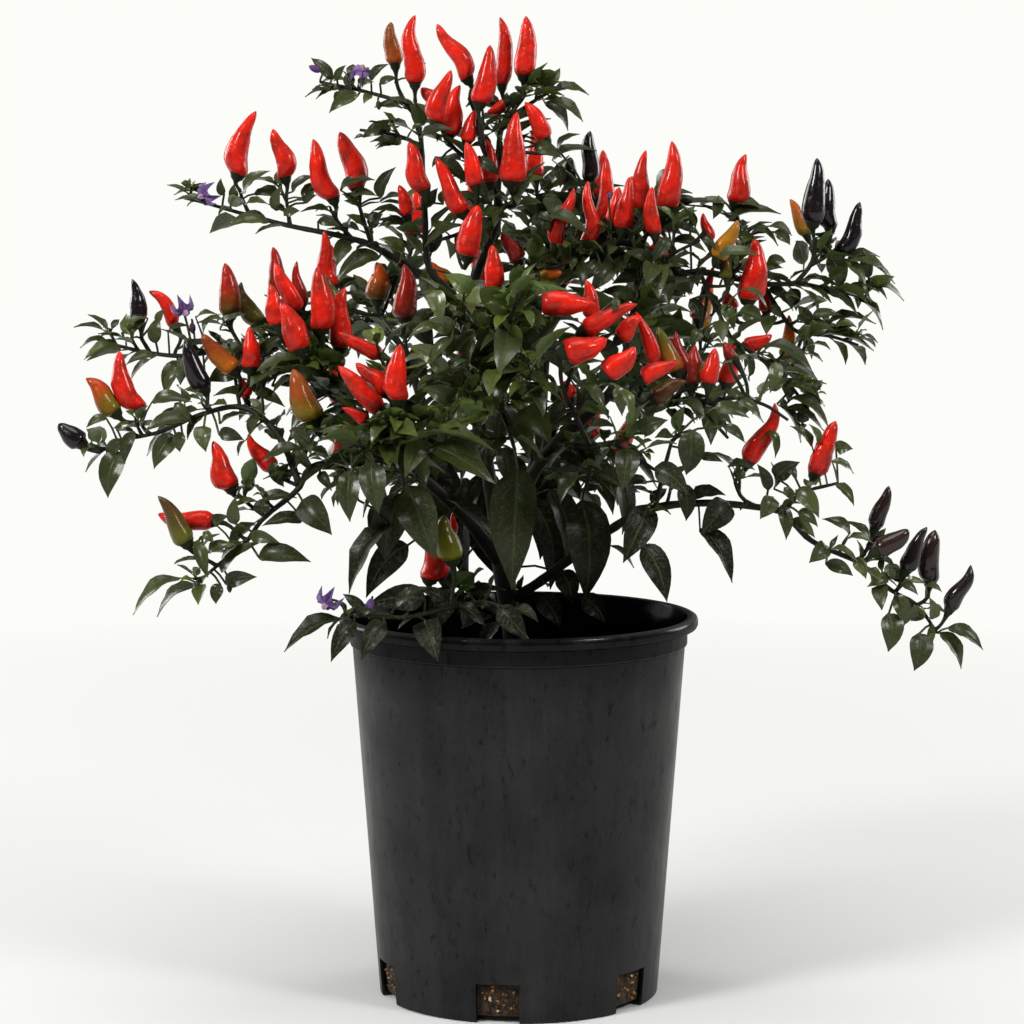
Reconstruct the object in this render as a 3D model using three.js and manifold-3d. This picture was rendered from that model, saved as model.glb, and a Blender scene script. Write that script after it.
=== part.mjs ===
// A potted ornamental pepper: a black nursery pot with potting soil, and a bushy plant with dark leaves, upright
// conical peppers in red, orange, olive and black, and small purple flowers.
// Millimetres, +Z up. The origin is the middle of the pot's underside, and -Y faces the viewer.
import * as THREE from "three";
import { mergeVertices } from "three/addons/utils/BufferGeometryUtils.js";
import Module from "manifold-3d";

const wasm = await Module();
wasm.setup();

// Driving dimensions of the pot, in millimetres.
const potHeight = 181;
const potBaseRadius = 66.5;
const potWallTopRadius = 78.9;
const potRimRadius = 85;
const potRimHeight = 6;
const potRimChamfer = 1.6;
const potRimInnerRadius = 79.6;
const potBandRadius = 80;
const potBandBottom = 167;
const potBandStep = 0.8;
const potWall = 2;
const potFloor = 2.5;
const slotWidth = 20;
const slotHeight = 18.5;
const slotDepth = 12;
const slotCount = 6;
const slotTurn = -8.5;
const potSides = 28;

// The soil stands a little under the rim, higher in the middle and lower at the wall. Touching pieces keep a gap.
const soilTop = 157;
const soilCrown = 4;
const soilDip = 2;
const soilClearance = 0.9;
const gap = 0.3;

// Sizes of the plant's small pieces, in millimetres. A stalk that is longer than `longStalk` bends at its neck.
const calyxHeight = 3.4;
const stalkRadius = 0.85;
const stalkNeck = 2.5;
const longStalk = 7;
const petioleRadius = 0.6;
const bladeHalfThickness = 0.6;
const leafClearance = 0.25;
const leafLength = [17, 28];
const flowerHeight = 2.6;
const flowerNeck = 2;

// A stem is cut into cells of this length. It has a ring at least every few cells, and leaves in whorls along it.
const cellLength = 3;
const limbSides = 6;
const twigSides = 4;
const ringStep = 7;
const limbStep = 8;
const testStep = 2;
const whorlStart = 4;
const whorlStep = 19;
const leavesInWhorl = 2;

// A growth takes the nearest of these many places on its branch where it stands clear. A place has to face it by
// at least this share, and one that faces it badly counts as this much farther away.
const placesTried = 24;
const leastFacing = 0.3;
const badFacingCost = 8;
const forkReach = 12;

// A branch's root is moved out along it by at most this much, until a stub of this radius is clear.
const rootReach = 16;
const rootRadius = 2.4;

// A growth is tested for clearance from a little way out of its stem, and with a root thinner than the real one.
const testRootOut = 1.2;
const testRootLift = 0.4;
const testRootShare = 0.5;

// A pepper's outline, as [share of its length, share of its radius], and a blade's, as [share of length, of width].
const pepperSides = 6;
const pepperProfile = [[0.22, 1], [0.66, 0.7]];
const cupShare = 0.72;
const cupFootShare = 1.2;
const largeStations = [[0.18, 0.72], [0.42, 1], [0.75, 0.52]];
const smallStations = [[0.2, 1], [0.62, 0.6]];
const bladeFold = 0.22;

// Small turns of a leaf round its root, as [sideways, up] in degrees, in the order in which they are tried.
const turns = [
  [0, 0], [12, 0], [-12, 0], [0, 12], [0, -12], [20, 12], [-20, 12], [20, -12], [-20, -12],
  [32, 0], [-32, 0], [0, 25], [0, -25],
];

// Colours, as seen on the real thing.
const colours = {
  pot: 0x262628,
  soil: 0x3a2a1c,
  stem: 0x1e1a1e,
  leaf: 0x2f4428,
  red: 0xdc241a,
  darkred: 0x82140f,
  orange: 0xc0561a,
  olive: 0x6e7020,
  black: 0x1c1420,
  flower: 0x6a4698,
};

// The reference picture is 1024 pixels across. A place in it, with a depth, is a point of the plant: it lies on the
// sight line from the viewpoint through that pixel.
const picture = { middle: 512, focal: 3190 };
const viewpoint = { x: -3.2, y: -1500, z: 390, down: THREE.MathUtils.degToRad(6.1) };
const pixel = -viewpoint.y / picture.focal;

// The point at `depth` millimetres behind the pot's middle, seen at `across`, `down` in the picture.
function seen(across, down, depth) {
  const side = (across - picture.middle) / picture.focal;
  const rise = (picture.middle - down) / picture.focal;
  const ahead = Math.cos(viewpoint.down) + rise * Math.sin(viewpoint.down);
  const climb = rise * Math.cos(viewpoint.down) - Math.sin(viewpoint.down);
  const reach = (depth - viewpoint.y) / ahead;
  return new THREE.Vector3(viewpoint.x + side * reach, depth, viewpoint.z + climb * reach);
}

// Stems, by branch. Each has a route of [across, down, depth] points and its thickness in millimetres at both ends.
// The first stem of a branch starts on the branch that it grows from, and the others start on it.
const branches = {
  main_stem: {
    stems: [
      { route: [[519, 770, 0], [517, 668, 0], [508, 600, 0], [500, 545, 0]], thick: [11, 9] },
      {
        route: [
          [503, 565, 0], [470, 522, -12], [439, 492, -30], [420, 474, -42], [397, 440, -60],
        ],
        thick: [6.8, 4.2],
      },
      {
        route: [
          [500, 548, 0], [488, 470, 5], [478, 400, 5], [465, 305, 0], [472, 287, -2], [497, 222, -5],
        ],
        thick: [7.4, 3.8],
      },
      {
        route: [
          [506, 575, 0], [530, 480, -10], [560, 440, -22], [612, 390, -30], [630, 340, -22],
          [642, 255, -8],
        ],
        thick: [7, 3.6],
      },
      {
        route: [
          [507, 580, 2], [525, 500, 30], [540, 430, 52], [545, 370, 64], [548, 330, 69],
        ],
        thick: [6.4, 3.6],
      },
      { route: [[503, 560, 3], [455, 480, 32], [425, 410, 50], [405, 350, 60]], thick: [6, 3.6] },
    ],
  },
  branch_top: {
    on: "main_stem",
    stems: [
      {
        route: [
          [497, 224, -5], [498, 185, -8], [503, 125, -4], [525, 107, -2], [556, 88, 0],
        ],
        thick: [3.6, 1.4],
      },
      { route: [[498, 195, -8], [484, 150, -18], [481, 121, -18]], thick: [2.4, 1.8] },
      { route: [[500, 160, -7], [511, 125, 5], [504, 102, 5]], thick: [2.2, 1.8] },
      { route: [[503, 128, -5], [520, 100, -6], [523, 94, -5]], thick: [2.2, 1.8] },
      { route: [[498, 190, -8], [470, 162, -14], [452, 146, -11], [441, 128, -18]], thick: [2.4, 1.8] },
      { route: [[484, 152, -18], [474, 110, -9], [469, 98, -8]], thick: [2, 1.8] },
      { route: [[498, 205, -7], [515, 205, -22], [512, 190, -29]], thick: [2.4, 1.8] },
      { route: [[498, 205, -7], [480, 215, -16], [462, 232, -20], [440, 240, -16]], thick: [2.4, 1.6] },
    ],
  },
  branch_top_left: {
    on: "main_stem",
    stems: [
      {
        route: [
          [466, 312, 0], [448, 290, -6], [430, 270, -8], [424, 200, -6], [417, 120, 3], [405, 105, 4],
          [370, 93, 10], [320, 82, 16],
        ],
        thick: [3.8, 1.4],
      },
      { route: [[418, 130, 3], [416, 112, 0], [415, 100, -1]], thick: [2.2, 1.8] },
      { route: [[408, 108, 4], [398, 88, 9], [396, 81, 9]], thick: [2.2, 1.8] },
      { route: [[420, 145, 0], [395, 135, -3], [360, 130, 0]], thick: [2, 1.4] },
      { route: [[426, 240, -7], [410, 228, 2], [396, 222, 7]], thick: [2, 1.4] },
    ],
  },
  branch_left_upper: {
    on: "main_stem",
    stems: [
      {
        route: [
          [469, 350, 4], [452, 310, 20], [426, 280, 23], [370, 245, 23], [340, 236, 22], [290, 226, 25],
          [240, 213, 31], [205, 203, 34], [184, 198, 34],
        ],
        thick: [4.4, 1.4],
      },
      { route: [[372, 246, 23], [364, 222, 23], [359, 205, 22]], thick: [2.4, 1.8] },
      { route: [[352, 239, 22], [338, 222, 22], [334, 215, 21]], thick: [2.2, 1.8] },
      { route: [[290, 226, 25], [287, 205, 27], [286, 195, 27]], thick: [2.2, 1.6] },
      { route: [[250, 216, 30], [242, 198, 32], [240, 191, 32]], thick: [2.2, 1.6] },
      { route: [[400, 263, 21], [392, 290, 25], [382, 315, 20]], thick: [2.4, 1.8] },
    ],
  },
  branch_left_inner: {
    on: "main_stem",
    stems: [
      {
        route: [
          [401, 449, -56], [375, 428, -49], [350, 408, -42], [323, 390, -36], [303, 374, -28],
          [290, 350, -20], [285, 325, -14],
        ],
        thick: [4, 1.6],
      },
      { route: [[345, 405, -41], [343, 380, -34], [341, 364, -30]], thick: [2.4, 1.8] },
      { route: [[323, 391, -36], [322, 360, -40], [321, 346, -39]], thick: [2.4, 1.8] },
      { route: [[293, 356, -22], [299, 338, -15], [301, 323, -10]], thick: [2, 1.6] },
      { route: [[310, 379, -31], [306, 372, -42], [302, 366, -47]], thick: [2, 1.6] },
      { route: [[345, 407, -42], [334, 432, -50], [321, 437, -56]], thick: [2, 1.6] },
    ],
  },
  branch_left_middle: {
    on: "branch_left_inner",
    stems: [
      {
        route: [
          [305, 376, -29], [280, 364, -25], [240, 347, -18], [210, 352, -12], [181, 356, -6],
          [150, 353, 0], [123, 347, 2], [96, 339, 3],
        ],
        thick: [3.4, 1.4],
      },
      { route: [[242, 348, -18], [237, 340, -13], [232, 331, -8]], thick: [2.2, 1.8] },
      { route: [[268, 359, -23], [268, 350, -8], [261, 338, 1]], thick: [2.2, 1.8] },
      { route: [[150, 353, 0], [146, 346, 0], [141, 338, 0]], thick: [2, 1.6] },
    ],
  },
  branch_left_lower: {
    on: "main_stem",
    stems: [
      {
        route: [
          [408, 461, -51], [375, 458, -62], [340, 462, -64], [310, 468, -62], [299, 488, -60],
          [262, 520, -57], [247, 541, -56], [217, 566, -55], [197, 583, -55],
        ],
        thick: [4, 1.4],
      },
      { route: [[266, 517, -57], [252, 507, -54], [238, 494, -51]], thick: [2, 1.6] },
      { route: [[217, 566, -55], [209, 561, -58], [200, 557, -62]], thick: [2, 1.6] },
      { route: [[299, 486, -60], [285, 480, -52], [277, 476, -47]], thick: [2, 1.6] },
      { route: [[340, 462, -64], [352, 480, -70], [358, 500, -74]], thick: [2, 1.4] },
    ],
  },
  branch_left_arm: {
    on: "branch_left_lower",
    stems: [
      {
        route: [
          [299, 484, -60], [287, 452, -54], [270, 425, -48], [240, 407, -40], [200, 415, -36],
          [160, 432, -34], [121, 441, -32], [100, 452, -30],
        ],
        thick: [3.4, 1.4],
      },
      { route: [[212, 412, -37], [209, 408, -36], [206, 402, -34]], thick: [2, 1.6] },
      { route: [[240, 407, -40], [237, 390, -28], [235, 377, -21]], thick: [2, 1.6] },
      { route: [[150, 434, -34], [145, 430, -32], [141, 423, -28]], thick: [2, 1.6] },
      { route: [[262, 421, -46], [262, 400, -24], [256, 374, -12]], thick: [2, 1.6] },
    ],
  },
  branch_front_left: {
    on: "main_stem",
    stems: [
      { route: [[398, 442, -59], [396, 432, -68], [397, 425, -78], [399, 417, -86]], thick: [3.6, 1.8] },
      { route: [[397, 434, -66], [425, 436, -82], [450, 430, -92]], thick: [2.4, 1.4] },
      { route: [[396, 430, -70], [393, 416, -66], [390, 407, -63]], thick: [2.2, 1.8] },
      { route: [[393, 412, -65], [392, 385, -52], [386, 369, -50]], thick: [2, 1.6] },
      { route: [[396, 430, -70], [390, 427, -72], [386, 422, -74]], thick: [2.2, 1.6] },
      { route: [[397, 434, -66], [400, 462, -76], [404, 485, -72]], thick: [2.4, 1.6] },
      { route: [[396, 430, -70], [372, 446, -80], [352, 455, -84]], thick: [2.2, 1.4] },
    ],
  },
  branch_front_center: {
    on: "main_stem",
    stems: [
      {
        route: [
          [480, 420, 4], [490, 390, -25], [500, 350, -60], [508, 325, -85], [515, 306, -100],
        ],
        thick: [4, 1.8],
      },
      { route: [[500, 352, -58], [480, 332, -70], [462, 320, -80], [445, 312, -84]], thick: [2.4, 1.4] },
      { route: [[503, 340, -70], [501, 322, -60], [497, 306, -48]], thick: [2.2, 1.8] },
      { route: [[506, 332, -78], [516, 321, -80], [526, 310, -77]], thick: [2.2, 1.8] },
      { route: [[495, 372, -42], [480, 385, -62], [466, 395, -80]], thick: [2.4, 1.4] },
      { route: [[497, 362, -50], [515, 370, -72], [530, 380, -90]], thick: [2.4, 1.4] },
      { route: [[490, 392, -24], [505, 420, -44], [515, 450, -50]], thick: [2.6, 1.6] },
    ],
  },
  branch_front_right: {
    on: "main_stem",
    stems: [
      { route: [[556, 444, -20], [585, 447, -42], [610, 443, -65], [628, 439, -80]], thick: [3.8, 1.8] },
      { route: [[590, 447, -47], [575, 415, -66], [562, 385, -78], [560, 362, -86]], thick: [2.6, 1.8] },
      { route: [[576, 418, -65], [585, 395, -78], [600, 381, -85]], thick: [2.2, 1.8] },
      { route: [[565, 392, -75], [574, 362, -70], [580, 338, -79]], thick: [2.2, 1.6] },
      { route: [[612, 442, -67], [640, 460, -78], [655, 470, -82]], thick: [2.2, 1.4] },
      { route: [[585, 447, -42], [590, 470, -40], [585, 490, -30]], thick: [2.4, 1.6] },
    ],
  },
  branch_right_inner: {
    on: "main_stem",
    stems: [
      {
        route: [
          [608, 394, -30], [635, 404, -44], [665, 404, -55], [692, 398, -60], [712, 404, -62],
        ],
        thick: [3.8, 1.6],
      },
      { route: [[640, 405, -46], [636, 400, -60], [630, 392, -75]], thick: [2.2, 1.8] },
      { route: [[668, 404, -56], [680, 392, -60], [692, 388, -58]], thick: [2, 1.6] },
      { route: [[635, 403, -44], [645, 385, -52], [655, 370, -61]], thick: [2, 1.6] },
      { route: [[692, 398, -62], [712, 420, -58], [728, 438, -54]], thick: [2.2, 1.4] },
    ],
  },
  branch_crown: {
    on: "main_stem",
    stems: [
      {
        route: [
          [642, 258, -8], [638, 246, -12], [612, 244, -17], [588, 252, -18], [562, 254, -21],
        ],
        thick: [3.4, 1.6],
      },
      { route: [[640, 250, -10], [650, 228, -4], [665, 214, -13]], thick: [2.4, 1.8] },
      { route: [[648, 236, -7], [646, 231, -6], [644, 225, -6]], thick: [2, 1.6] },
      { route: [[606, 246, -17], [607, 243, -9], [605, 239, -3]], thick: [2, 1.6] },
      { route: [[590, 251, -18], [592, 220, 8], [591, 199, 14]], thick: [2.2, 1.6] },
      { route: [[588, 252, -18], [568, 262, -30], [552, 268, -36], [535, 268, -38]], thick: [2.2, 1.4] },
      { route: [[640, 252, -10], [655, 262, -20], [680, 250, -26], [700, 240, -26]], thick: [2.2, 1.4] },
    ],
  },
  branch_right_upper: {
    on: "main_stem",
    stems: [
      {
        route: [
          [638, 294, -13], [665, 278, -10], [700, 272, -6], [735, 278, -2], [763, 284, 4],
          [800, 284, 12], [839, 291, 20], [866, 299, 26],
        ],
        thick: [4, 1.4],
      },
      { route: [[730, 277, -2], [742, 245, 11], [738, 220, 15]], thick: [2.2, 1.8] },
      { route: [[795, 284, 11], [812, 262, 13], [815, 240, 12]], thick: [2.4, 1.8] },
      { route: [[811, 265, 13], [823, 258, 21], [829, 244, 26]], thick: [2, 1.8] },
      { route: [[820, 288, 15], [835, 276, 21], [840, 261, 23]], thick: [2, 1.6] },
      {
        route: [
          [763, 284, 4], [780, 312, 3], [796, 331, 4], [830, 336, 10], [858, 345, 15],
        ],
        thick: [2.4, 1.4],
      },
      { route: [[738, 278, -1], [728, 272, -15], [718, 267, -23]], thick: [2, 1.6] },
      { route: [[700, 272, -6], [712, 300, -19], [725, 325, -31], [735, 345, -38]], thick: [2.2, 1.4] },
    ],
  },
  branch_right_arm: {
    on: "main_stem",
    stems: [
      {
        route: [
          [509, 602, 0], [542, 580, -8], [601, 536, -26], [646, 510, -36], [700, 503, -38],
          [757, 507, -38], [781, 512, -37], [812, 541, -34], [861, 564, -30], [891, 590, -27],
          [917, 605, -25], [937, 633, -24],
        ],
        thick: [5, 1.6],
      },
      { route: [[655, 508, -37], [666, 462, -56], [672, 440, -66]], thick: [2.6, 1.6] },
      { route: [[757, 507, -38], [742, 498, -40], [735, 482, -41]], thick: [2.2, 1.8] },
      { route: [[783, 514, -37], [800, 494, -43], [838, 483, -46]], thick: [2.2, 1.4] },
      { route: [[861, 564, -30], [869, 556, -25], [873, 544, -22]], thick: [2, 1.6] },
      { route: [[895, 592, -27], [902, 584, -28], [905, 578, -28]], thick: [1.8, 1.6] },
      { route: [[917, 605, -25], [923, 602, -24], [928, 597, -21]], thick: [1.8, 1.6] },
      { route: [[646, 510, -36], [648, 530, -46], [645, 545, -50]], thick: [2.2, 1.4] },
    ],
  },
  branch_rim_left: {
    on: "main_stem",
    stems: [
      {
        route: [
          [510, 618, 0], [490, 608, -28], [468, 604, -48], [440, 610, -66], [405, 617, -82],
          [370, 616, -92], [345, 614, -96],
        ],
        thick: [3.6, 1.4],
      },
      { route: [[470, 604, -47], [462, 592, -46], [456, 578, -45]], thick: [2.2, 1.8] },
      { route: [[443, 609, -65], [437, 604, -66], [432, 596, -65]], thick: [2.2, 1.8] },
      { route: [[470, 604, -47], [485, 602, -70], [500, 606, -88]], thick: [2.2, 1.4] },
    ],
  },
  branch_back_top: {
    on: "main_stem",
    stems: [
      {
        route: [
          [548, 333, 69], [550, 290, 75], [548, 250, 73], [540, 212, 61], [536, 188, 51],
        ],
        thick: [3.6, 1.6],
      },
      { route: [[550, 290, 75], [590, 262, 82], [625, 245, 85]], thick: [2.4, 1.6] },
      { route: [[549, 275, 74], [515, 255, 85], [480, 245, 89]], thick: [2.4, 1.6] },
      { route: [[549, 260, 73], [572, 228, 59], [594, 212, 47]], thick: [2.2, 1.6] },
    ],
  },
  branch_back_right: {
    on: "main_stem",
    stems: [
      {
        route: [
          [540, 434, 52], [580, 410, 73], [620, 390, 90], [660, 372, 103], [700, 352, 112],
        ],
        thick: [3.8, 1.6],
      },
      { route: [[620, 390, 90], [638, 350, 93], [648, 315, 91]], thick: [2.4, 1.6] },
      { route: [[655, 374, 101], [690, 392, 98], [722, 400, 93]], thick: [2.4, 1.6] },
    ],
  },
  branch_back_low: {
    on: "main_stem",
    stems: [
      {
        route: [
          [525, 503, 30], [545, 490, 60], [560, 478, 90], [575, 468, 115], [590, 455, 132],
        ],
        thick: [3.8, 1.6],
      },
      { route: [[552, 485, 74], [585, 490, 85], [620, 480, 96]], thick: [2.4, 1.6] },
      { route: [[562, 477, 93], [540, 450, 106], [520, 430, 119]], thick: [2.4, 1.6] },
    ],
  },
  branch_back_left: {
    on: "main_stem",
    stems: [
      {
        route: [
          [406, 353, 60], [385, 326, 71], [365, 314, 80], [345, 308, 86], [332, 300, 90],
        ],
        thick: [3.6, 1.6],
      },
      { route: [[388, 328, 70], [402, 285, 78], [412, 248, 80]], thick: [2.4, 1.6] },
      { route: [[372, 318, 77], [350, 330, 91], [330, 334, 102]], thick: [2.2, 1.6] },
    ],
  },
  branch_back_left_low: {
    on: "main_stem",
    stems: [
      {
        route: [
          [456, 483, 31], [425, 470, 62], [395, 455, 87], [365, 440, 104], [340, 420, 115],
        ],
        thick: [3.8, 1.6],
      },
      { route: [[405, 460, 79], [430, 450, 104], [450, 435, 121]], thick: [2.4, 1.6] },
      { route: [[395, 455, 87], [370, 475, 93], [345, 485, 96]], thick: [2.2, 1.6] },
    ],
  },
  branch_back_center: {
    on: "main_stem",
    stems: [
      { route: [[544, 374, 64], [520, 350, 85], [500, 330, 102], [485, 310, 118]], thick: [3.6, 1.6] },
      { route: [[515, 346, 90], [540, 320, 104], [560, 300, 112]], thick: [2.4, 1.6] },
      { route: [[520, 350, 85], [490, 375, 101], [470, 390, 109]], thick: [2.4, 1.6] },
    ],
  },
};

// Peppers, by the branch that bears them: colour, tip across and down, base across and down, width in the picture,
// depth, and 1 where the fruit is a piece of its own rather than one with its branch.
const peppers = {
  branch_top: [
    ["red", 437, 24, 467, 78, 20, -8, 1],
    ["red", 490, 45, 480, 102, 23, -18, 1],
    ["red", 500, 17, 502, 84, 17, 5, 1],
    ["red", 526, 16, 524, 75, 22, -5, 1],
    ["red", 451, 70, 436, 121, 21, -22, 0],
    ["red", 460, 85, 449, 134, 20, -8, 0],
    ["red", 517, 112, 511, 181, 28, -30, 1],
    ["red", 525, 102, 545, 138, 18, -14, 0],
    ["red", 436, 158, 462, 212, 20, -20, 0],
    ["red", 466, 142, 475, 185, 18, -24, 0],
    ["red", 478, 205, 468, 256, 24, -35, 0],
  ],
  branch_top_left: [
    ["orange", 391, 22, 395, 63, 18, 10, 1],
    ["red", 415, 15, 415, 82, 20, -2, 1],
    ["red", 409, 142, 424, 190, 20, -16, 0],
    ["red", 399, 185, 407, 215, 16, 7, 0],
    ["orange", 428, 262, 448, 286, 20, 8, 0],
  ],
  branch_left_upper: [
    ["red", 256, 111, 238, 174, 23, 33, 1],
    ["red", 273, 129, 285, 177, 20, 27, 0],
    ["red", 313, 139, 333, 198, 21, 20, 1],
    ["red", 340, 132, 357, 187, 24, 21, 1],
    ["red", 324, 231, 333, 285, 18, 14, 0],
    ["orange", 377, 262, 377, 299, 24, 16, 0],
    ["darkred", 404, 264, 404, 317, 26, -7, 0],
  ],
  branch_left_inner: [
    ["darkred", 273, 247, 276, 290, 17, -8, 0],
    ["red", 275, 263, 295, 311, 20, -24, 0],
    ["red", 281, 303, 300, 349, 25, -50, 0],
    ["darkred", 297, 261, 301, 307, 14, -8, 0],
    ["red", 318, 266, 320, 329, 25, -40, 1],
    ["red", 345, 288, 340, 347, 23, -28, 0],
    ["orange", 293, 369, 314, 419, 27, -58, 1],
  ],
  branch_left_middle: [
    ["black", 132, 279, 139, 320, 19, 0, 1],
    ["red", 149, 291, 174, 325, 16, 5, 0],
    ["darkred", 225, 263, 230, 314, 23, -5, 1],
    ["olive", 241, 282, 257, 323, 21, 4, 0],
  ],
  branch_left_arm: [
    ["orange", 202, 334, 233, 370, 22, -32, 0],
    ["red", 246, 326, 254, 367, 20, -10, 0],
    ["black", 185, 339, 204, 388, 21, -32, 1],
    ["red", 119, 351, 139, 408, 22, -25, 1],
    ["orange", 86, 378, 115, 412, 22, -27, 1],
    ["black", 58, 424, 81, 443, 21, -30, 1],
  ],
  branch_left_lower: [
    ["red", 213, 441, 231, 487, 24, -49, 1],
    ["olive", 158, 496, 186, 542, 22, -65, 1],
    ["red", 158, 514, 212, 521, 20, -50, 0],
    ["red", 248, 434, 273, 469, 18, -45, 0],
  ],
  branch_front_left: [
    ["red", 338, 332, 380, 355, 15, -50, 0],
    ["red", 356, 363, 386, 392, 20, -62, 0],
    ["red", 400, 344, 399, 400, 23, -88, 1],
    ["red", 338, 366, 379, 409, 20, -75, 0],
  ],
  branch_front_center: [
    ["red", 492, 245, 495, 289, 20, -45, 0],
    ["red", 595, 304, 542, 303, 24, -76, 1],
  ],
  branch_front_right: [
    ["red", 637, 304, 585, 330, 20, -80, 0],
    ["red", 607, 339, 566, 352, 26, -90, 1],
    ["red", 635, 347, 607, 374, 24, -88, 0],
  ],
  branch_right_inner: [
    ["red", 678, 361, 643, 379, 18, -82, 0],
    ["olive", 658, 327, 676, 370, 21, -60, 0],
    ["red", 636, 312, 655, 362, 15, -66, 0],
    ["olive", 687, 381, 654, 399, 20, -70, 0],
    ["darkred", 676, 331, 688, 382, 17, -45, 0],
    ["red", 715, 348, 709, 383, 19, -66, 0],
  ],
  branch_crown: [
    ["red", 607, 158, 601, 220, 18, 0, 0],
    ["red", 588, 181, 586, 243, 18, -15, 0],
    ["red", 574, 188, 556, 244, 18, -22, 0],
    ["red", 629, 177, 622, 228, 20, -20, 0],
    ["red", 646, 150, 642, 209, 19, -5, 0],
    ["red", 672, 141, 667, 207, 24, -15, 1],
    ["red", 652, 187, 655, 233, 16, -28, 0],
    ["black", 590, 131, 590, 180, 17, 15, 1],
  ],
  branch_right_upper: [
    ["red", 746, 154, 736, 202, 24, 15, 1],
    ["red", 755, 239, 748, 299, 27, -14, 1],
    ["orange", 738, 220, 718, 258, 19, -25, 0],
    ["black", 817, 158, 813, 222, 24, 12, 1],
    ["black", 828, 179, 830, 227, 20, 29, 0],
    ["black", 860, 202, 841, 253, 19, 23, 0],
    ["orange", 790, 199, 806, 234, 14, 27, 0],
    ["orange", 789, 315, 786, 356, 16, 13, 0],
  ],
  branch_right_arm: [
    ["red", 775, 403, 749, 461, 21, -40, 1],
    ["red", 836, 421, 815, 473, 21, -45, 1],
    ["black", 889, 486, 875, 527, 17, -20, 0],
    ["black", 909, 530, 878, 551, 20, -38, 0],
    ["black", 927, 527, 906, 570, 18, -29, 0],
    ["black", 935, 530, 930, 581, 21, -19, 0],
    ["black", 971, 565, 950, 608, 18, -25, 0],
  ],
  branch_rim_left: [
    ["olive", 444, 515, 452, 559, 26, -45, 1],
    ["red", 435, 528, 429, 578, 27, -65, 1],
  ],
  branch_back_top: [
    ["red", 531, 130, 536, 175, 20, 51, 0],
    ["red", 603, 150, 598, 196, 20, 47, 0],
    ["red", 632, 176, 626, 226, 21, 85, 0],
    ["red", 470, 178, 477, 227, 21, 89, 0],
    ["black", 562, 196, 560, 236, 19, 81, 0],
  ],
  branch_back_right: [
    ["red", 655, 247, 648, 297, 21, 91, 0],
    ["orange", 712, 282, 702, 332, 21, 112, 0],
    ["red", 735, 337, 725, 382, 20, 93, 0],
    ["red", 672, 315, 664, 362, 20, 106, 0],
  ],
  branch_back_low: [
    ["red", 598, 389, 591, 436, 21, 132, 0],
    ["red", 632, 413, 622, 460, 21, 96, 0],
    ["olive", 515, 366, 519, 411, 20, 119, 0],
  ],
  branch_back_left: [
    ["red", 326, 241, 330, 288, 20, 90, 0],
    ["red", 416, 186, 412, 234, 21, 80, 0],
    ["black", 323, 276, 328, 320, 19, 103, 0],
  ],
  branch_back_left_low: [
    ["red", 331, 351, 338, 401, 21, 115, 0],
    ["orange", 456, 369, 451, 416, 20, 122, 0],
    ["darkred", 335, 426, 341, 470, 19, 96, 0],
  ],
  branch_back_center: [
    ["red", 480, 242, 484, 292, 22, 118, 0],
    ["red", 568, 236, 561, 284, 21, 112, 0],
    ["darkred", 460, 330, 468, 373, 19, 109, 0],
  ],
};

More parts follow.
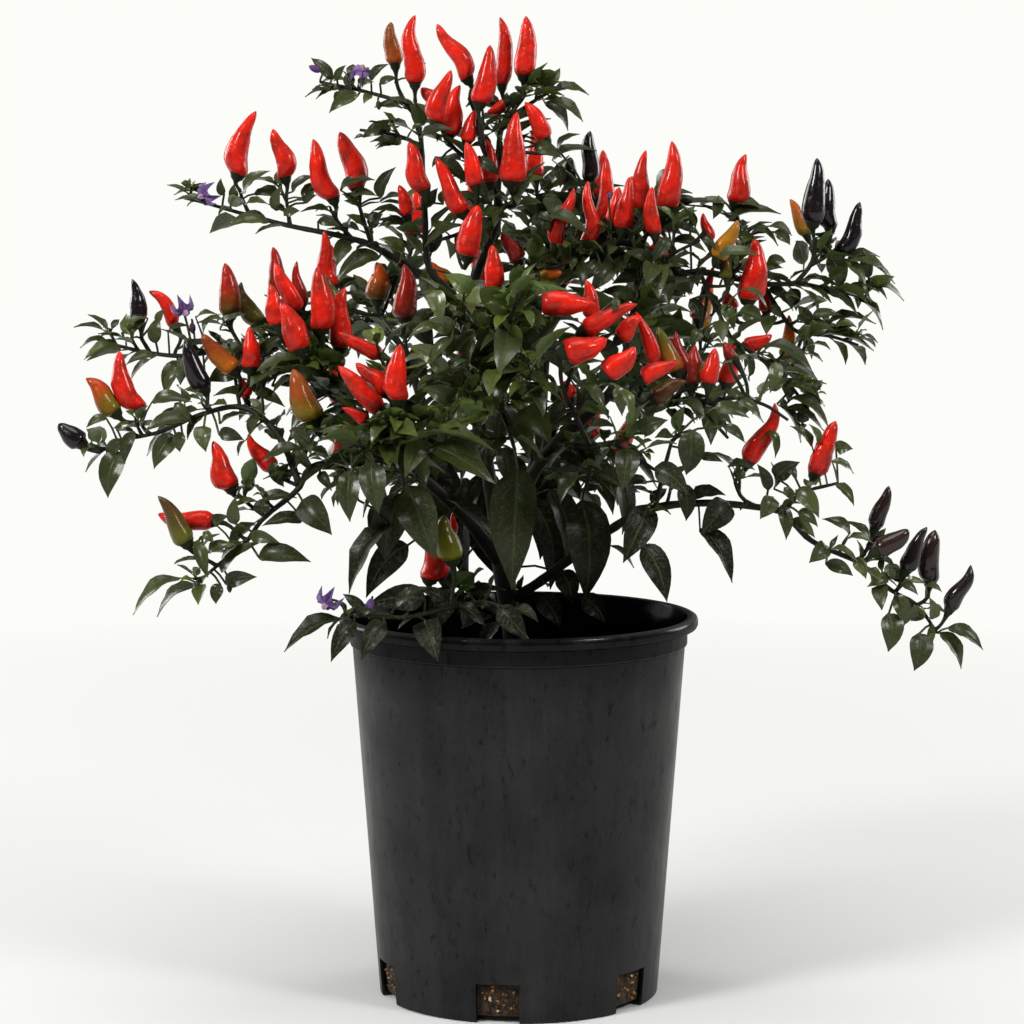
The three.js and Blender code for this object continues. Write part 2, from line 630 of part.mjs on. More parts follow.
// Large leaves, by branch: blade base across and down, tip across and down, blade width in the picture, and depth at
// the base and at the tip.
const largeLeaves = {
  branch_front_center: [
    [518, 468, 512, 590, 46, -52, -60],
  ],
  branch_front_left: [
    [405, 488, 434, 565, 34, -72, -80],
    [402, 494, 385, 560, 34, -70, -66],
    [352, 470, 350, 522, 22, -84, -88],
    [372, 462, 379, 514, 26, -88, -94],
    [452, 432, 482, 462, 22, -94, -104],
    [425, 440, 405, 478, 22, -86, -98],
  ],
  branch_left_lower: [
    [262, 548, 311, 562, 20, -60, -64],
    [300, 504, 332, 535, 30, -64, -72],
    [222, 578, 257, 577, 18, -56, -60],
    [190, 590, 133, 615, 16, -57, -60],
    [197, 592, 156, 617, 13, -50, -44],
    [389, 523, 349, 594, 20, -74, -80],
  ],
  branch_left_arm: [
    [121, 452, 108, 498, 24, -34, -38],
    [176, 436, 154, 469, 20, -38, -42],
    [100, 450, 84, 448, 8, -28, -24],
    [222, 425, 205, 455, 18, -46, -52],
  ],
  branch_front_right: [
    [582, 500, 585, 600, 44, -26, -30],
    [655, 468, 689, 495, 22, -82, -88],
    [628, 448, 622, 490, 24, -84, -90],
    [640, 432, 668, 420, 18, -84, -90],
  ],
  branch_right_arm: [
    [648, 505, 623, 563, 30, -42, -50],
    [643, 545, 667, 602, 26, -52, -58],
    [700, 528, 732, 583, 19, -46, -50],
    [728, 502, 701, 535, 28, -44, -50],
    [768, 508, 760, 532, 18, -44, -48],
    [787, 516, 787, 541, 18, -42, -46],
    [800, 494, 819, 518, 18, -46, -52],
    [820, 546, 810, 570, 18, -38, -44],
    [891, 600, 889, 652, 23, -30, -34],
    [903, 598, 903, 626, 16, -22, -18],
    [920, 633, 914, 671, 24, -28, -32],
    [942, 634, 961, 668, 14, -24, -22],
    [940, 628, 983, 650, 12, -26, -28],
    [840, 484, 854, 506, 9, -47, -50],
  ],
  branch_rim_left: [
    [340, 618, 284, 652, 15, -98, -104],
    [355, 622, 331, 662, 19, -98, -106],
    [385, 622, 361, 660, 20, -92, -102],
    [425, 620, 438, 662, 27, -84, -98],
    [498, 608, 527, 640, 22, -88, -92],
    [425, 600, 368, 604, 26, -74, -80],
  ],
  branch_right_upper: [
    [838, 276, 880, 257, 11, 23, 32],
    [845, 290, 894, 284, 12, 19, 23],
    [852, 293, 904, 301, 12, 24, 32],
    [845, 296, 887, 318, 12, 15, 14],
    [858, 300, 883, 330, 11, 27, 34],
    [856, 344, 876, 324, 10, 15, 19],
    [840, 338, 870, 351, 12, 9, 8],
  ],
  branch_top: [
    [548, 92, 560, 68, 10, 0, 4],
    [554, 90, 589, 95, 9, 2, 6],
    [548, 98, 582, 121, 10, -4, -8],
    [540, 102, 567, 131, 10, 2, 8],
  ],
  branch_top_left: [
    [330, 84, 311, 60, 8, 15, 19],
    [345, 88, 318, 98, 10, 13, 13],
    [362, 92, 334, 108, 11, 7, 5],
    [365, 130, 338, 138, 12, -1, -2],
  ],
  branch_left_upper: [
    [208, 203, 180, 190, 10, 33, 39],
    [215, 208, 196, 206, 10, 28, 27],
    [250, 222, 232, 232, 12, 26, 22],
    [300, 234, 335, 268, 16, 22, 12],
  ],
  branch_left_middle: [
    [104, 342, 85, 346, 9, 2, 4],
    [128, 352, 108, 356, 12, 0, -6],
    [160, 362, 150, 395, 17, -4, -8],
  ],
};

// Flowers: branch, middle across and down, depth, width in the picture, and the way that the face looks, as x, y, z.
const flowers = [
  ["branch_left_upper", 203, 196, 28, 26, [-0.4, -0.8, -0.2]],
  ["branch_left_middle", 185, 311, -8, 23, [0.1, -0.9, -0.3]],
  ["branch_top_left", 362, 70, 7, 22, [0.3, -0.8, 0.1]],
  ["branch_rim_left", 326, 604, -100, 24, [-0.5, -0.7, -0.3]],
];

// Draw number `i`, from 0 to 1. The same number always gives the same draw.
function draw(i) {
  const value = Math.sin(i * 127.1 + 311.7) * 43758.5453;
  return value - Math.floor(value);
}

// A three.js geometry as a solid, from its points and faces alone.
function solidFrom(geometry) {
  const bare = geometry.clone();
  bare.deleteAttribute("normal");
  bare.deleteAttribute("uv");
  const merged = mergeVertices(bare, 1e-4);
  return new wasm.Manifold(
    new wasm.Mesh({
      numProp: 3,
      vertProperties: merged.attributes.position.array,
      triVerts: new Uint32Array(merged.index.array),
    }),
  );
}

// The middle of some points.
function middleOf(points) {
  return points.reduce((sum, point) => sum.add(point), new THREE.Vector3()).divideScalar(points.length);
}

// A point moved by a distance along a direction.
function moved(point, direction, distance) {
  return point.clone().addScaledVector(direction, distance);
}

// A surface that grows ring by ring. Every ring runs anticlockwise seen from the end that it grows towards.
class Surface {
  points = [];
  faces = [];

  ring(points) {
    const start = this.points.length;
    this.points.push(...points);
    return points.map((_, i) => start + i);
  }

  distance(a, b) {
    return this.points[a].distanceToSquared(this.points[b]);
  }

  // Triangles between two rings, turned against each other so that their points lie as near as they can.
  band(lower, upper) {
    if (upper.length === 1) {
      lower.forEach((a, i) => this.faces.push([a, lower[(i + 1) % lower.length], upper[0]]));
      return;
    }
    const misfit = (shift) =>
      lower.reduce((sum, a, i) => {
        const match = Math.round((i * upper.length) / lower.length) + shift;
        return sum + this.distance(a, upper[match % upper.length]);
      }, 0);
    const [shift] = upper.map((_, i) => i).sort((a, b) => misfit(a) - misfit(b));
    const above = (j) => upper[(j + shift) % upper.length];
    const below = (i) => lower[i % lower.length];
    let i = 0;
    let j = 0;
    while (i < lower.length || j < upper.length) {
      const aheadBelow = (i + 1) / lower.length;
      const aheadAbove = (j + 1) / upper.length;
      if (aheadBelow <= aheadAbove) {
        this.faces.push([below(i), below(i + 1), above(j)]);
        i += 1;
      } else {
        this.faces.push([below(i), above(j + 1), above(j)]);
        j += 1;
      }
    }
  }

  // Closes the far end of a ring, or its near end where `back` is true.
  cap(ring, back = false) {
    for (let i = 1; i + 1 < ring.length; i += 1) {
      this.faces.push(back ? [ring[0], ring[i + 1], ring[i]] : [ring[0], ring[i], ring[i + 1]]);
    }
  }

  // Grows through `rings`, lists of points, from a loop that is already there, and closes the end.
  grow(loop, rings) {
    const last = rings.reduce((lower, points) => {
      const upper = this.ring(points);
      this.band(lower, upper);
      return upper;
    }, loop);
    this.cap(last);
  }

  solid() {
    const geometry = new THREE.BufferGeometry();
    const places = new Float32Array(this.points.flatMap((point) => point.toArray()));
    geometry.setAttribute("position", new THREE.BufferAttribute(places, 3));
    geometry.setIndex(this.faces.flat());
    return solidFrom(geometry);
  }
}

// A closed solid through `rings`. The last one may be a single point.
function loft(rings) {
  const surface = new Surface();
  const first = surface.ring(rings[0]);
  surface.cap(first, true);
  surface.grow(first, rings.slice(1));
  return surface.solid();
}

// Two directions square to `along`, chosen so that side, up and along make a right-handed set.
function squareTo(along, upHint) {
  const side = new THREE.Vector3().crossVectors(upHint, along).normalize();
  const up = new THREE.Vector3().crossVectors(along, side).normalize();
  return { side, up };
}

// A regular ring of points round `middle`, in the plane of two directions.
function ringIn(middle, side, up, radius, sides) {
  return Array.from({ length: sides }, (_, i) => {
    const angle = (2 * Math.PI * i) / sides;
    return moved(moved(middle, side, radius * Math.cos(angle)), up, radius * Math.sin(angle));
  });
}

// A regular ring of points round `middle`, square to `along`.
function ringAt(middle, along, radius, sides) {
  const hint = Math.abs(along.y) > 0.8 ? new THREE.Vector3(1, 0, 0) : new THREE.Vector3(0, 1, 0);
  const { side, up } = squareTo(along, hint);
  return ringIn(middle, side, up, radius, sides);
}

// A stem: its middle line cut into short cells of equal length, with a ring of points at every cell's end.
class Stem {
  constructor(points, startWidth, endWidth, sides) {
    this.curve = new THREE.CatmullRomCurve3(points, false, "centripetal");
    this.cells = Math.max(2, Math.floor(this.curve.getLength() / cellLength));
    this.frames = this.curve.computeFrenetFrames(this.cells, false);
    this.sides = sides;
    this.radii = [startWidth / 2, endWidth / 2];
    this.taken = new Map();
  }

  middle(cell) {
    return this.curve.getPointAt(cell / this.cells);
  }

  ring(cell, grown = 0) {
    const { normals, binormals, tangents } = this.frames;
    const radius = THREE.MathUtils.lerp(...this.radii, cell / this.cells) + grown;
    const middle = this.middle(cell);
    if (cell === 0) middle.addScaledVector(tangents[0], -grown);
    if (cell === this.cells) middle.addScaledVector(tangents[cell], grown);
    return ringIn(middle, normals[cell], binormals[cell], radius, this.sides);
  }

  // The cells that get a ring: the ends of every cell that bears something, and enough others to keep the curve.
  ringCells() {
    const kept = new Set([0, this.cells]);
    for (const key of this.taken.keys()) {
      const cell = Math.floor(key / this.sides);
      if (cell < this.cells) {
        kept.add(cell);
        kept.add(cell + 1);
      }
    }
    const fixed = [...kept].sort((a, b) => a - b);
    let last = 0;
    for (let cell = 1; cell < this.cells; cell += 1) {
      const next = fixed.find((other) => other >= cell);
      const isSparse = cell - last >= ringStep && next - cell >= ringStep / 2;
      if (isSparse) kept.add(cell);
      if (kept.has(cell)) last = cell;
    }
    return [...kept].sort((a, b) => a - b);
  }

  // The four corners of a cell's side.
  corners(cell, side) {
    const low = this.ring(cell);
    const high = this.ring(cell + 1);
    const next = (side + 1) % this.sides;
    return [low[side], low[next], high[next], high[side]];
  }

  // The places where something may grow: the sides of each cell but the first, and the stem's end.
  sites() {
    const found = [];
    for (let cell = 1; cell < this.cells; cell += 1) {
      for (let side = 0; side < this.sides; side += 1) {
        const corners = this.corners(cell, side);
        const [a, b, c, d] = corners;
        const normal = c.clone().sub(a).cross(d.clone().sub(b)).normalize();
        found.push({ stem: this, key: cell * this.sides + side, cell, middle: middleOf(corners), normal });
      }
    }
    const end = this.cells;
    found.push({
      stem: this,
      key: end * this.sides,
      cell: end,
      middle: this.middle(end),
      normal: this.frames.tangents[end],
    });
    return found;
  }

  // A solid of the bare stem from its cell number `first` on, with a ring every `step` cells.
  plainSolid(step, first = 0, grown = 0) {
    const rings = [];
    for (let cell = first; cell < this.cells; cell += step) rings.push(this.ring(cell, grown));
    rings.push(this.ring(this.cells, grown));
    return loft(rings);
  }

  // Adds the stem's skin to a surface, with what grows on it, from a loop that is already there.
  skin(surface, loop) {
    let lower = loop;
    const cells = this.ringCells();
    cells.slice(1).forEach((cell, i) => {
      const upper = surface.ring(this.ring(cell));
      const from = cells[i];
      if (from === 0) {
        surface.band(lower, upper);
      } else {
        this.sideWalls(surface, from, cell, lower, upper);
      }
      lower = upper;
    });
    const growth = this.taken.get(this.cells * this.sides);
    if (growth) growth(surface, lower);
    else surface.cap(lower);
  }

  // The sides between two rings: a plain wall, or in a single cell what grows there.
  sideWalls(surface, from, to, lower, upper) {
    lower.forEach((corner, side) => {
      const next = (side + 1) % this.sides;
      const wall = [corner, lower[next], upper[next], upper[side]];
      const growth = to === from + 1 && this.taken.get(from * this.sides + side);
      if (growth) growth(surface, wall);
      else surface.cap(wall);
    });
  }
}

// Solids that are in place, so that what comes next can be kept clear of them.
const placed = [];

function boxOf(solid) {
  const { min, max } = solid.boundingBox();
  return new THREE.Box3(new THREE.Vector3(...min), new THREE.Vector3(...max));
}

function keep(solid) {
  placed.push({ solid, box: boxOf(solid) });
}

function isClear(solid) {
  const box = boxOf(solid);
  return placed.every((other) => !other.box.intersectsBox(box) || other.solid.intersect(solid).isEmpty());
}

// The nearest free sites of a branch that face `target`.
function sitesTowards(branch, target) {
  const found = [];
  for (const site of branch.sites) {
    if (site.stem.taken.has(site.key)) continue;
    const away = target.clone().sub(site.middle);
    const distance = away.length();
    const facing = away.dot(site.normal) / distance;
    if (facing > leastFacing) found.push({ ...site, cost: distance + badFacingCost * (1 - facing) });
  }
  return found.sort((a, b) => a.cost - b.cost).slice(0, placesTried);
}

// A solid for clearance tests: the rings of a growth, with its root drawn a little way out of the stem.
function testSolid(site, rings) {
  const climb = middleOf(rings[0]).sub(site.middle);
  const along = climb.clone().normalize();
  const out = Math.min(testRootOut, climb.length() * testRootShare);
  const root = moved(moved(site.middle, along, out), site.normal, testRootLift);
  return loft([ringAt(root, along, petioleRadius * testRootShare, twigSides), ...rings]);
}

// Grows rings on the first of `sites` where they stand clear, or on the nearest one where none is clear.
function growOnSite(sites, ringsFrom) {
  const site = sites.find((other) => isClear(testSolid(other, ringsFrom(other)))) ?? sites[0];
  const rings = ringsFrom(site);
  keep(testSolid(site, rings));
  site.stem.taken.set(site.key, (surface, loop) => surface.grow(loop, rings));
}

// The axis and sizes of a pepper, in millimetres, from its row of the table.
function pepperShape([, tipAcross, tipDown, baseAcross, baseDown, width, depth]) {
  const tip = seen(tipAcross, tipDown, depth);
  const base = seen(baseAcross, baseDown, depth);
  return { tip, base, radius: (width * pixel) / 2, axis: tip.clone().sub(base).normalize() };
}

// The rings of a conical pepper above its lowest one, widest near the base.
function pepperRings({ tip, base, radius, axis }) {
  const rings = pepperProfile.map(([share, wide]) =>
    ringAt(base.clone().lerp(tip, share), axis, radius * wide, pepperSides),
  );
  return [...rings, [tip]];
}

// A pepper as a solid of its own, which stands just clear of its calyx.
function pepperSolid(shape) {
  const foot = ringAt(moved(shape.base, shape.axis, gap), shape.axis, shape.radius * cupShare, pepperSides);
  return loft([foot, ...pepperRings(shape)]);
}

// The rings of a fruit stalk past its root at `from`, opening into the calyx cup under the fruit.
function stalkRings({ base, radius, axis }, from) {
  const cupFoot = moved(base, axis, -calyxHeight);
  const climb = cupFoot.clone().sub(from);
  const rings = [];
  if (climb.length() > longStalk) {
    const neck = moved(cupFoot, axis, -stalkNeck);
    rings.push(ringAt(neck, climb.normalize().add(axis).normalize(), stalkRadius, twigSides));
  }
  rings.push(ringAt(cupFoot, axis, stalkRadius * cupFootShare, twigSides));
  rings.push(ringAt(base, axis, radius * cupShare, pepperSides));
  return rings;
}

// The rings of a leaf past its root. A blade is a lens in section, folded up a little along its midrib, and arches
// from base to tip. A large leaf has a petiole under it. `more` is added on all sides for a clearance test.
function leafRings({ base, tip, width, facing, arch, stations, hasPetiole }, more = 0) {
  const along = tip.clone().sub(base);
  const length = along.length();
  along.normalize();
  const lift = moved(facing, along, -facing.dot(along)).normalize();
  const side = new THREE.Vector3().crossVectors(lift, along);
  const peak = moved(base.clone().lerp(tip, 0.5), lift, arch * length);
  const curve = new THREE.QuadraticBezierCurve3(base, peak, tip);
  const lens = (middle, half, deep, fold) => [
    moved(moved(middle, side, half), lift, fold),
    moved(middle, lift, deep),
    moved(moved(middle, side, -half), lift, fold),
    moved(middle, lift, -deep),
  ];
  const petiole = lens(base, petioleRadius + more, petioleRadius + more, 0);
  const rings = stations.map(([share, wide]) => {
    const half = (width / 2) * wide + more;
    return lens(curve.getPoint(share), half, bladeHalfThickness + more, half * bladeFold);
  });
  return [...(hasPetiole ? [petiole] : []), ...rings, [moved(tip, along, more)]];
}

// The way the upper face of a leaf looks: up and away from the plant's middle line, with a share towards the viewer.
function leafFacing(place, towardsViewer) {
  const outward = new THREE.Vector3(place.x, place.y, 0).normalize();
  return outward.multiplyScalar(0.7).add(new THREE.Vector3(0, -towardsViewer, 0.75));
}

// Grows a leaf on a site, bent clear of all that is in place by one of the small turns, or leaves it out.
function growLeaf(site, leaf) {
  for (const [sideways, upwards] of turns) {
    const turn = new THREE.Quaternion().setFromEuler(
      new THREE.Euler(THREE.MathUtils.degToRad(upwards), 0, THREE.MathUtils.degToRad(sideways)),
    );
    const bent = (point) => point.clone().sub(site.middle).applyQuaternion(turn).add(site.middle);
    const shape = { ...leaf, base: bent(leaf.base), tip: bent(leaf.tip) };
    const facesOut = shape.base.clone().sub(site.middle).normalize().dot(site.normal) >= leastFacing;
    if (facesOut && isClear(testSolid(site, leafRings(shape, leafClearance)))) {
      const rings = leafRings(shape);
      keep(testSolid(site, rings));
      site.stem.taken.set(site.key, (surface, loop) => surface.grow(loop, rings));
      return true;
    }
  }
  return false;
}

// A large leaf from its row of the table.
function largeLeaf([baseAcross, baseDown, tipAcross, tipDown, width, baseDepth, tipDepth]) {
  const base = seen(baseAcross, baseDown, baseDepth);
  return {
    base,
    tip: seen(tipAcross, tipDown, tipDepth),
    width: width * pixel,
    facing: leafFacing(base, 0.5),
    arch: 0.12,
    stations: largeStations,
    hasPetiole: true,
  };
}

// A small leaf on a site. It leaves the stem square to it and a little forwards, outwards from the plant, and hangs.
function smallLeaf(site, seed) {
  const forwards = site.stem.frames.tangents[site.cell];
  const outwards = new THREE.Vector3(site.middle.x, site.middle.y, 0).normalize();
  const out = moved(site.normal, forwards, 0.3 + 0.5 * draw(seed)).addScaledVector(outwards, 0.3).normalize();
  const length = THREE.MathUtils.lerp(...leafLength, draw(seed + 1));
  const base = moved(site.middle, out, length * 0.35);
  const hanging = new THREE.Vector3(0, 0, -0.2 - 0.6 * draw(seed + 2));
  return {
    base,
    tip: moved(base, out.clone().add(hanging).normalize(), length),
    width: length * 0.46,
    facing: leafFacing(base, 0.15),
    arch: 0.1,
    stations: smallStations,
    hasPetiole: false,
  };
}

// A purple star flower of five pointed petals round a raised middle, which looks along `facing`.
function flowerSolid(middle, width, facing) {
  const { side, up } = squareTo(facing, new THREE.Vector3(0, 0, 1));
  const star = Array.from({ length: 10 }, (_, i) => {
    const angle = (Math.PI * i) / 5 + 0.3;
    const isNotch = i % 2 === 1;
    const far = (width / 2) * (isNotch ? 0.42 : 1);
    const flat = moved(moved(middle, side, far * Math.cos(angle)), up, far * Math.sin(angle));
    return moved(flat, facing, isNotch ? 0.4 : -1.4);
  });
  const foot = star.map((point) => moved(point.clone().lerp(middle, 0.12), facing, -0.9));
  return loft([foot, star, [moved(middle, facing, flowerHeight)]]);
}

// The largest body of a cut solid.
function oneBody(solid) {
  return solid.decompose().reduce((best, body) => (body.volume() > best.volume() ? body : best));
}

const group = new THREE.Group();
group.name = "potted_ornamental_pepper";

// Adds a solid to the group as a named mesh.
function addMesh(name, solid, colour, roughness) {
  const mesh = solid.getMesh();
  const places = new Float32Array(mesh.numVert * 3);
  for (let i = 0; i < mesh.numVert; i += 1) {
    places.set(mesh.vertProperties.subarray(i * mesh.numProp, i * mesh.numProp + 3), i * 3);
  }
  const geometry = new THREE.BufferGeometry();
  geometry.setAttribute("position", new THREE.BufferAttribute(places, 3));
  geometry.setIndex(new THREE.BufferAttribute(new Uint32Array(mesh.triVerts), 1));
  geometry.computeVertexNormals();
  const material = new THREE.MeshStandardMaterial({ color: colour, roughness, metalness: 0 });
  const made = new THREE.Mesh(geometry, material);
  made.name = name;
  group.add(made);
}

// A profile of [radius, height] points turned round the pot's axis.
function turned(profile) {
  const points = profile.map(([radius, height]) => new THREE.Vector2(radius, height));
  const geometry = new THREE.LatheGeometry(points, potSides);
  geometry.rotateX(Math.PI / 2);
  return solidFrom(geometry);
}

// The outer radius of the pot's tapered wall at a height.
function wallRadius(height) {
  return THREE.MathUtils.lerp(potBaseRadius, potWallTopRadius, height / potBandBottom);
}

// The pot: a tapered wall with a band and a rolled rim, and slots cut through the foot of the wall.
function potSolidWithSlots() {
  const rimFoot = potHeight - potRimHeight;
  const profile = [
    [0, 0],
    [potBaseRadius, 0],
    [wallRadius(potBandBottom), potBandBottom],
    [potBandRadius, potBandBottom + potBandStep],
    [potBandRadius, rimFoot],
    [potRimRadius - potRimChamfer, rimFoot],
    [potRimRadius, rimFoot + potRimChamfer],
    [potRimRadius, potHeight - potRimChamfer],
    [potRimRadius - potRimChamfer, potHeight],
    [potRimInnerRadius, potHeight],
    [potRimInnerRadius - potRimChamfer, rimFoot - 1],
    [wallRadius(potFloor) - potWall, potFloor],
    [0, potFloor],
  ];
  const cutters = Array.from({ length: slotCount }, (_, i) => {
    const cutter = new THREE.BoxGeometry(slotWidth, slotDepth, slotHeight + 1);
    cutter.translate(0, -potBaseRadius, (slotHeight - 1) / 2);
    cutter.rotateZ(THREE.MathUtils.degToRad(slotTurn + (360 / slotCount) * i));
    return solidFrom(cutter);
  });
  return oneBody(turned(profile).subtract(wasm.Manifold.union(cutters)));
}

// The soil that fills the pot, a little higher in the middle, with a hole for the main stem.
function soilAround(stemHole) {
  const low = potFloor + gap;
  const inside = (height) => wallRadius(height) - potWall - soilClearance;
  const edge = inside(soilTop);
  const profile = [
    [0, low],
    [inside(low), low],
    [edge, soilTop - soilDip],
    [edge * 0.5, soilTop + soilCrown * 0.6],
    [0, soilTop + soilCrown],
  ];
  return oneBody(turned(profile).subtract(stemHole));
}

// The points of a stem's route through the picture.
function routePoints(route) {
  return route.map((place) => seen(...place));
}

// The main stem with its limbs, joined into one solid.
function mainStem({ stems }) {
  const limbs = stems.map(({ route, thick }) => new Stem(routePoints(route), ...thick, limbSides));
  const trunk = limbs[0];
  return { trunk, solid: wasm.Manifold.union(limbs.map((limb) => limb.plainSolid(limbStep))) };
}

// A branch's first stem starts just clear of what it grows from: its first point moves out along it until it is.
function seatedRoute(points) {
  const out = points[1].clone().sub(points[0]).normalize();
  for (let distance = 0; distance < rootReach; distance += gap / 2) {
    const start = moved(points[0], out, distance);
    const stub = [start, moved(start, out, testStep)].map((end) => ringAt(end, out, rootRadius, limbSides));
    if (isClear(loft(stub))) return [start, ...points.slice(1)];
  }
  return points;
}

// The site of a branch where its next stem forks off, near that stem's first point and facing its second.
function forkSite(branch, points) {
  const sites = sitesTowards(branch, points[1]);
  return sites.find(({ middle }) => middle.distanceTo(points[0]) < forkReach) ?? sites[0];
}

// The stems of a leafy branch. The first one is its root, and each other one grows on a site of those before it.
function leafyBranch({ stems }) {
  const made = { stems: [], sites: [] };
  stems.forEach(({ route, thick }, i) => {
    let points = routePoints(route);
    const site = i === 0 ? null : forkSite(made, points);
    if (site) points[0] = site.middle;
    else points = seatedRoute(points);
    const stem = new Stem(points, ...thick, twigSides);
    made.stems.push(stem);
    made.sites.push(...stem.sites());
    if (site) site.stem.taken.set(site.key, (surface, loop) => stem.skin(surface, loop));
    keep(stem.plainSolid(testStep, site ? 1 : 0));
  });
  return made;
}

// The pot, the main stem and its soil are in place first, then the stems of every branch.
const potSolid = potSolidWithSlots();
const { trunk, solid: mainStemSolid } = mainStem(branches.main_stem);
const soilSolid = soilAround(trunk.plainSolid(limbStep, 0, gap));
keep(potSolid);
keep(soilSolid);
keep(mainStemSolid);
const grown = {};
for (const [name, branch] of Object.entries(branches)) {
  if (name !== "main_stem") grown[name] = leafyBranch(branch);
}

// The peppers with their stalks and calyces.
for (const [name, rows] of Object.entries(peppers)) {
  rows.forEach((row, i) => {
    const [colour] = row;
    const isOwn = row.at(-1) === 1;
    const shape = pepperShape(row);
    const belowCup = moved(shape.base, shape.axis, -calyxHeight - stalkNeck);
    growOnSite(sitesTowards(grown[name], belowCup), (site) => {
      const stalk = stalkRings(shape, site.middle);
      return isOwn ? stalk : [...stalk, ...pepperRings(shape)];
    });
    if (isOwn) {
      const fruit = pepperSolid(shape);
      keep(fruit);
      addMesh(`pepper_${colour}_${name.replace("branch_", "")}_${i + 1}`, fruit, colours[colour], 0.25);
    }
  });
}

// The flowers, each nodding on its own short stalk.
flowers.forEach(([name, middleAcross, middleDown, depth, width, looks], i) => {
  const middle = seen(middleAcross, middleDown, depth);
  const facing = new THREE.Vector3(...looks).normalize();
  const bloom = flowerSolid(middle, width * pixel, facing);
  keep(bloom);
  addMesh(`flower_${i + 1}`, bloom, colours.flower, 0.6);
  const back = moved(middle, facing, -flowerHeight - gap);
  const neck = moved(back, facing, -flowerNeck);
  const rings = [
    ringAt(neck, facing, petioleRadius, twigSides),
    ringAt(back, facing, petioleRadius * 2, twigSides),
  ];
  growOnSite(sitesTowards(grown[name], neck), () => rings);
});

// The large leaves.
for (const [name, rows] of Object.entries(largeLeaves)) {
  rows.forEach((row) => {
    const leaf = largeLeaf(row);
    sitesTowards(grown[name], leaf.base).some((site) => growLeaf(site, leaf));
  });
}

// The small leaves, in whorls along every stem.
Object.values(grown).forEach(({ stems }, branchIndex) => {
  stems.forEach((stem, stemIndex) => {
    for (let cell = whorlStart; cell < stem.cells; cell += whorlStep) {
      let left = leavesInWhorl;
      for (const site of stem.sites().filter((other) => other.cell === cell)) {
        const seed = branchIndex * 1000 + stemIndex * 100 + site.key;
        const isFree = left > 0 && !stem.taken.has(site.key);
        if (isFree && growLeaf(site, smallLeaf(site, seed))) left -= 1;
      }
    }
  });
});

// The skins of the branches with all that grew on them, and the meshes of the rest.
for (const [name, { stems }] of Object.entries(grown)) {
  const surface = new Surface();
  const loop = surface.ring(stems[0].ring(0));
  surface.cap(loop, true);
  stems[0].skin(surface, loop);
  addMesh(name, surface.solid(), colours.leaf, 0.6);
}
addMesh("main_stem", mainStemSolid, colours.stem, 0.7);
addMesh("soil", soilSolid, colours.soil, 0.95);
addMesh("pot", potSolid, colours.pot, 0.45);

export default group;
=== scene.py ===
import math

import bpy
import numpy as np
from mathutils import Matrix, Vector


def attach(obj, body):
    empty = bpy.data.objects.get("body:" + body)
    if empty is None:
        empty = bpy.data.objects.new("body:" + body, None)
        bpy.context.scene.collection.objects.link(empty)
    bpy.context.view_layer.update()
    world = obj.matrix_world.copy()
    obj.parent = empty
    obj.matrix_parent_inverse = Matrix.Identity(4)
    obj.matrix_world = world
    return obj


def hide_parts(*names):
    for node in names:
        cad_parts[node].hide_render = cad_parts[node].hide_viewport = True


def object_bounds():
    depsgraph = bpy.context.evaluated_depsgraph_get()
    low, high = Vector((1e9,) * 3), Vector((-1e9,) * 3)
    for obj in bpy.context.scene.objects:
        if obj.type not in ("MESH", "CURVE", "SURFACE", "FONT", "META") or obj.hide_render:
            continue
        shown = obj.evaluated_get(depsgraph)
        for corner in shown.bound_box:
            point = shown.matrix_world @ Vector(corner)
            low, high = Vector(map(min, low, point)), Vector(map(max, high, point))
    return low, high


# A potted ornamental pepper: a black nursery pot with soil, and a bushy plant with dark leaves, upright conical
# fruit in red, orange, olive and black, and small purple flowers. Metres, +Z up, in the frame of the CAD model.
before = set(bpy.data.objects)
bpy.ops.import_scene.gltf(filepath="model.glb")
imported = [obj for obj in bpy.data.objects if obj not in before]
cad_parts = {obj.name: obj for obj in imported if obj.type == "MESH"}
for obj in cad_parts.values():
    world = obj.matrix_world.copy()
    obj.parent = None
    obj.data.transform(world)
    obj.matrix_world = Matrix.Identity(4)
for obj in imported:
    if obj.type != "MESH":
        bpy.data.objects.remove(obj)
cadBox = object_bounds()
print("frame:", len(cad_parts), "nodes")

milli = 0.001

# The reference picture is 1024 pixels across. A place in it, with a depth in millimetres behind the pot's middle,
# is a point of the plant: it lies on the sight line from the viewpoint through that pixel.
picture = {"middle": 512, "focal": 3190, "size": 1024}
viewpoint = {"place": (-0.0032, -1.5, 0.390), "down": math.radians(6.1)}
pixel = -viewpoint["place"][1] / picture["focal"]  # metres that one pixel covers at the pot's middle

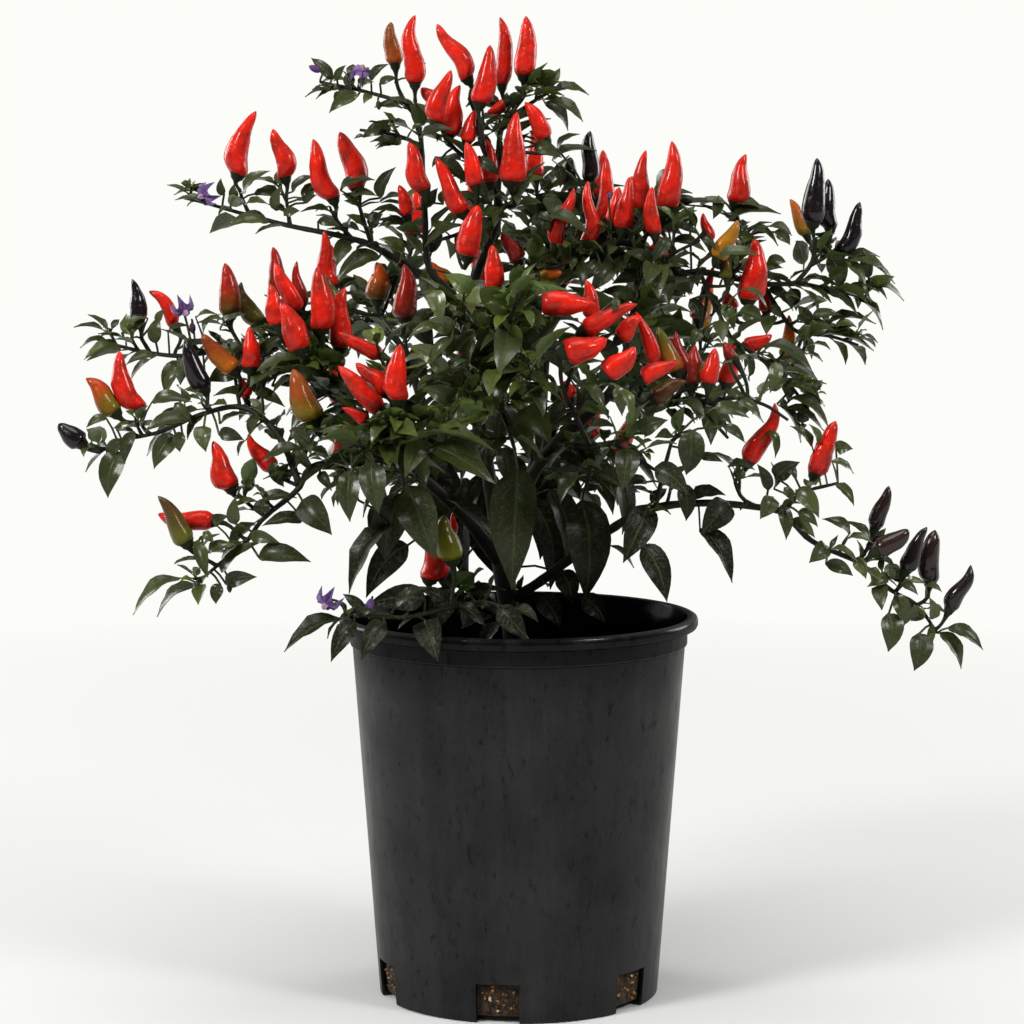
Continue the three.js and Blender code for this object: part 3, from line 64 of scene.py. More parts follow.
# Stems, by branch. Each has a route of (across, down, depth) points and its thickness at both ends, in mm.
stems = {
    "main_stem": [
        ([(519, 770, 0), (517, 668, 0), (508, 600, 0), (500, 545, 0)], 11, 9),
        ([(503, 565, 0), (470, 522, -12), (439, 492, -30), (420, 474, -42), (397, 440, -60)], 6.8, 4.2),
        ([(500, 548, 0), (488, 470, 5), (478, 400, 5), (465, 305, 0), (472, 287, -2), (497, 222, -5)], 7.4, 3.8),
        ([(506, 575, 0), (530, 480, -10), (560, 440, -22), (612, 390, -30), (630, 340, -22), (642, 255, -8)], 7, 3.6),
        ([(507, 580, 2), (525, 500, 30), (540, 430, 52), (545, 370, 64), (548, 330, 69)], 6.4, 3.6),
        ([(503, 560, 3), (455, 480, 32), (425, 410, 50), (405, 350, 60)], 6, 3.6),
    ],
    "branch_top": [
        ([(497, 224, -5), (498, 185, -8), (503, 125, -4), (525, 107, -2), (556, 88, 0)], 3.6, 1.4),
        ([(498, 195, -8), (484, 150, -18), (481, 121, -18)], 2.4, 1.8),
        ([(500, 160, -7), (511, 125, 5), (504, 102, 5)], 2.2, 1.8),
        ([(503, 128, -5), (520, 100, -6), (523, 94, -5)], 2.2, 1.8),
        ([(498, 190, -8), (470, 162, -14), (452, 146, -11), (441, 128, -18)], 2.4, 1.8),
        ([(484, 152, -18), (474, 110, -9), (469, 98, -8)], 2, 1.8),
        ([(498, 205, -7), (515, 205, -22), (512, 190, -29)], 2.4, 1.8),
        ([(498, 205, -7), (480, 215, -16), (462, 232, -20), (440, 240, -16)], 2.4, 1.6),
    ],
    "branch_top_left": [
        ([
            (466, 312, 0), (448, 290, -6), (430, 270, -8), (424, 200, -6), (417, 120, 3), (405, 105, 4),
            (370, 93, 10), (320, 82, 16),
        ], 3.8, 1.4),
        ([(418, 130, 3), (416, 112, 0), (415, 100, -1)], 2.2, 1.8),
        ([(408, 108, 4), (398, 88, 9), (396, 81, 9)], 2.2, 1.8),
        ([(420, 145, 0), (395, 135, -3), (360, 130, 0)], 2, 1.4),
        ([(426, 240, -7), (410, 228, 2), (396, 222, 7)], 2, 1.4),
    ],
    "branch_left_upper": [
        ([
            (469, 350, 4), (452, 310, 20), (426, 280, 23), (370, 245, 23), (340, 236, 22), (290, 226, 25),
            (240, 213, 31), (205, 203, 34), (184, 198, 34),
        ], 4.4, 1.4),
        ([(372, 246, 23), (364, 222, 23), (359, 205, 22)], 2.4, 1.8),
        ([(352, 239, 22), (338, 222, 22), (334, 215, 21)], 2.2, 1.8),
        ([(290, 226, 25), (287, 205, 27), (286, 195, 27)], 2.2, 1.6),
        ([(250, 216, 30), (242, 198, 32), (240, 191, 32)], 2.2, 1.6),
        ([(400, 263, 21), (392, 290, 25), (382, 315, 20)], 2.4, 1.8),
    ],
    "branch_left_inner": [
        ([
            (401, 449, -56), (375, 428, -49), (350, 408, -42), (323, 390, -36), (303, 374, -28), (290, 350, -20),
            (285, 325, -14),
        ], 4, 1.6),
        ([(345, 405, -41), (343, 380, -34), (341, 364, -30)], 2.4, 1.8),
        ([(323, 391, -36), (322, 360, -40), (321, 346, -39)], 2.4, 1.8),
        ([(293, 356, -22), (299, 338, -15), (301, 323, -10)], 2, 1.6),
        ([(310, 379, -31), (306, 372, -42), (302, 366, -47)], 2, 1.6),
        ([(345, 407, -42), (334, 432, -50), (321, 437, -56)], 2, 1.6),
    ],
    "branch_left_middle": [
        ([
            (305, 376, -29), (280, 364, -25), (240, 347, -18), (210, 352, -12), (181, 356, -6), (150, 353, 0),
            (123, 347, 2), (96, 339, 3),
        ], 3.4, 1.4),
        ([(242, 348, -18), (237, 340, -13), (232, 331, -8)], 2.2, 1.8),
        ([(268, 359, -23), (268, 350, -8), (261, 338, 1)], 2.2, 1.8),
        ([(150, 353, 0), (146, 346, 0), (141, 338, 0)], 2, 1.6),
    ],
    "branch_left_lower": [
        ([
            (408, 461, -51), (375, 458, -62), (340, 462, -64), (310, 468, -62), (299, 488, -60), (262, 520, -57),
            (247, 541, -56), (217, 566, -55), (197, 583, -55),
        ], 4, 1.4),
        ([(266, 517, -57), (252, 507, -54), (238, 494, -51)], 2, 1.6),
        ([(217, 566, -55), (209, 561, -58), (200, 557, -62)], 2, 1.6),
        ([(299, 486, -60), (285, 480, -52), (277, 476, -47)], 2, 1.6),
        ([(340, 462, -64), (352, 480, -70), (358, 500, -74)], 2, 1.4),
    ],
    "branch_left_arm": [
        ([
            (299, 484, -60), (287, 452, -54), (270, 425, -48), (240, 407, -40), (200, 415, -36), (160, 432, -34),
            (121, 441, -32), (100, 452, -30),
        ], 3.4, 1.4),
        ([(212, 412, -37), (209, 408, -36), (206, 402, -34)], 2, 1.6),
        ([(240, 407, -40), (237, 390, -28), (235, 377, -21)], 2, 1.6),
        ([(150, 434, -34), (145, 430, -32), (141, 423, -28)], 2, 1.6),
        ([(262, 421, -46), (262, 400, -24), (256, 374, -12)], 2, 1.6),
    ],
    "branch_front_left": [
        ([(398, 442, -59), (396, 432, -68), (397, 425, -78), (399, 417, -86)], 3.6, 1.8),
        ([(397, 434, -66), (425, 436, -82), (450, 430, -92)], 2.4, 1.4),
        ([(396, 430, -70), (393, 416, -66), (390, 407, -63)], 2.2, 1.8),
        ([(393, 412, -65), (392, 385, -52), (386, 369, -50)], 2, 1.6),
        ([(396, 430, -70), (390, 427, -72), (386, 422, -74)], 2.2, 1.6),
        ([(397, 434, -66), (400, 462, -76), (404, 485, -72)], 2.4, 1.6),
        ([(396, 430, -70), (372, 446, -80), (352, 455, -84)], 2.2, 1.4),
    ],
    "branch_front_center": [
        ([(480, 420, 4), (490, 390, -25), (500, 350, -60), (508, 325, -85), (515, 306, -100)], 4, 1.8),
        ([(500, 352, -58), (480, 332, -70), (462, 320, -80), (445, 312, -84)], 2.4, 1.4),
        ([(503, 340, -70), (501, 322, -60), (497, 306, -48)], 2.2, 1.8),
        ([(506, 332, -78), (516, 321, -80), (526, 310, -77)], 2.2, 1.8),
        ([(495, 372, -42), (480, 385, -62), (466, 395, -80)], 2.4, 1.4),
        ([(497, 362, -50), (515, 370, -72), (530, 380, -90)], 2.4, 1.4),
        ([(490, 392, -24), (505, 420, -44), (515, 450, -50)], 2.6, 1.6),
    ],
    "branch_front_right": [
        ([(556, 444, -20), (585, 447, -42), (610, 443, -65), (628, 439, -80)], 3.8, 1.8),
        ([(590, 447, -47), (575, 415, -66), (562, 385, -78), (560, 362, -86)], 2.6, 1.8),
        ([(576, 418, -65), (585, 395, -78), (600, 381, -85)], 2.2, 1.8),
        ([(565, 392, -75), (574, 362, -70), (580, 338, -79)], 2.2, 1.6),
        ([(612, 442, -67), (640, 460, -78), (655, 470, -82)], 2.2, 1.4),
        ([(585, 447, -42), (590, 470, -40), (585, 490, -30)], 2.4, 1.6),
    ],
    "branch_right_inner": [
        ([(608, 394, -30), (635, 404, -44), (665, 404, -55), (692, 398, -60), (712, 404, -62)], 3.8, 1.6),
        ([(640, 405, -46), (636, 400, -60), (630, 392, -75)], 2.2, 1.8),
        ([(668, 404, -56), (680, 392, -60), (692, 388, -58)], 2, 1.6),
        ([(635, 403, -44), (645, 385, -52), (655, 370, -61)], 2, 1.6),
        ([(692, 398, -62), (712, 420, -58), (728, 438, -54)], 2.2, 1.4),
        ([(705, 403, -62), (735, 398, -58), (765, 405, -54), (788, 420, -52)], 2.2, 1.4),
    ],
    "branch_crown": [
        ([(642, 258, -8), (638, 246, -12), (612, 244, -17), (588, 252, -18), (562, 254, -21)], 3.4, 1.6),
        ([(640, 250, -10), (650, 228, -4), (665, 214, -13)], 2.4, 1.8),
        ([(648, 236, -7), (646, 231, -6), (644, 225, -6)], 2, 1.6),
        ([(606, 246, -17), (607, 243, -9), (605, 239, -3)], 2, 1.6),
        ([(590, 251, -18), (592, 220, 8), (591, 199, 14)], 2.2, 1.6),
        ([(588, 252, -18), (568, 262, -30), (552, 268, -36), (535, 268, -38)], 2.2, 1.4),
        ([(640, 252, -10), (655, 262, -20), (680, 250, -26), (700, 240, -26)], 2.2, 1.4),
    ],
    "branch_right_upper": [
        ([
            (638, 294, -13), (665, 278, -10), (700, 272, -6), (735, 278, -2), (763, 284, 4), (800, 284, 12),
            (839, 291, 20), (866, 299, 26),
        ], 4, 1.4),
        ([(730, 277, -2), (742, 245, 11), (738, 220, 15)], 2.2, 1.8),
        ([(795, 284, 11), (812, 262, 13), (815, 240, 12)], 2.4, 1.8),
        ([(811, 265, 13), (823, 258, 21), (829, 244, 26)], 2, 1.8),
        ([(820, 288, 15), (835, 276, 21), (840, 261, 23)], 2, 1.6),
        ([(763, 284, 4), (780, 312, 3), (796, 331, 4), (830, 336, 10), (858, 345, 15)], 2.4, 1.4),
        ([(738, 278, -1), (728, 272, -15), (718, 267, -23)], 2, 1.6),
        ([(700, 272, -6), (712, 300, -19), (725, 325, -31), (735, 345, -38)], 2.2, 1.4),
        ([(733, 340, -36), (765, 362, -36), (790, 385, -34), (812, 415, -34)], 2.2, 1.4),
        ([(765, 362, -36), (785, 358, -30), (803, 352, -26)], 1.8, 1.2),
    ],
    "branch_right_arm": [
        ([
            (509, 602, 0), (542, 580, -8), (601, 536, -26), (646, 510, -36), (700, 503, -38), (757, 507, -38),
            (781, 512, -37), (812, 541, -34), (861, 564, -30), (891, 590, -27), (917, 605, -25), (937, 633, -24),
        ], 5, 1.6),
        ([(655, 508, -37), (666, 462, -56), (672, 440, -66)], 2.6, 1.6),
        ([(757, 507, -38), (742, 498, -40), (735, 482, -41)], 2.2, 1.8),
        ([(783, 514, -37), (800, 494, -43), (838, 483, -46)], 2.2, 1.4),
        ([(861, 564, -30), (869, 556, -25), (873, 544, -22)], 2, 1.6),
        ([(895, 592, -27), (902, 584, -28), (905, 578, -28)], 1.8, 1.6),
        ([(917, 605, -25), (923, 602, -24), (928, 597, -21)], 1.8, 1.6),
        ([(646, 510, -36), (648, 530, -46), (645, 545, -50)], 2.2, 1.4),
    ],
    "branch_rim_left": [
        ([
            (510, 618, 0), (490, 608, -28), (468, 604, -48), (440, 610, -66), (405, 617, -82), (370, 616, -92),
            (345, 614, -96),
        ], 3.6, 1.4),
        ([(470, 604, -47), (462, 592, -46), (456, 578, -45)], 2.2, 1.8),
        ([(443, 609, -65), (437, 604, -66), (432, 596, -65)], 2.2, 1.8),
        ([(470, 604, -47), (485, 602, -70), (500, 606, -88)], 2.2, 1.4),
    ],
    "branch_back_top": [
        ([(548, 333, 69), (550, 290, 75), (548, 250, 73), (540, 212, 61), (536, 188, 51)], 3.6, 1.6),
        ([(550, 290, 75), (590, 262, 82), (625, 245, 85)], 2.4, 1.6),
        ([(549, 275, 74), (515, 255, 85), (480, 245, 89)], 2.4, 1.6),
        ([(549, 260, 73), (572, 228, 59), (594, 212, 47)], 2.2, 1.6),
    ],
    "branch_back_right": [
        ([(540, 434, 52), (580, 410, 73), (620, 390, 90), (660, 372, 103), (700, 352, 112)], 3.8, 1.6),
        ([(620, 390, 90), (638, 350, 93), (648, 315, 91)], 2.4, 1.6),
        ([(655, 374, 101), (690, 392, 98), (722, 400, 93)], 2.4, 1.6),
    ],
    "branch_back_low": [
        ([(525, 503, 30), (545, 490, 60), (560, 478, 90), (575, 468, 115), (590, 455, 132)], 3.8, 1.6),
        ([(552, 485, 74), (585, 490, 85), (620, 480, 96)], 2.4, 1.6),
        ([(562, 477, 93), (540, 450, 106), (520, 430, 119)], 2.4, 1.6),
    ],
    "branch_back_left": [
        ([(406, 353, 60), (385, 326, 71), (365, 314, 80), (345, 308, 86), (332, 300, 90)], 3.6, 1.6),
        ([(388, 328, 70), (402, 285, 78), (412, 248, 80)], 2.4, 1.6),
        ([(372, 318, 77), (350, 330, 91), (330, 334, 102)], 2.2, 1.6),
    ],
    "branch_back_left_low": [
        ([(456, 483, 31), (425, 470, 62), (395, 455, 87), (365, 440, 104), (340, 420, 115)], 3.8, 1.6),
        ([(405, 460, 79), (430, 450, 104), (450, 435, 121)], 2.4, 1.6),
        ([(395, 455, 87), (370, 475, 93), (345, 485, 96)], 2.2, 1.6),
    ],
    "branch_back_center": [
        ([(544, 374, 64), (520, 350, 85), (500, 330, 102), (485, 310, 118)], 3.6, 1.6),
        ([(515, 346, 90), (540, 320, 104), (560, 300, 112)], 2.4, 1.6),
        ([(520, 350, 85), (490, 375, 101), (470, 390, 109)], 2.4, 1.6),
    ],
}

# Peppers, by the branch that bears them: colour, tip across and down, base across and down, width in the
# picture, depth, and 1 where the fruit has a node of its own.
peppers = {
    "branch_top": [
        ("red", 437, 24, 467, 78, 20, -8, 1), ("red", 490, 45, 480, 102, 23, -18, 1),
        ("red", 500, 17, 502, 84, 17, 5, 1), ("red", 526, 16, 524, 75, 22, -5, 1),
        ("red", 451, 70, 436, 121, 21, -22, 0), ("red", 460, 85, 449, 134, 20, -8, 0),
        ("red", 517, 112, 511, 181, 28, -30, 1), ("red", 525, 102, 545, 138, 18, -14, 0),
        ("red", 436, 158, 462, 212, 20, -20, 0), ("red", 466, 142, 475, 185, 18, -24, 0),
        ("red", 478, 205, 468, 256, 24, -35, 0), ("red", 475, 110, 467, 141, 16, -14, 0),
        ("red", 487, 113, 505, 104, 14, 0, 0), ("red", 486, 139, 490, 182, 18, -12, 0),
    ],
    "branch_top_left": [
        ("orange", 391, 22, 395, 63, 18, 10, 1), ("red", 415, 15, 415, 82, 20, -2, 1),
        ("red", 409, 142, 424, 190, 20, -16, 0), ("red", 399, 185, 407, 215, 16, 7, 0),
        ("orange", 428, 262, 448, 286, 20, 8, 0), ("red", 421, 88, 437, 103, 16, 2, 0),
    ],
    "branch_left_upper": [
        ("red", 256, 111, 238, 174, 25, 33, 1), ("red", 273, 129, 285, 177, 20, 27, 0),
        ("red", 313, 139, 333, 198, 21, 20, 1), ("red", 340, 132, 357, 187, 24, 21, 1),
        ("red", 324, 231, 333, 285, 18, 14, 0), ("orange", 377, 262, 377, 299, 24, 16, 0),
        ("darkred", 404, 264, 404, 317, 26, -7, 0),
    ],
    "branch_left_inner": [
        ("darkred", 273, 247, 276, 290, 17, -8, 0), ("red", 275, 263, 295, 311, 20, -24, 0),
        ("red", 281, 303, 300, 349, 25, -50, 0), ("darkred", 297, 261, 301, 307, 14, -8, 0),
        ("red", 318, 266, 320, 329, 25, -40, 1), ("red", 345, 288, 340, 347, 23, -28, 0),
        ("orange", 293, 369, 314, 419, 27, -58, 1), ("red", 270, 284, 278, 324, 18, -36, 0),
        ("olive", 326, 275, 334, 309, 14, -20, 0),
    ],
    "branch_left_middle": [
        ("black", 132, 279, 139, 320, 19, 0, 1), ("red", 149, 291, 174, 325, 16, 5, 0),
        ("darkred", 225, 263, 230, 314, 23, -5, 1), ("olive", 241, 282, 257, 323, 21, 4, 0),
        ("red", 240, 376, 246, 397, 12, -28, 0),
    ],
    "branch_left_arm": [
        ("orange", 202, 334, 233, 370, 22, -32, 0), ("red", 249, 327, 250, 367, 21, -34, 0),
        ("black", 185, 339, 204, 388, 21, -32, 1), ("red", 119, 351, 139, 408, 22, -25, 1),
        ("orange", 86, 378, 115, 412, 22, -27, 1), ("black", 58, 424, 81, 443, 21, -30, 1),
    ],
    "branch_left_lower": [
        ("red", 213, 441, 231, 487, 24, -49, 1), ("olive", 158, 496, 186, 542, 22, -65, 1),
        ("red", 158, 514, 212, 521, 20, -50, 0), ("red", 248, 434, 273, 469, 18, -45, 0),
    ],
    "branch_front_left": [
        ("red", 338, 332, 380, 355, 15, -50, 0), ("red", 356, 363, 386, 392, 20, -62, 0),
        ("red", 400, 344, 399, 400, 23, -88, 1), ("red", 338, 366, 379, 409, 20, -75, 0),
        ("red", 342, 408, 366, 420, 12, -66, 0),
    ],
    "branch_front_center": [
        ("red", 492, 245, 495, 289, 20, -45, 0), ("red", 595, 304, 542, 303, 24, -76, 1),
        ("darkred", 502, 233, 518, 261, 18, -20, 0), ("orange", 563, 272, 540, 275, 12, -30, 0),
    ],
    "branch_front_right": [
        ("red", 637, 304, 585, 330, 20, -80, 0), ("red", 607, 339, 566, 352, 26, -90, 1),
        ("red", 635, 347, 607, 374, 24, -88, 0), ("red", 586, 280, 592, 316, 17, -62, 0),
        ("red", 641, 316, 620, 338, 18, -70, 0), ("red", 566, 380, 570, 397, 16, -60, 0),
    ],
    "branch_right_inner": [
        ("red", 678, 361, 643, 379, 18, -82, 0), ("olive", 658, 327, 676, 370, 21, -60, 0),
        ("red", 636, 312, 655, 362, 15, -66, 0), ("olive", 687, 381, 654, 399, 20, -70, 0),
        ("darkred", 676, 331, 688, 382, 17, -45, 0), ("red", 715, 348, 709, 383, 19, -66, 0),
        ("darkred", 695, 345, 693, 383, 18, -58, 0), ("darkred", 724, 342, 735, 360, 13, -50, 0),
        ("red", 772, 335, 746, 346, 16, -30, 0),
    ],
    "branch_crown": [
        ("red", 607, 158, 601, 220, 18, 0, 0), ("red", 588, 181, 586, 243, 18, -15, 0),
        ("red", 574, 188, 556, 244, 18, -22, 0), ("red", 629, 177, 622, 228, 20, -20, 0),
        ("red", 646, 150, 642, 209, 19, -5, 0), ("red", 672, 141, 667, 207, 24, -15, 1),
        ("red", 652, 187, 655, 233, 16, -28, 0), ("black", 590, 131, 590, 180, 17, 15, 1),
        ("red", 619, 187, 614, 222, 18, -12, 0), ("red", 660, 236, 660, 259, 20, -14, 0),
        ("black", 570, 157, 572, 186, 19, 22, 0),
    ],
    "branch_right_upper": [
        ("red", 746, 154, 736, 202, 24, 15, 1), ("red", 755, 239, 748, 299, 27, -14, 1),
        ("orange", 738, 220, 718, 258, 19, -25, 0), ("black", 817, 158, 813, 222, 24, 12, 1),
        ("black", 828, 179, 830, 227, 20, 29, 0), ("black", 860, 202, 841, 253, 19, 23, 0),
        ("orange", 790, 199, 806, 234, 14, 27, 0), ("orange", 789, 315, 786, 356, 16, 13, 0),
        ("red", 703, 213, 709, 241, 13, 7, 0), ("red", 764, 289, 766, 311, 14, 9, 0),
        ("red", 714, 266, 704, 291, 9, -2, 0), ("red", 725, 290, 732, 310, 16, 9, 0),
        ("olive", 724, 255, 727, 278, 13, -21, 0), ("red", 698, 300, 698, 318, 18, 8, 0),
    ],
    "branch_right_arm": [
        ("red", 775, 403, 749, 461, 21, -40, 1), ("red", 836, 421, 815, 473, 21, -45, 1),
        ("black", 889, 486, 875, 527, 17, -20, 0), ("black", 909, 530, 878, 551, 20, -38, 0),
        ("black", 927, 527, 906, 570, 18, -29, 0), ("black", 935, 530, 930, 581, 21, -19, 0),
        ("black", 971, 565, 950, 608, 18, -25, 0), ("black", 880, 532, 868, 548, 7, -26, 0),
        ("olive", 912, 589, 903, 583, 7, -27, 0),
    ],
    "branch_rim_left": [
        ("olive", 444, 515, 452, 559, 26, -60, 1), ("red", 437, 526, 430, 578, 27, -48, 1),
        ("red", 453, 512, 453, 532, 8, -40, 0),
    ],
    "branch_back_top": [
        ("red", 531, 130, 536, 175, 20, 51, 0), ("red", 603, 150, 598, 196, 20, 47, 0),
        ("red", 632, 176, 626, 226, 21, 85, 0), ("red", 470, 178, 477, 227, 21, 89, 0),
        ("black", 562, 196, 560, 236, 19, 81, 0),
    ],
    "branch_back_right": [
        ("red", 655, 247, 648, 297, 21, 91, 0), ("orange", 712, 282, 702, 332, 21, 112, 0),
        ("red", 735, 337, 725, 382, 20, 93, 0), ("red", 672, 315, 664, 362, 20, 106, 0),
    ],
    "branch_back_low": [
        ("red", 598, 389, 591, 436, 21, 132, 0), ("red", 632, 413, 622, 460, 21, 96, 0),
        ("olive", 515, 366, 519, 411, 20, 119, 0),
    ],
    "branch_back_left": [
        ("red", 326, 241, 330, 288, 20, 90, 0), ("red", 416, 186, 412, 234, 21, 80, 0),
        ("black", 323, 276, 328, 320, 19, 103, 0),
    ],
    "branch_back_left_low": [
        ("red", 331, 351, 338, 401, 21, 115, 0), ("orange", 456, 369, 451, 416, 20, 122, 0),
        ("darkred", 335, 426, 341, 470, 19, 96, 0),
    ],
    "branch_back_center": [
        ("red", 480, 242, 484, 292, 22, 118, 0), ("red", 568, 236, 561, 284, 21, 112, 0),
        ("darkred", 460, 330, 468, 373, 19, 109, 0),
    ],
}

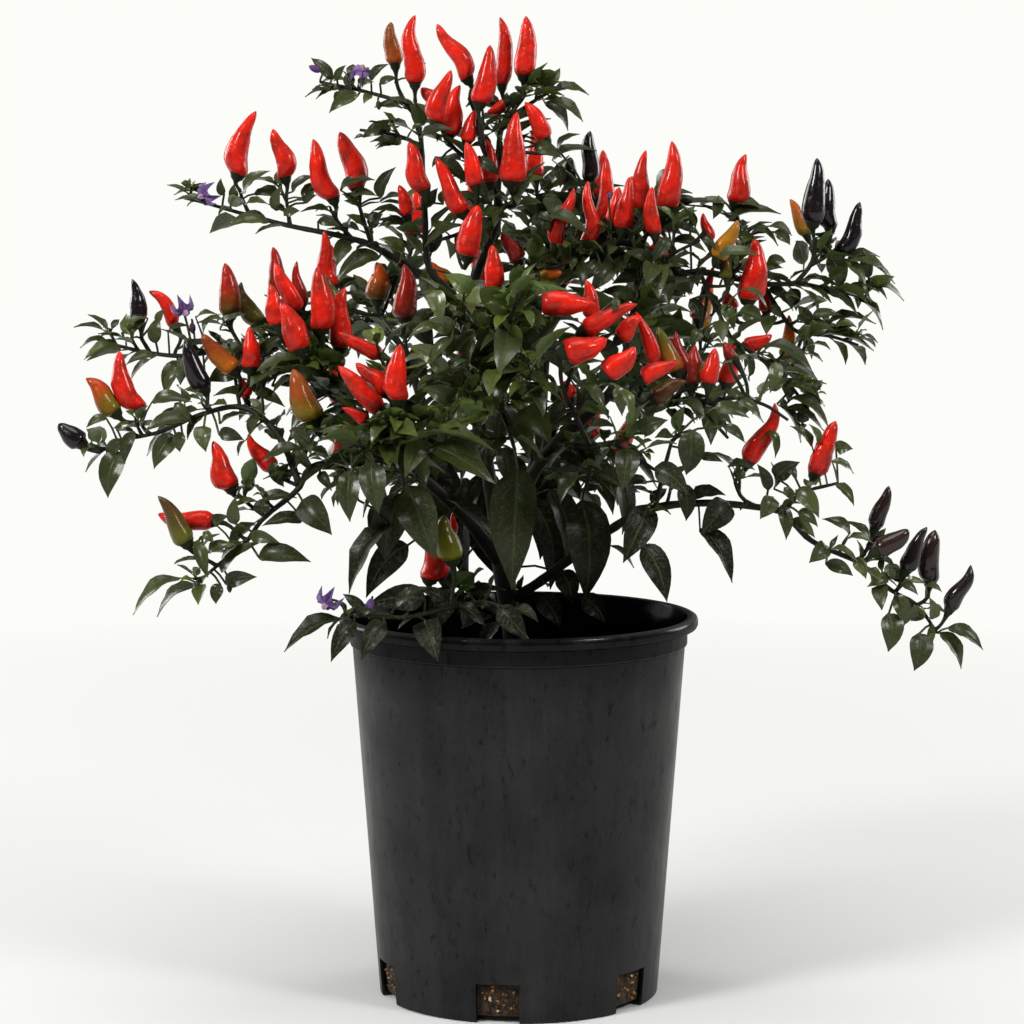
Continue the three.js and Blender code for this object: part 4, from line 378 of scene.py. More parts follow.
# Large leaves, by branch: blade base across and down, tip across and down, blade width in the picture, and
# depth at the base and at the tip.
largeLeaves = {
    "branch_front_center": [
        (518, 468, 512, 590, 46, -52, -60), (434, 290, 442, 321, 18), (497, 315, 469, 305, 12),
        (474, 333, 467, 371, 12), (452, 338, 430, 364, 11), (461, 333, 432, 339, 9), (437, 325, 410, 336, 10),
        (433, 376, 418, 396, 12), (461, 371, 455, 397, 14), (447, 367, 467, 360, 8), (481, 297, 503, 288, 10),
        (505, 281, 517, 305, 12), (522, 308, 526, 293, 9), (527, 318, 543, 330, 9), (500, 368, 519, 386, 15),
        (522, 352, 544, 366, 16), (489, 371, 471, 384, 11), (500, 330, 482, 343, 12), (498, 314, 513, 320, 12),
        (452, 330, 424, 322, 18), (440, 362, 408, 346, 18), (446, 374, 424, 352, 16), (452, 402, 422, 388, 20),
        (456, 424, 428, 408, 18), (470, 292, 444, 274, 18), (428, 268, 444, 318, 22, -2, -6),
    ],
    "branch_front_left": [
        (408, 486, 436, 560, 38, -72, -80), (402, 494, 385, 560, 34, -70, -66), (352, 470, 350, 522, 22, -84, -88),
        (372, 462, 379, 514, 26, -88, -94), (452, 432, 482, 462, 22, -94, -104), (425, 440, 405, 478, 22, -86, -98),
        (434, 446, 495, 484, 25, -95, -104), (424, 432, 495, 451, 10, -100, -105),
    ],
    "branch_left_lower": [
        (258, 556, 311, 562, 19, -60, -64), (302, 500, 332, 535, 28, -64, -72), (226, 584, 257, 577, 16, -56, -60),
        (180, 578, 133, 615, 12, -57, -60), (196, 585, 157, 617, 10, -50, -44), (389, 523, 349, 594, 20, -74, -80),
        (198, 540, 208, 578, 13), (220, 584, 216, 604, 13), (222, 572, 262, 542, 12), (250, 537, 280, 543, 13),
        (302, 521, 262, 526, 13), (214, 523, 229, 516, 11), (236, 524, 236, 496, 13), (208, 552, 236, 545, 11),
        (204, 532, 214, 543, 9), (262, 500, 297, 498, 11), (262, 514, 265, 498, 16), (276, 482, 304, 474, 9),
        (272, 462, 284, 487, 13), (296, 450, 312, 472, 10), (346, 461, 322, 470, 16), (320, 472, 332, 491, 11),
        (344, 484, 323, 494, 4), (290, 430, 314, 446, 13),
    ],
    "branch_left_arm": [
        (121, 452, 108, 498, 24, -34, -38), (176, 436, 154, 469, 20, -38, -42), (100, 450, 84, 448, 8, -28, -24),
        (204, 426, 206, 452, 18, -46, -52), (152, 402, 192, 402, 13), (188, 420, 144, 432, 14),
        (175, 403, 192, 424, 12), (106, 418, 86, 428, 9), (116, 428, 127, 430, 5), (122, 440, 108, 460, 13),
        (134, 432, 125, 464, 13), (182, 432, 180, 452, 13), (219, 434, 244, 440, 14), (220, 424, 250, 414, 5),
        (258, 414, 250, 436, 10), (246, 440, 238, 456, 5), (300, 448, 262, 463, 11),
    ],
    "branch_front_right": [
        (582, 500, 585, 600, 44, -26, -30), (655, 468, 689, 495, 22, -82, -88), (628, 448, 622, 490, 24, -84, -90),
        (640, 432, 668, 420, 18, -84, -90), (622, 388, 632, 422, 10), (616, 386, 622, 416, 12),
        (610, 417, 575, 412, 8), (584, 383, 606, 415, 12), (617, 298, 613, 313, 8),
    ],
    "branch_right_arm": [
        (648, 505, 623, 563, 30, -42, -50), (643, 545, 667, 602, 26, -52, -58), (700, 528, 732, 583, 19, -46, -50),
        (728, 502, 701, 535, 28, -44, -50), (773, 497, 760, 519, 18, -44, -48), (781, 506, 786, 540, 14, -42, -46),
        (796, 490, 819, 518, 18, -46, -52), (827, 546, 809, 563, 18, -38, -44), (889, 613, 888, 652, 23, -30, -34),
        (903, 598, 903, 626, 16, -22, -18), (920, 633, 914, 671, 24, -28, -32), (940, 633, 961, 669, 14, -24, -22),
        (948, 628, 983, 650, 13, -26, -28), (836, 484, 854, 506, 10, -47, -50), (724, 426, 745, 443, 10),
        (770, 430, 775, 458, 9), (812, 446, 790, 426, 9), (818, 444, 809, 424, 8), (836, 450, 853, 449, 14),
        (832, 461, 854, 474, 7), (776, 478, 800, 462, 19), (788, 468, 797, 478, 9), (774, 489, 771, 462, 7),
        (768, 490, 757, 464, 12), (728, 466, 755, 470, 9), (792, 520, 815, 538, 12), (798, 512, 818, 527, 12),
        (784, 488, 793, 503, 9), (850, 533, 822, 519, 11), (870, 542, 843, 521, 8), (848, 538, 873, 543, 7),
        (860, 557, 857, 540, 5), (830, 548, 838, 535, 5), (826, 564, 853, 576, 14), (854, 560, 866, 579, 13),
        (830, 549, 858, 562, 7), (889, 577, 867, 587, 12), (892, 578, 888, 565, 7), (875, 541, 886, 528, 9),
        (895, 595, 904, 626, 17), (902, 584, 918, 595, 9), (905, 582, 926, 584, 7), (926, 586, 942, 592, 7),
        (922, 607, 911, 621, 16), (932, 619, 929, 597, 11), (932, 625, 926, 638, 7), (682, 484, 686, 521, 18),
        (690, 430, 686, 475, 26), (714, 408, 749, 418, 13), (608, 545, 634, 568, 5), (700, 457, 723, 462, 9),
        (647, 482, 619, 484, 10),
    ],
    "branch_rim_left": [
        (340, 618, 284, 652, 15, -98, -104), (355, 622, 331, 662, 19, -98, -106), (385, 622, 361, 660, 20, -92, -102),
        (425, 620, 438, 662, 27, -84, -98), (498, 608, 527, 640, 22, -88, -92), (425, 600, 368, 604, 26, -74, -80),
        (364, 610, 343, 594, 11), (396, 606, 430, 587, 11), (466, 596, 506, 590, 10), (488, 606, 529, 640, 14),
        (344, 624, 341, 642, 12), (445, 600, 420, 588, 13), (356, 616, 376, 610, 9), (460, 604, 486, 627, 13),
    ],
    "branch_right_upper": [
        (848, 259, 880, 257, 8, 23, 32), (850, 260, 895, 284, 10, 19, 23), (864, 284, 904, 301, 11, 24, 32),
        (820, 291, 858, 316, 12, 15, 14), (854, 298, 883, 330, 7, 27, 34), (828, 322, 876, 324, 9, 15, 19),
        (816, 336, 874, 351, 10, 9, 8), (842, 262, 866, 286, 12), (828, 256, 840, 290, 21), (868, 286, 887, 299, 6),
        (850, 284, 871, 303, 8), (812, 318, 841, 315, 10), (806, 324, 797, 305, 14), (768, 289, 793, 311, 11),
        (780, 296, 800, 299, 4), (764, 345, 814, 374, 13), (780, 373, 812, 379, 5), (784, 386, 817, 395, 10),
        (770, 390, 790, 378, 12), (790, 397, 829, 428, 12), (782, 408, 824, 431, 8), (777, 404, 801, 443, 8),
        (780, 402, 788, 408, 7), (674, 204, 698, 200, 8), (666, 216, 690, 222, 8), (690, 226, 692, 210, 9),
        (700, 236, 716, 250, 9), (728, 221, 781, 214, 11), (770, 226, 792, 236, 9), (734, 203, 765, 211, 9),
        (752, 228, 778, 246, 8), (718, 196, 713, 219, 12), (700, 204, 730, 206, 8), (662, 228, 701, 236, 12),
        (672, 241, 706, 252, 11), (718, 257, 760, 256, 11, -34, -34), (743, 288, 767, 308, 6, -34, -36),
        (722, 306, 734, 330, 13), (662, 285, 693, 294, 12), (670, 325, 680, 307, 14), (738, 237, 754, 243, 14),
        (768, 262, 786, 262, 12), (775, 232, 790, 245, 12), (660, 262, 690, 268, 12), (655, 290, 640, 310, 12),
        (690, 300, 700, 322, 14), (700, 330, 690, 345, 12), (740, 312, 762, 322, 18), (770, 306, 780, 318, 10),
        (763, 270, 783, 268, 9),
    ],
    "branch_top": [
        (550, 86, 560, 68, 9, 0, 4), (554, 90, 589, 95, 10, 2, 6), (552, 101, 583, 122, 12, -4, -8),
        (545, 103, 568, 131, 12, 2, 8), (546, 86, 543, 72, 11), (530, 84, 542, 89, 9), (548, 150, 529, 131, 13),
        (480, 160, 500, 176, 12), (440, 160, 468, 184, 14), (420, 137, 455, 130, 10), (538, 140, 552, 152, 8),
        (470, 90, 490, 98, 7), (534, 146, 562, 158, 14, -22, -24),
    ],
    "branch_top_left": [
        (332, 79, 311, 58, 12, 15, 19), (344, 89, 316, 99, 8, 13, 13), (358, 95, 329, 113, 14, 7, 5),
        (390, 128, 363, 138, 15, -1, -2), (337, 80, 346, 65, 8), (350, 87, 352, 71, 12), (358, 85, 374, 82, 9),
        (371, 80, 389, 64, 9), (380, 84, 398, 78, 8), (330, 91, 305, 97, 4), (408, 103, 383, 105, 6),
        (330, 88, 320, 86, 6), (364, 136, 354, 139, 4), (398, 144, 370, 142, 8), (400, 144, 376, 149, 8),
        (412, 130, 425, 125, 5), (408, 78, 426, 63, 8), (430, 206, 438, 188, 11), (443, 204, 448, 188, 8),
        (402, 216, 372, 211, 8), (404, 222, 378, 227, 10), (402, 100, 416, 112, 7),
    ],
    "branch_left_upper": [
        (204, 193, 174, 195, 8, 33, 39), (206, 204, 175, 200, 7, 28, 27), (268, 222, 227, 227, 14, 26, 22),
        (350, 243, 336, 267, 17, 22, 12), (224, 195, 221, 178, 9), (244, 193, 270, 171, 11), (236, 199, 234, 184, 10),
        (246, 204, 268, 204, 8), (254, 194, 275, 197, 8), (276, 210, 281, 186, 11), (292, 192, 316, 176, 9),
        (284, 215, 300, 211, 10), (302, 198, 322, 182, 8), (304, 203, 317, 195, 9), (318, 222, 341, 227, 10),
        (380, 256, 336, 282, 18), (404, 250, 379, 239, 12), (340, 290, 357, 278, 8), (380, 198, 396, 167, 13),
        (340, 190, 375, 180, 11), (352, 195, 377, 196, 9), (380, 202, 413, 199, 5), (308, 200, 316, 186, 9),
        (230, 207, 218, 216, 5),
    ],
    "branch_left_middle": [
        (106, 340, 80, 348, 6, 2, 4), (120, 346, 84, 360, 12, 0, -6), (178, 362, 166, 396, 16, -4, -8),
        (154, 356, 126, 365, 10), (148, 318, 126, 327, 7), (156, 343, 160, 316, 14), (132, 338, 146, 322, 6),
        (158, 322, 165, 309, 8), (126, 340, 125, 331, 4), (168, 332, 190, 326, 6), (196, 318, 217, 314, 5),
        (203, 334, 221, 314, 7), (220, 330, 246, 314, 6), (252, 332, 269, 326, 9), (254, 339, 286, 328, 8),
        (262, 358, 285, 336, 12), (177, 372, 166, 398, 10), (206, 394, 183, 390, 7), (240, 372, 208, 382, 19),
        (248, 396, 213, 396, 9), (256, 392, 285, 407, 12), (272, 386, 312, 393, 9), (258, 384, 276, 378, 8),
        (276, 376, 270, 365, 8), (228, 346, 235, 340, 5),
    ],
    "branch_right_inner": [
        (738, 401, 761, 418, 10), (776, 362, 770, 393, 14), (712, 412, 719, 431, 14), (700, 372, 722, 362, 9),
        (726, 392, 745, 398, 8), (668, 402, 644, 416, 12), (690, 400, 700, 420, 10),
    ],
    "branch_crown": [
        (557, 149, 580, 134, 7), (552, 160, 597, 151, 9), (556, 165, 560, 188, 12), (560, 193, 606, 190, 9),
        (548, 215, 590, 236, 13), (540, 212, 549, 232, 12), (640, 222, 624, 213, 9), (634, 210, 650, 226, 12),
        (600, 238, 606, 214, 14), (590, 228, 574, 262, 22), (602, 240, 588, 274, 16), (630, 262, 606, 270, 14),
        (640, 275, 612, 284, 14), (652, 250, 640, 276, 14), (612, 226, 584, 232, 14), (606, 236, 590, 256, 14),
        (600, 262, 582, 282, 14), (640, 236, 612, 238, 12), (652, 262, 624, 252, 12), (668, 238, 652, 262, 14),
        (636, 300, 600, 292, 14), (612, 266, 590, 292, 18),
    ],
    "main_stem": [
        (549, 490, 566, 562, 26, 12, 6), (430, 478, 438, 560, 30, 20, 10), (385, 500, 392, 560, 30, 10, 4),
        (455, 520, 452, 600, 28, 24, 14), (478, 480, 470, 585, 34, 30, 22), (530, 500, 550, 590, 36, 34, 28),
        (612, 470, 622, 535, 20, 10, 4), (408, 545, 366, 598, 30, -8, -20), (592, 476, 613, 515, 16, -4, -8),
        (560, 455, 590, 474, 13, -14, -16), (614, 452, 657, 488, 12, -20, -24), (566, 476, 580, 501, 10, -8, -10),
        (466, 480, 452, 514, 17, -20, -24), (446, 498, 502, 546, 11, -30, -34), (492, 470, 500, 580, 46, 38, 34),
        (560, 572, 572, 604, 24, 0, -4), (582, 598, 606, 624, 22, -6, -10), (540, 596, 560, 628, 24, -10, -16),
        (494, 432, 484, 478, 24, -6, -12), (506, 446, 512, 488, 22, -8, -12), (543, 352, 583, 390, 18, -24, -30),
        (440, 470, 446, 540, 36, 44, 40), (520, 470, 540, 560, 40, 46, 42), (450, 590, 436, 632, 28, -30, -36),
        (414, 312, 434, 350, 24, 12, 6), (430, 346, 410, 388, 22, 10, 4), (438, 366, 454, 404, 20, 10, 4),
        (508, 402, 500, 452, 28, 20, 14), (522, 416, 532, 462, 24, 26, 20), (412, 352, 428, 384, 20, 14, 8),
    ],
}

# Flowers: branch, middle across and down, depth, width in the picture, and the way that the face looks.
flowers = [
    ("branch_left_upper", 203, 196, 28, 26, (-0.7, -0.6, -0.3)),
    ("branch_left_middle", 185, 311, -8, 24, (0.4, -0.6, -0.7)),
    ("branch_top_left", 362, 70, 7, 24, (0.2, -0.6, 0.7)),
    ("branch_rim_left", 326, 604, -100, 26, (-0.4, -0.6, -0.6)),
]


# A number that goes from 0 to 1 as `value` goes from `low` to `high`, with an even start and end.
def smoothStep(low, high, value):
    share = np.clip((value - low) / (high - low), 0, 1)
    return share * share * (3 - 2 * share)


# Vectors scaled to length one.
def unit(vectors):
    vectors = np.asarray(vectors, float)
    return vectors / np.maximum(np.linalg.norm(vectors, axis=-1, keepdims=True), 1e-12)


# Points of the plant from (across, down, depth) places in the picture: eye plus sight line times reach.
def seen(places):
    places = np.asarray(places, float)
    side = (places[..., 0] - picture["middle"]) / picture["focal"]
    rise = (picture["middle"] - places[..., 1]) / picture["focal"]
    depth = places[..., 2] * milli
    lean = viewpoint["down"]
    reach = (depth - viewpoint["place"][1]) / (math.cos(lean) + rise * math.sin(lean))
    climb = rise * math.cos(lean) - math.sin(lean)
    return np.stack([viewpoint["place"][0] + side * reach, depth, viewpoint["place"][2] + climb * reach], -1)


# The way back: across and down in the picture, and depth in millimetres, for points of the plant.
def inPicture(points):
    offset = points - np.array(viewpoint["place"])
    lean = viewpoint["down"]
    forward = offset[..., 1] * math.cos(lean) - offset[..., 2] * math.sin(lean)
    upward = offset[..., 1] * math.sin(lean) + offset[..., 2] * math.cos(lean)
    across = picture["middle"] + picture["focal"] * offset[..., 0] / forward
    down = picture["middle"] - picture["focal"] * upward / forward
    return np.stack([across, down, points[..., 1] / milli], -1)


# A smooth line through points, with a place every `spacing`. Between two points it is a cubic whose slopes at the
# ends follow the neighbours, with knots spaced by the square root of the distance, then cut into equal lengths.
def smoothLine(points, spacing):
    before = 2 * points[:1] - points[1:2]
    after = 2 * points[-1:] - points[-2:-1]
    ends = np.concatenate([before, points, after])
    knots = np.sqrt(np.maximum(np.linalg.norm(np.diff(ends, axis=0), axis=1), 1e-6))[:, None]
    p0, p1, p2, p3 = ends[:-3], ends[1:-2], ends[2:-1], ends[3:]
    d0, d1, d2 = knots[:-2], knots[1:-1], knots[2:]
    leave = ((p1 - p0) / d0 - (p2 - p0) / (d0 + d1) + (p2 - p1) / d1) * d1
    arrive = ((p2 - p1) / d1 - (p3 - p1) / (d1 + d2) + (p3 - p2) / d2) * d1
    t = np.linspace(0, 1, 16, endpoint=False)[:, None, None]
    line = (
        (2 * t**3 - 3 * t**2 + 1) * p1
        + (t**3 - 2 * t**2 + t) * leave
        + (3 * t**2 - 2 * t**3) * p2
        + (t**3 - t**2) * arrive
    )
    line = np.concatenate([line.transpose(1, 0, 2).reshape(-1, 3), points[-1:]])
    lengths = np.concatenate([[0], np.cumsum(np.linalg.norm(np.diff(line, axis=0), axis=1))])
    count = max(3, int(round(lengths[-1] / spacing)) + 1)
    places = np.linspace(0, lengths[-1], count)
    return np.stack([np.interp(places, lengths, line[:, axis]) for axis in range(3)], -1)


# Rows of `values`, (N, S, 3), at `places` that count rows and may fall between two: a straight mix of those two.
def between(values, places):
    low = np.minimum(places.astype(int), values.shape[1] - 2)
    part = (places - low)[None, :, None]
    return values[:, low] * (1 - part) + values[:, low + 1] * part


# Two directions square to the tangents of paths, (N, S, 3) each. They come from the world axis that the path
# crosses, so they turn with the path and never flip.
def squareTo(tangents):
    mean = unit(tangents.mean(axis=-2, keepdims=True))
    sideways = np.where(np.abs(mean[..., 1:2]) > 0.8, [1.0, 0, 0], [0, 1.0, 0])
    side = unit(np.cross(sideways, tangents))
    return side, np.cross(tangents, side)


# The angles of columns spaced evenly round a ring.
def turnsOf(columns):
    return 2 * np.pi * np.arange(columns) / columns


# Rings round paths: point = middle + radius * (cos(angle) * side + sin(angle) * up).
def tubeRings(paths, radii, columns):
    side, up = squareTo(unit(np.gradient(paths, axis=-2)))
    angle = turnsOf(columns)[:, None]
    return paths[..., None, :] + radii[..., None, None] * (
        np.cos(angle) * side[..., None, :] + np.sin(angle) * up[..., None, :]
    )


# Rings round straight axes: each stands `heights` along its axis from a foot, with its own radius per column.
def turnedRings(feet, axes, heights, radii):
    axes = np.broadcast_to(unit(axes)[:, None, :], (len(feet), 2, 3))
    side, up = squareTo(axes)
    angle = turnsOf(radii.shape[-1])[:, None]
    spoke = np.cos(angle) * side[:, :1, None, :] + np.sin(angle) * up[:, :1, None, :]
    return feet[:, None, None, :] + heights[..., None, None] * axes[:, :1, None, :] + radii[..., None] * spoke


# Places at `shares` of cubics through space from `start` to `end`, which leave and arrive along two vectors:
# (1 - t)^3 start + 3t(1 - t)^2 (start + leaving) + 3t^2(1 - t) (end - arriving) + t^3 end.
def bentLine(start, leaving, arriving, end, shares):
    t = shares[:, None]
    first, last = start[:, None, :], end[:, None, :]
    one, two = (start + leaving)[:, None, :], (end - arriving)[:, None, :]
    return (1 - t) ** 3 * first + 3 * t * (1 - t) ** 2 * one + 3 * t**2 * (1 - t) * two + t**3 * last


# A gentle unevenness between -1 and 1: the mean of sines along fixed random directions, about `size` apart.
def unevenness(points, size, seed, count=9):
    rng = np.random.default_rng(seed)
    ways = unit(rng.normal(size=(count, 3))) * rng.uniform(0.6, 1.6, (count, 1)) * 2 * np.pi / size
    phases = rng.uniform(0, 2 * np.pi, count)
    return np.sin(points @ ways.T + phases).mean(axis=-1) * 1.8


# Makes an object from whole arrays: points, faces as loops with their sizes, and optional corner and point data.
def objectFrom(name, points, loops, sizes, uv=None, tints=None, sharpAngle=None):
    mesh = bpy.data.meshes.new(name)
    mesh.vertices.add(len(points))
    mesh.vertices.foreach_set("co", np.asarray(points, np.float32).ravel())
    mesh.loops.add(len(loops))
    mesh.loops.foreach_set("vertex_index", np.asarray(loops, np.int32))
    mesh.polygons.add(len(sizes))
    starts = np.concatenate([[0], np.cumsum(sizes)[:-1]])
    mesh.polygons.foreach_set("loop_start", starts.astype(np.int32))
    mesh.update(calc_edges=True)
    mesh.validate()
    mesh.polygons.foreach_set("use_smooth", np.ones(len(mesh.polygons), bool))
    if uv is not None:
        mesh.uv_layers.new(name="surface").data.foreach_set("uv", np.asarray(uv, np.float32).ravel())
    if tints is not None:
        values = np.concatenate([tints, np.ones((len(tints), 1))], axis=1).astype(np.float32)
        mesh.attributes.new("tint", "FLOAT_COLOR", "POINT").data.foreach_set("color", values.ravel())
    if sharpAngle is not None:
        mesh.set_sharp_from_angle(angle=math.radians(sharpAngle))
    made = bpy.data.objects.new(name, mesh)
    bpy.context.scene.collection.objects.link(made)
    return made


# The parts of a mesh for stacks of rings, (N, S, K, 3): walls between neighbouring rings and a face on each end.
# `spans` holds where each column starts and ends across the surface, and `along` where each ring stands on it.
# The faces turn outwards: their normals, summed against the way out from each ring's middle, come out positive.
def stackParts(rings, tints, spans=None, along=None):
    count, rows, columns, _ = rings.shape
    body = np.arange(count)[:, None, None] * rows * columns
    row = np.arange(rows - 1)[None, :, None] * columns
    column = np.arange(columns)[None, None, :]
    following = (column + 1) % columns
    start = body + row
    walls = np.stack([start + column, start + following, start + columns + following, start + columns + column], -1)
    ends = body[:, 0, 0][:, None] + np.arange(columns)
    caps = np.stack([ends[:, ::-1], ends + (rows - 1) * columns], 1)
    if spans is None:
        spans = np.stack([np.arange(columns), np.arange(columns) + 1], -1) / columns
    if along is None:
        along = np.linspace(0, 1, rows)
    under = spans[:, 0] > spans[:, 1]
    wallUv = np.empty((count, rows - 1, columns, 4, 2))
    wallUv[..., 0] = spans[:, [0, 1, 1, 0]]
    wallUv[..., :2, 1] = along[:-1, None, None]
    wallUv[..., 2:, 1] = along[1:, None, None]
    walls[:, :, under] = np.roll(walls[:, :, under], 1, axis=-1)
    wallUv[:, :, under] = np.roll(wallUv[:, :, under], 1, axis=-2)
    corners = rings.reshape(-1, 3)[walls]
    crossed = np.cross(corners[..., 1, :] - corners[..., 0, :], corners[..., 3, :] - corners[..., 0, :])
    outwards = (crossed * (corners[..., 0, :] - rings.mean(axis=2)[:, :-1, None, :])).sum()
    if outwards < 0:
        walls, wallUv, caps = walls[..., ::-1], wallUv[..., ::-1, :], caps[..., ::-1]
    loops = np.concatenate([walls.ravel(), caps.ravel()])
    sizes = np.concatenate([np.full(walls.size // 4, 4), np.full(count * 2, columns)])
    capUv = np.zeros((count, 2, columns, 2))
    capUv[..., 0] = 0.5
    capUv[:, 1, :, 1] = 1
    uv = np.concatenate([wallUv.reshape(-1, 2), capUv.reshape(-1, 2)])
    tints = np.broadcast_to(tints, rings.shape).reshape(-1, 3)
    return {"points": rings.reshape(-1, 3), "loops": loops, "sizes": sizes, "uv": uv, "tints": tints}


# Gives a piece its material and its body, and hides the CAD nodes that it stands for.
def finish(made, material, nodes):
    made.data.materials.append(material)
    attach(made, "root")
    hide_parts(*nodes)


# One piece from several parts, with its finish.
def pieceFrom(name, parts, material, nodes, sharpAngle):
    shift, loops = 0, []
    for part in parts:
        loops.append(part["loops"] + shift)
        shift += len(part["points"])
    joined = {key: np.concatenate([part[key] for part in parts]) for key in ("points", "sizes", "uv", "tints")}
    loops = np.concatenate(loops)
    made = objectFrom(name, joined["points"], loops, joined["sizes"], joined["uv"], joined["tints"], sharpAngle)
    finish(made, material, nodes)


# What a user would change in the stems. For limbs and twigs: ring spacing in metres, columns, how uneven the
# radius is, and the skin's colour. A knot is a swelling where leaves sit. `waves` and `patches` are the size in
# metres and the seed of an unevenness.
stemLook = {
    "limb": {"ring": 0.005, "columns": 14, "rough": 0.06, "tint": (0.009, 0.007, 0.004)},
    "twig": {"ring": 0.0035, "columns": 7, "rough": 0.03, "tint": (0.009, 0.011, 0.005)},
    "violet": (0.007, 0.004, 0.006),
    "waves": (0.006, 3),
    "patches": (0.03, 8),
    "knot": 0.14,
    "knotSpacing": 0.011,
    "shootRadii": (0.0010, 0.0006),
    "shootColumns": 5,
}


# The middle line and radius of one stem: a smooth line through its route, thinning evenly from start to end. The
# radius swells at every knot by the cosine of the way travelled, to the power 8.
def stemLine(route, thickStart, thickEnd, spacing):
    line = smoothLine(seen(route), spacing)
    share = np.linspace(0, 1, len(line))
    radii = (thickStart + (thickEnd - thickStart) * share) * 0.5 * milli
    travelled = share * len(line) * spacing
    radii = radii * (1 + stemLook["knot"] * np.cos(travelled / stemLook["knotSpacing"] * 2 * np.pi) ** 8)
    return line, radii


# The stems of a branch: a tube round each middle line, its radius uneven, its skin mixed with violet in patches.
def stemParts(branch):
    look = stemLook["limb" if branch == "main_stem" else "twig"]
    parts = []
    for route, thickStart, thickEnd in stems[branch]:
        line, radii = stemLine(route, thickStart, thickEnd, look["ring"])
        rings = tubeRings(line[None], radii[None], look["columns"])
        rough = unevenness(rings, *stemLook["waves"])[..., None]
        middle = line[None, :, None, :]
        rings = middle + (rings - middle) * (1 + look["rough"] * rough)
        violet = smoothStep(-0.4, 0.8, unevenness(line, *stemLook["patches"]))[:, None]
        tint = np.array(look["tint"]) * (1 - violet) + np.array(stemLook["violet"]) * violet
        parts.append(stackParts(rings, tint[None, :, None, :]))
    return parts


# The places along the stems of a branch, a millimetre apart: point, tangent, two directions square to it, and how
# far each place is from the stem's start and from its end.
def stemPlacesOf(branch):
    found = []
    for route, thickStart, thickEnd in stems[branch]:
        line, _ = stemLine(route, thickStart, thickEnd, milli)
        tangents = unit(np.gradient(line, axis=0))
        side, up = squareTo(tangents)
        travelled = np.arange(len(line)) * milli
        left = travelled[-1] - travelled
        found.append(
            {"point": line, "tangent": tangents, "side": side, "up": up, "travelled": travelled, "left": left}
        )
    return found


stemPlaces = {branch: stemPlacesOf(branch) for branch in stems}


# All the places along the stems of a branch, and their tangents.
def placesOn(branch):
    return [np.concatenate([stem[key] for stem in stemPlaces[branch]]) for key in ("point", "tangent")]


# What a user would change in the fruit. Heights and radii are in metres; shares are of a fruit's height or radius.
# `power` is the least power of the taper and the spread of its draw; `dents` and `patches` hold the size in metres
# and the seed of an unevenness.
fruitLook = {
    "rings": 18,
    "columns": 14,
    "shoulder": 0.14,
    "shoulderDrop": 0.52,
    "taper": 0.66,
    "power": (1.7, 1.3),
    "tipRadius": 0.00012,
    "waist": 0.16,
    "waistPlace": 0.72,
    "waistWidth": 0.16,
    "bend": 0.14,
    "sway": 0.10,
    "lean": 0.06,
    "lobes": 0.035,
    "wrinkle": 0.065,
    "bigDents": (0.014, 21),
    "smallDents": (0.006, 22),
    "patches": (0.016, 31),
    "seed": 7,
}

# What a user would change in the fruit stalks. The cup's rings: share of the cup's height, and radius in shares
# of the fruit's foot and of the stalk.
stalkLook = {
    "rings": 12,
    "columns": 8,
    "radius": 0.00095,
    "cup": 0.0036,
    "cupRings": [(0.35, 0.45, 0.3), (0.75, 0.60, 0), (1.06, 0.735, 0), (1.10, 0.45, 0)],
    "below": 0.006,
    "tint": (0.010, 0.016, 0.007),
}

# Colours of the fruit at its base and at its tip.
fruitTints = {
    "red": ((0.54, 0.010, 0.004), (0.58, 0.013, 0.005)),
    "darkred": ((0.110, 0.012, 0.006), (0.26, 0.008, 0.005)),
    "orange": ((0.18, 0.110, 0.006), (0.48, 0.055, 0.006)),
    "olive": ((0.075, 0.085, 0.010), (0.050, 0.030, 0.012)),
    "black": ((0.0055, 0.0030, 0.0045), (0.0045, 0.0024, 0.0040)),
}

# How far a fruit's middle bends sideways, in shares of its length, by its tip's place in the picture. Positive
# bends the tip to the right of its base.
fruitBends = {
    (256, 111): -0.1, (149, 291): 0.14, (119, 351): -0.13, (241, 282): -0.12, (313, 139): -0.08, (437, 24): 0.05,
    (273, 129): 0.07, (860, 202): 0.08, (672, 141): 0.05, (526, 16): 0.04,
}

# How blunt a fruit is, as the power of its taper, by its tip's place; the others get a draw.
fruitPowers = {
    (119, 351): 3.4, (149, 291): 3.2, (86, 378): 3.0, (202, 334): 2.4, (340, 132): 3.4, (409, 142): 3.0,
    (318, 266): 2.5, (400, 344): 2.4, (590, 131): 3.6, (478, 205): 2.8, (517, 112): 1.5, (672, 141): 2.0,
    (256, 111): 1.75, (132, 279): 1.9, (746, 154): 1.7, (755, 239): 2.7, (444, 515): 2.4, (293, 369): 2.4,
    (415, 15): 2.6, (500, 17): 2.6, (526, 16): 2.3, (490, 45): 2.2, (817, 158): 2.4, (828, 179): 2.8,
    (860, 202): 2.6, (281, 303): 2.8, (607, 158): 2.6, (595, 304): 2.4, (637, 304): 1.9, (607, 339): 2.5,
    (909, 530): 4.0, (889, 486): 3.0, (927, 527): 2.6, (935, 530): 4.0, (971, 565): 2.3, (635, 347): 2.4,
}

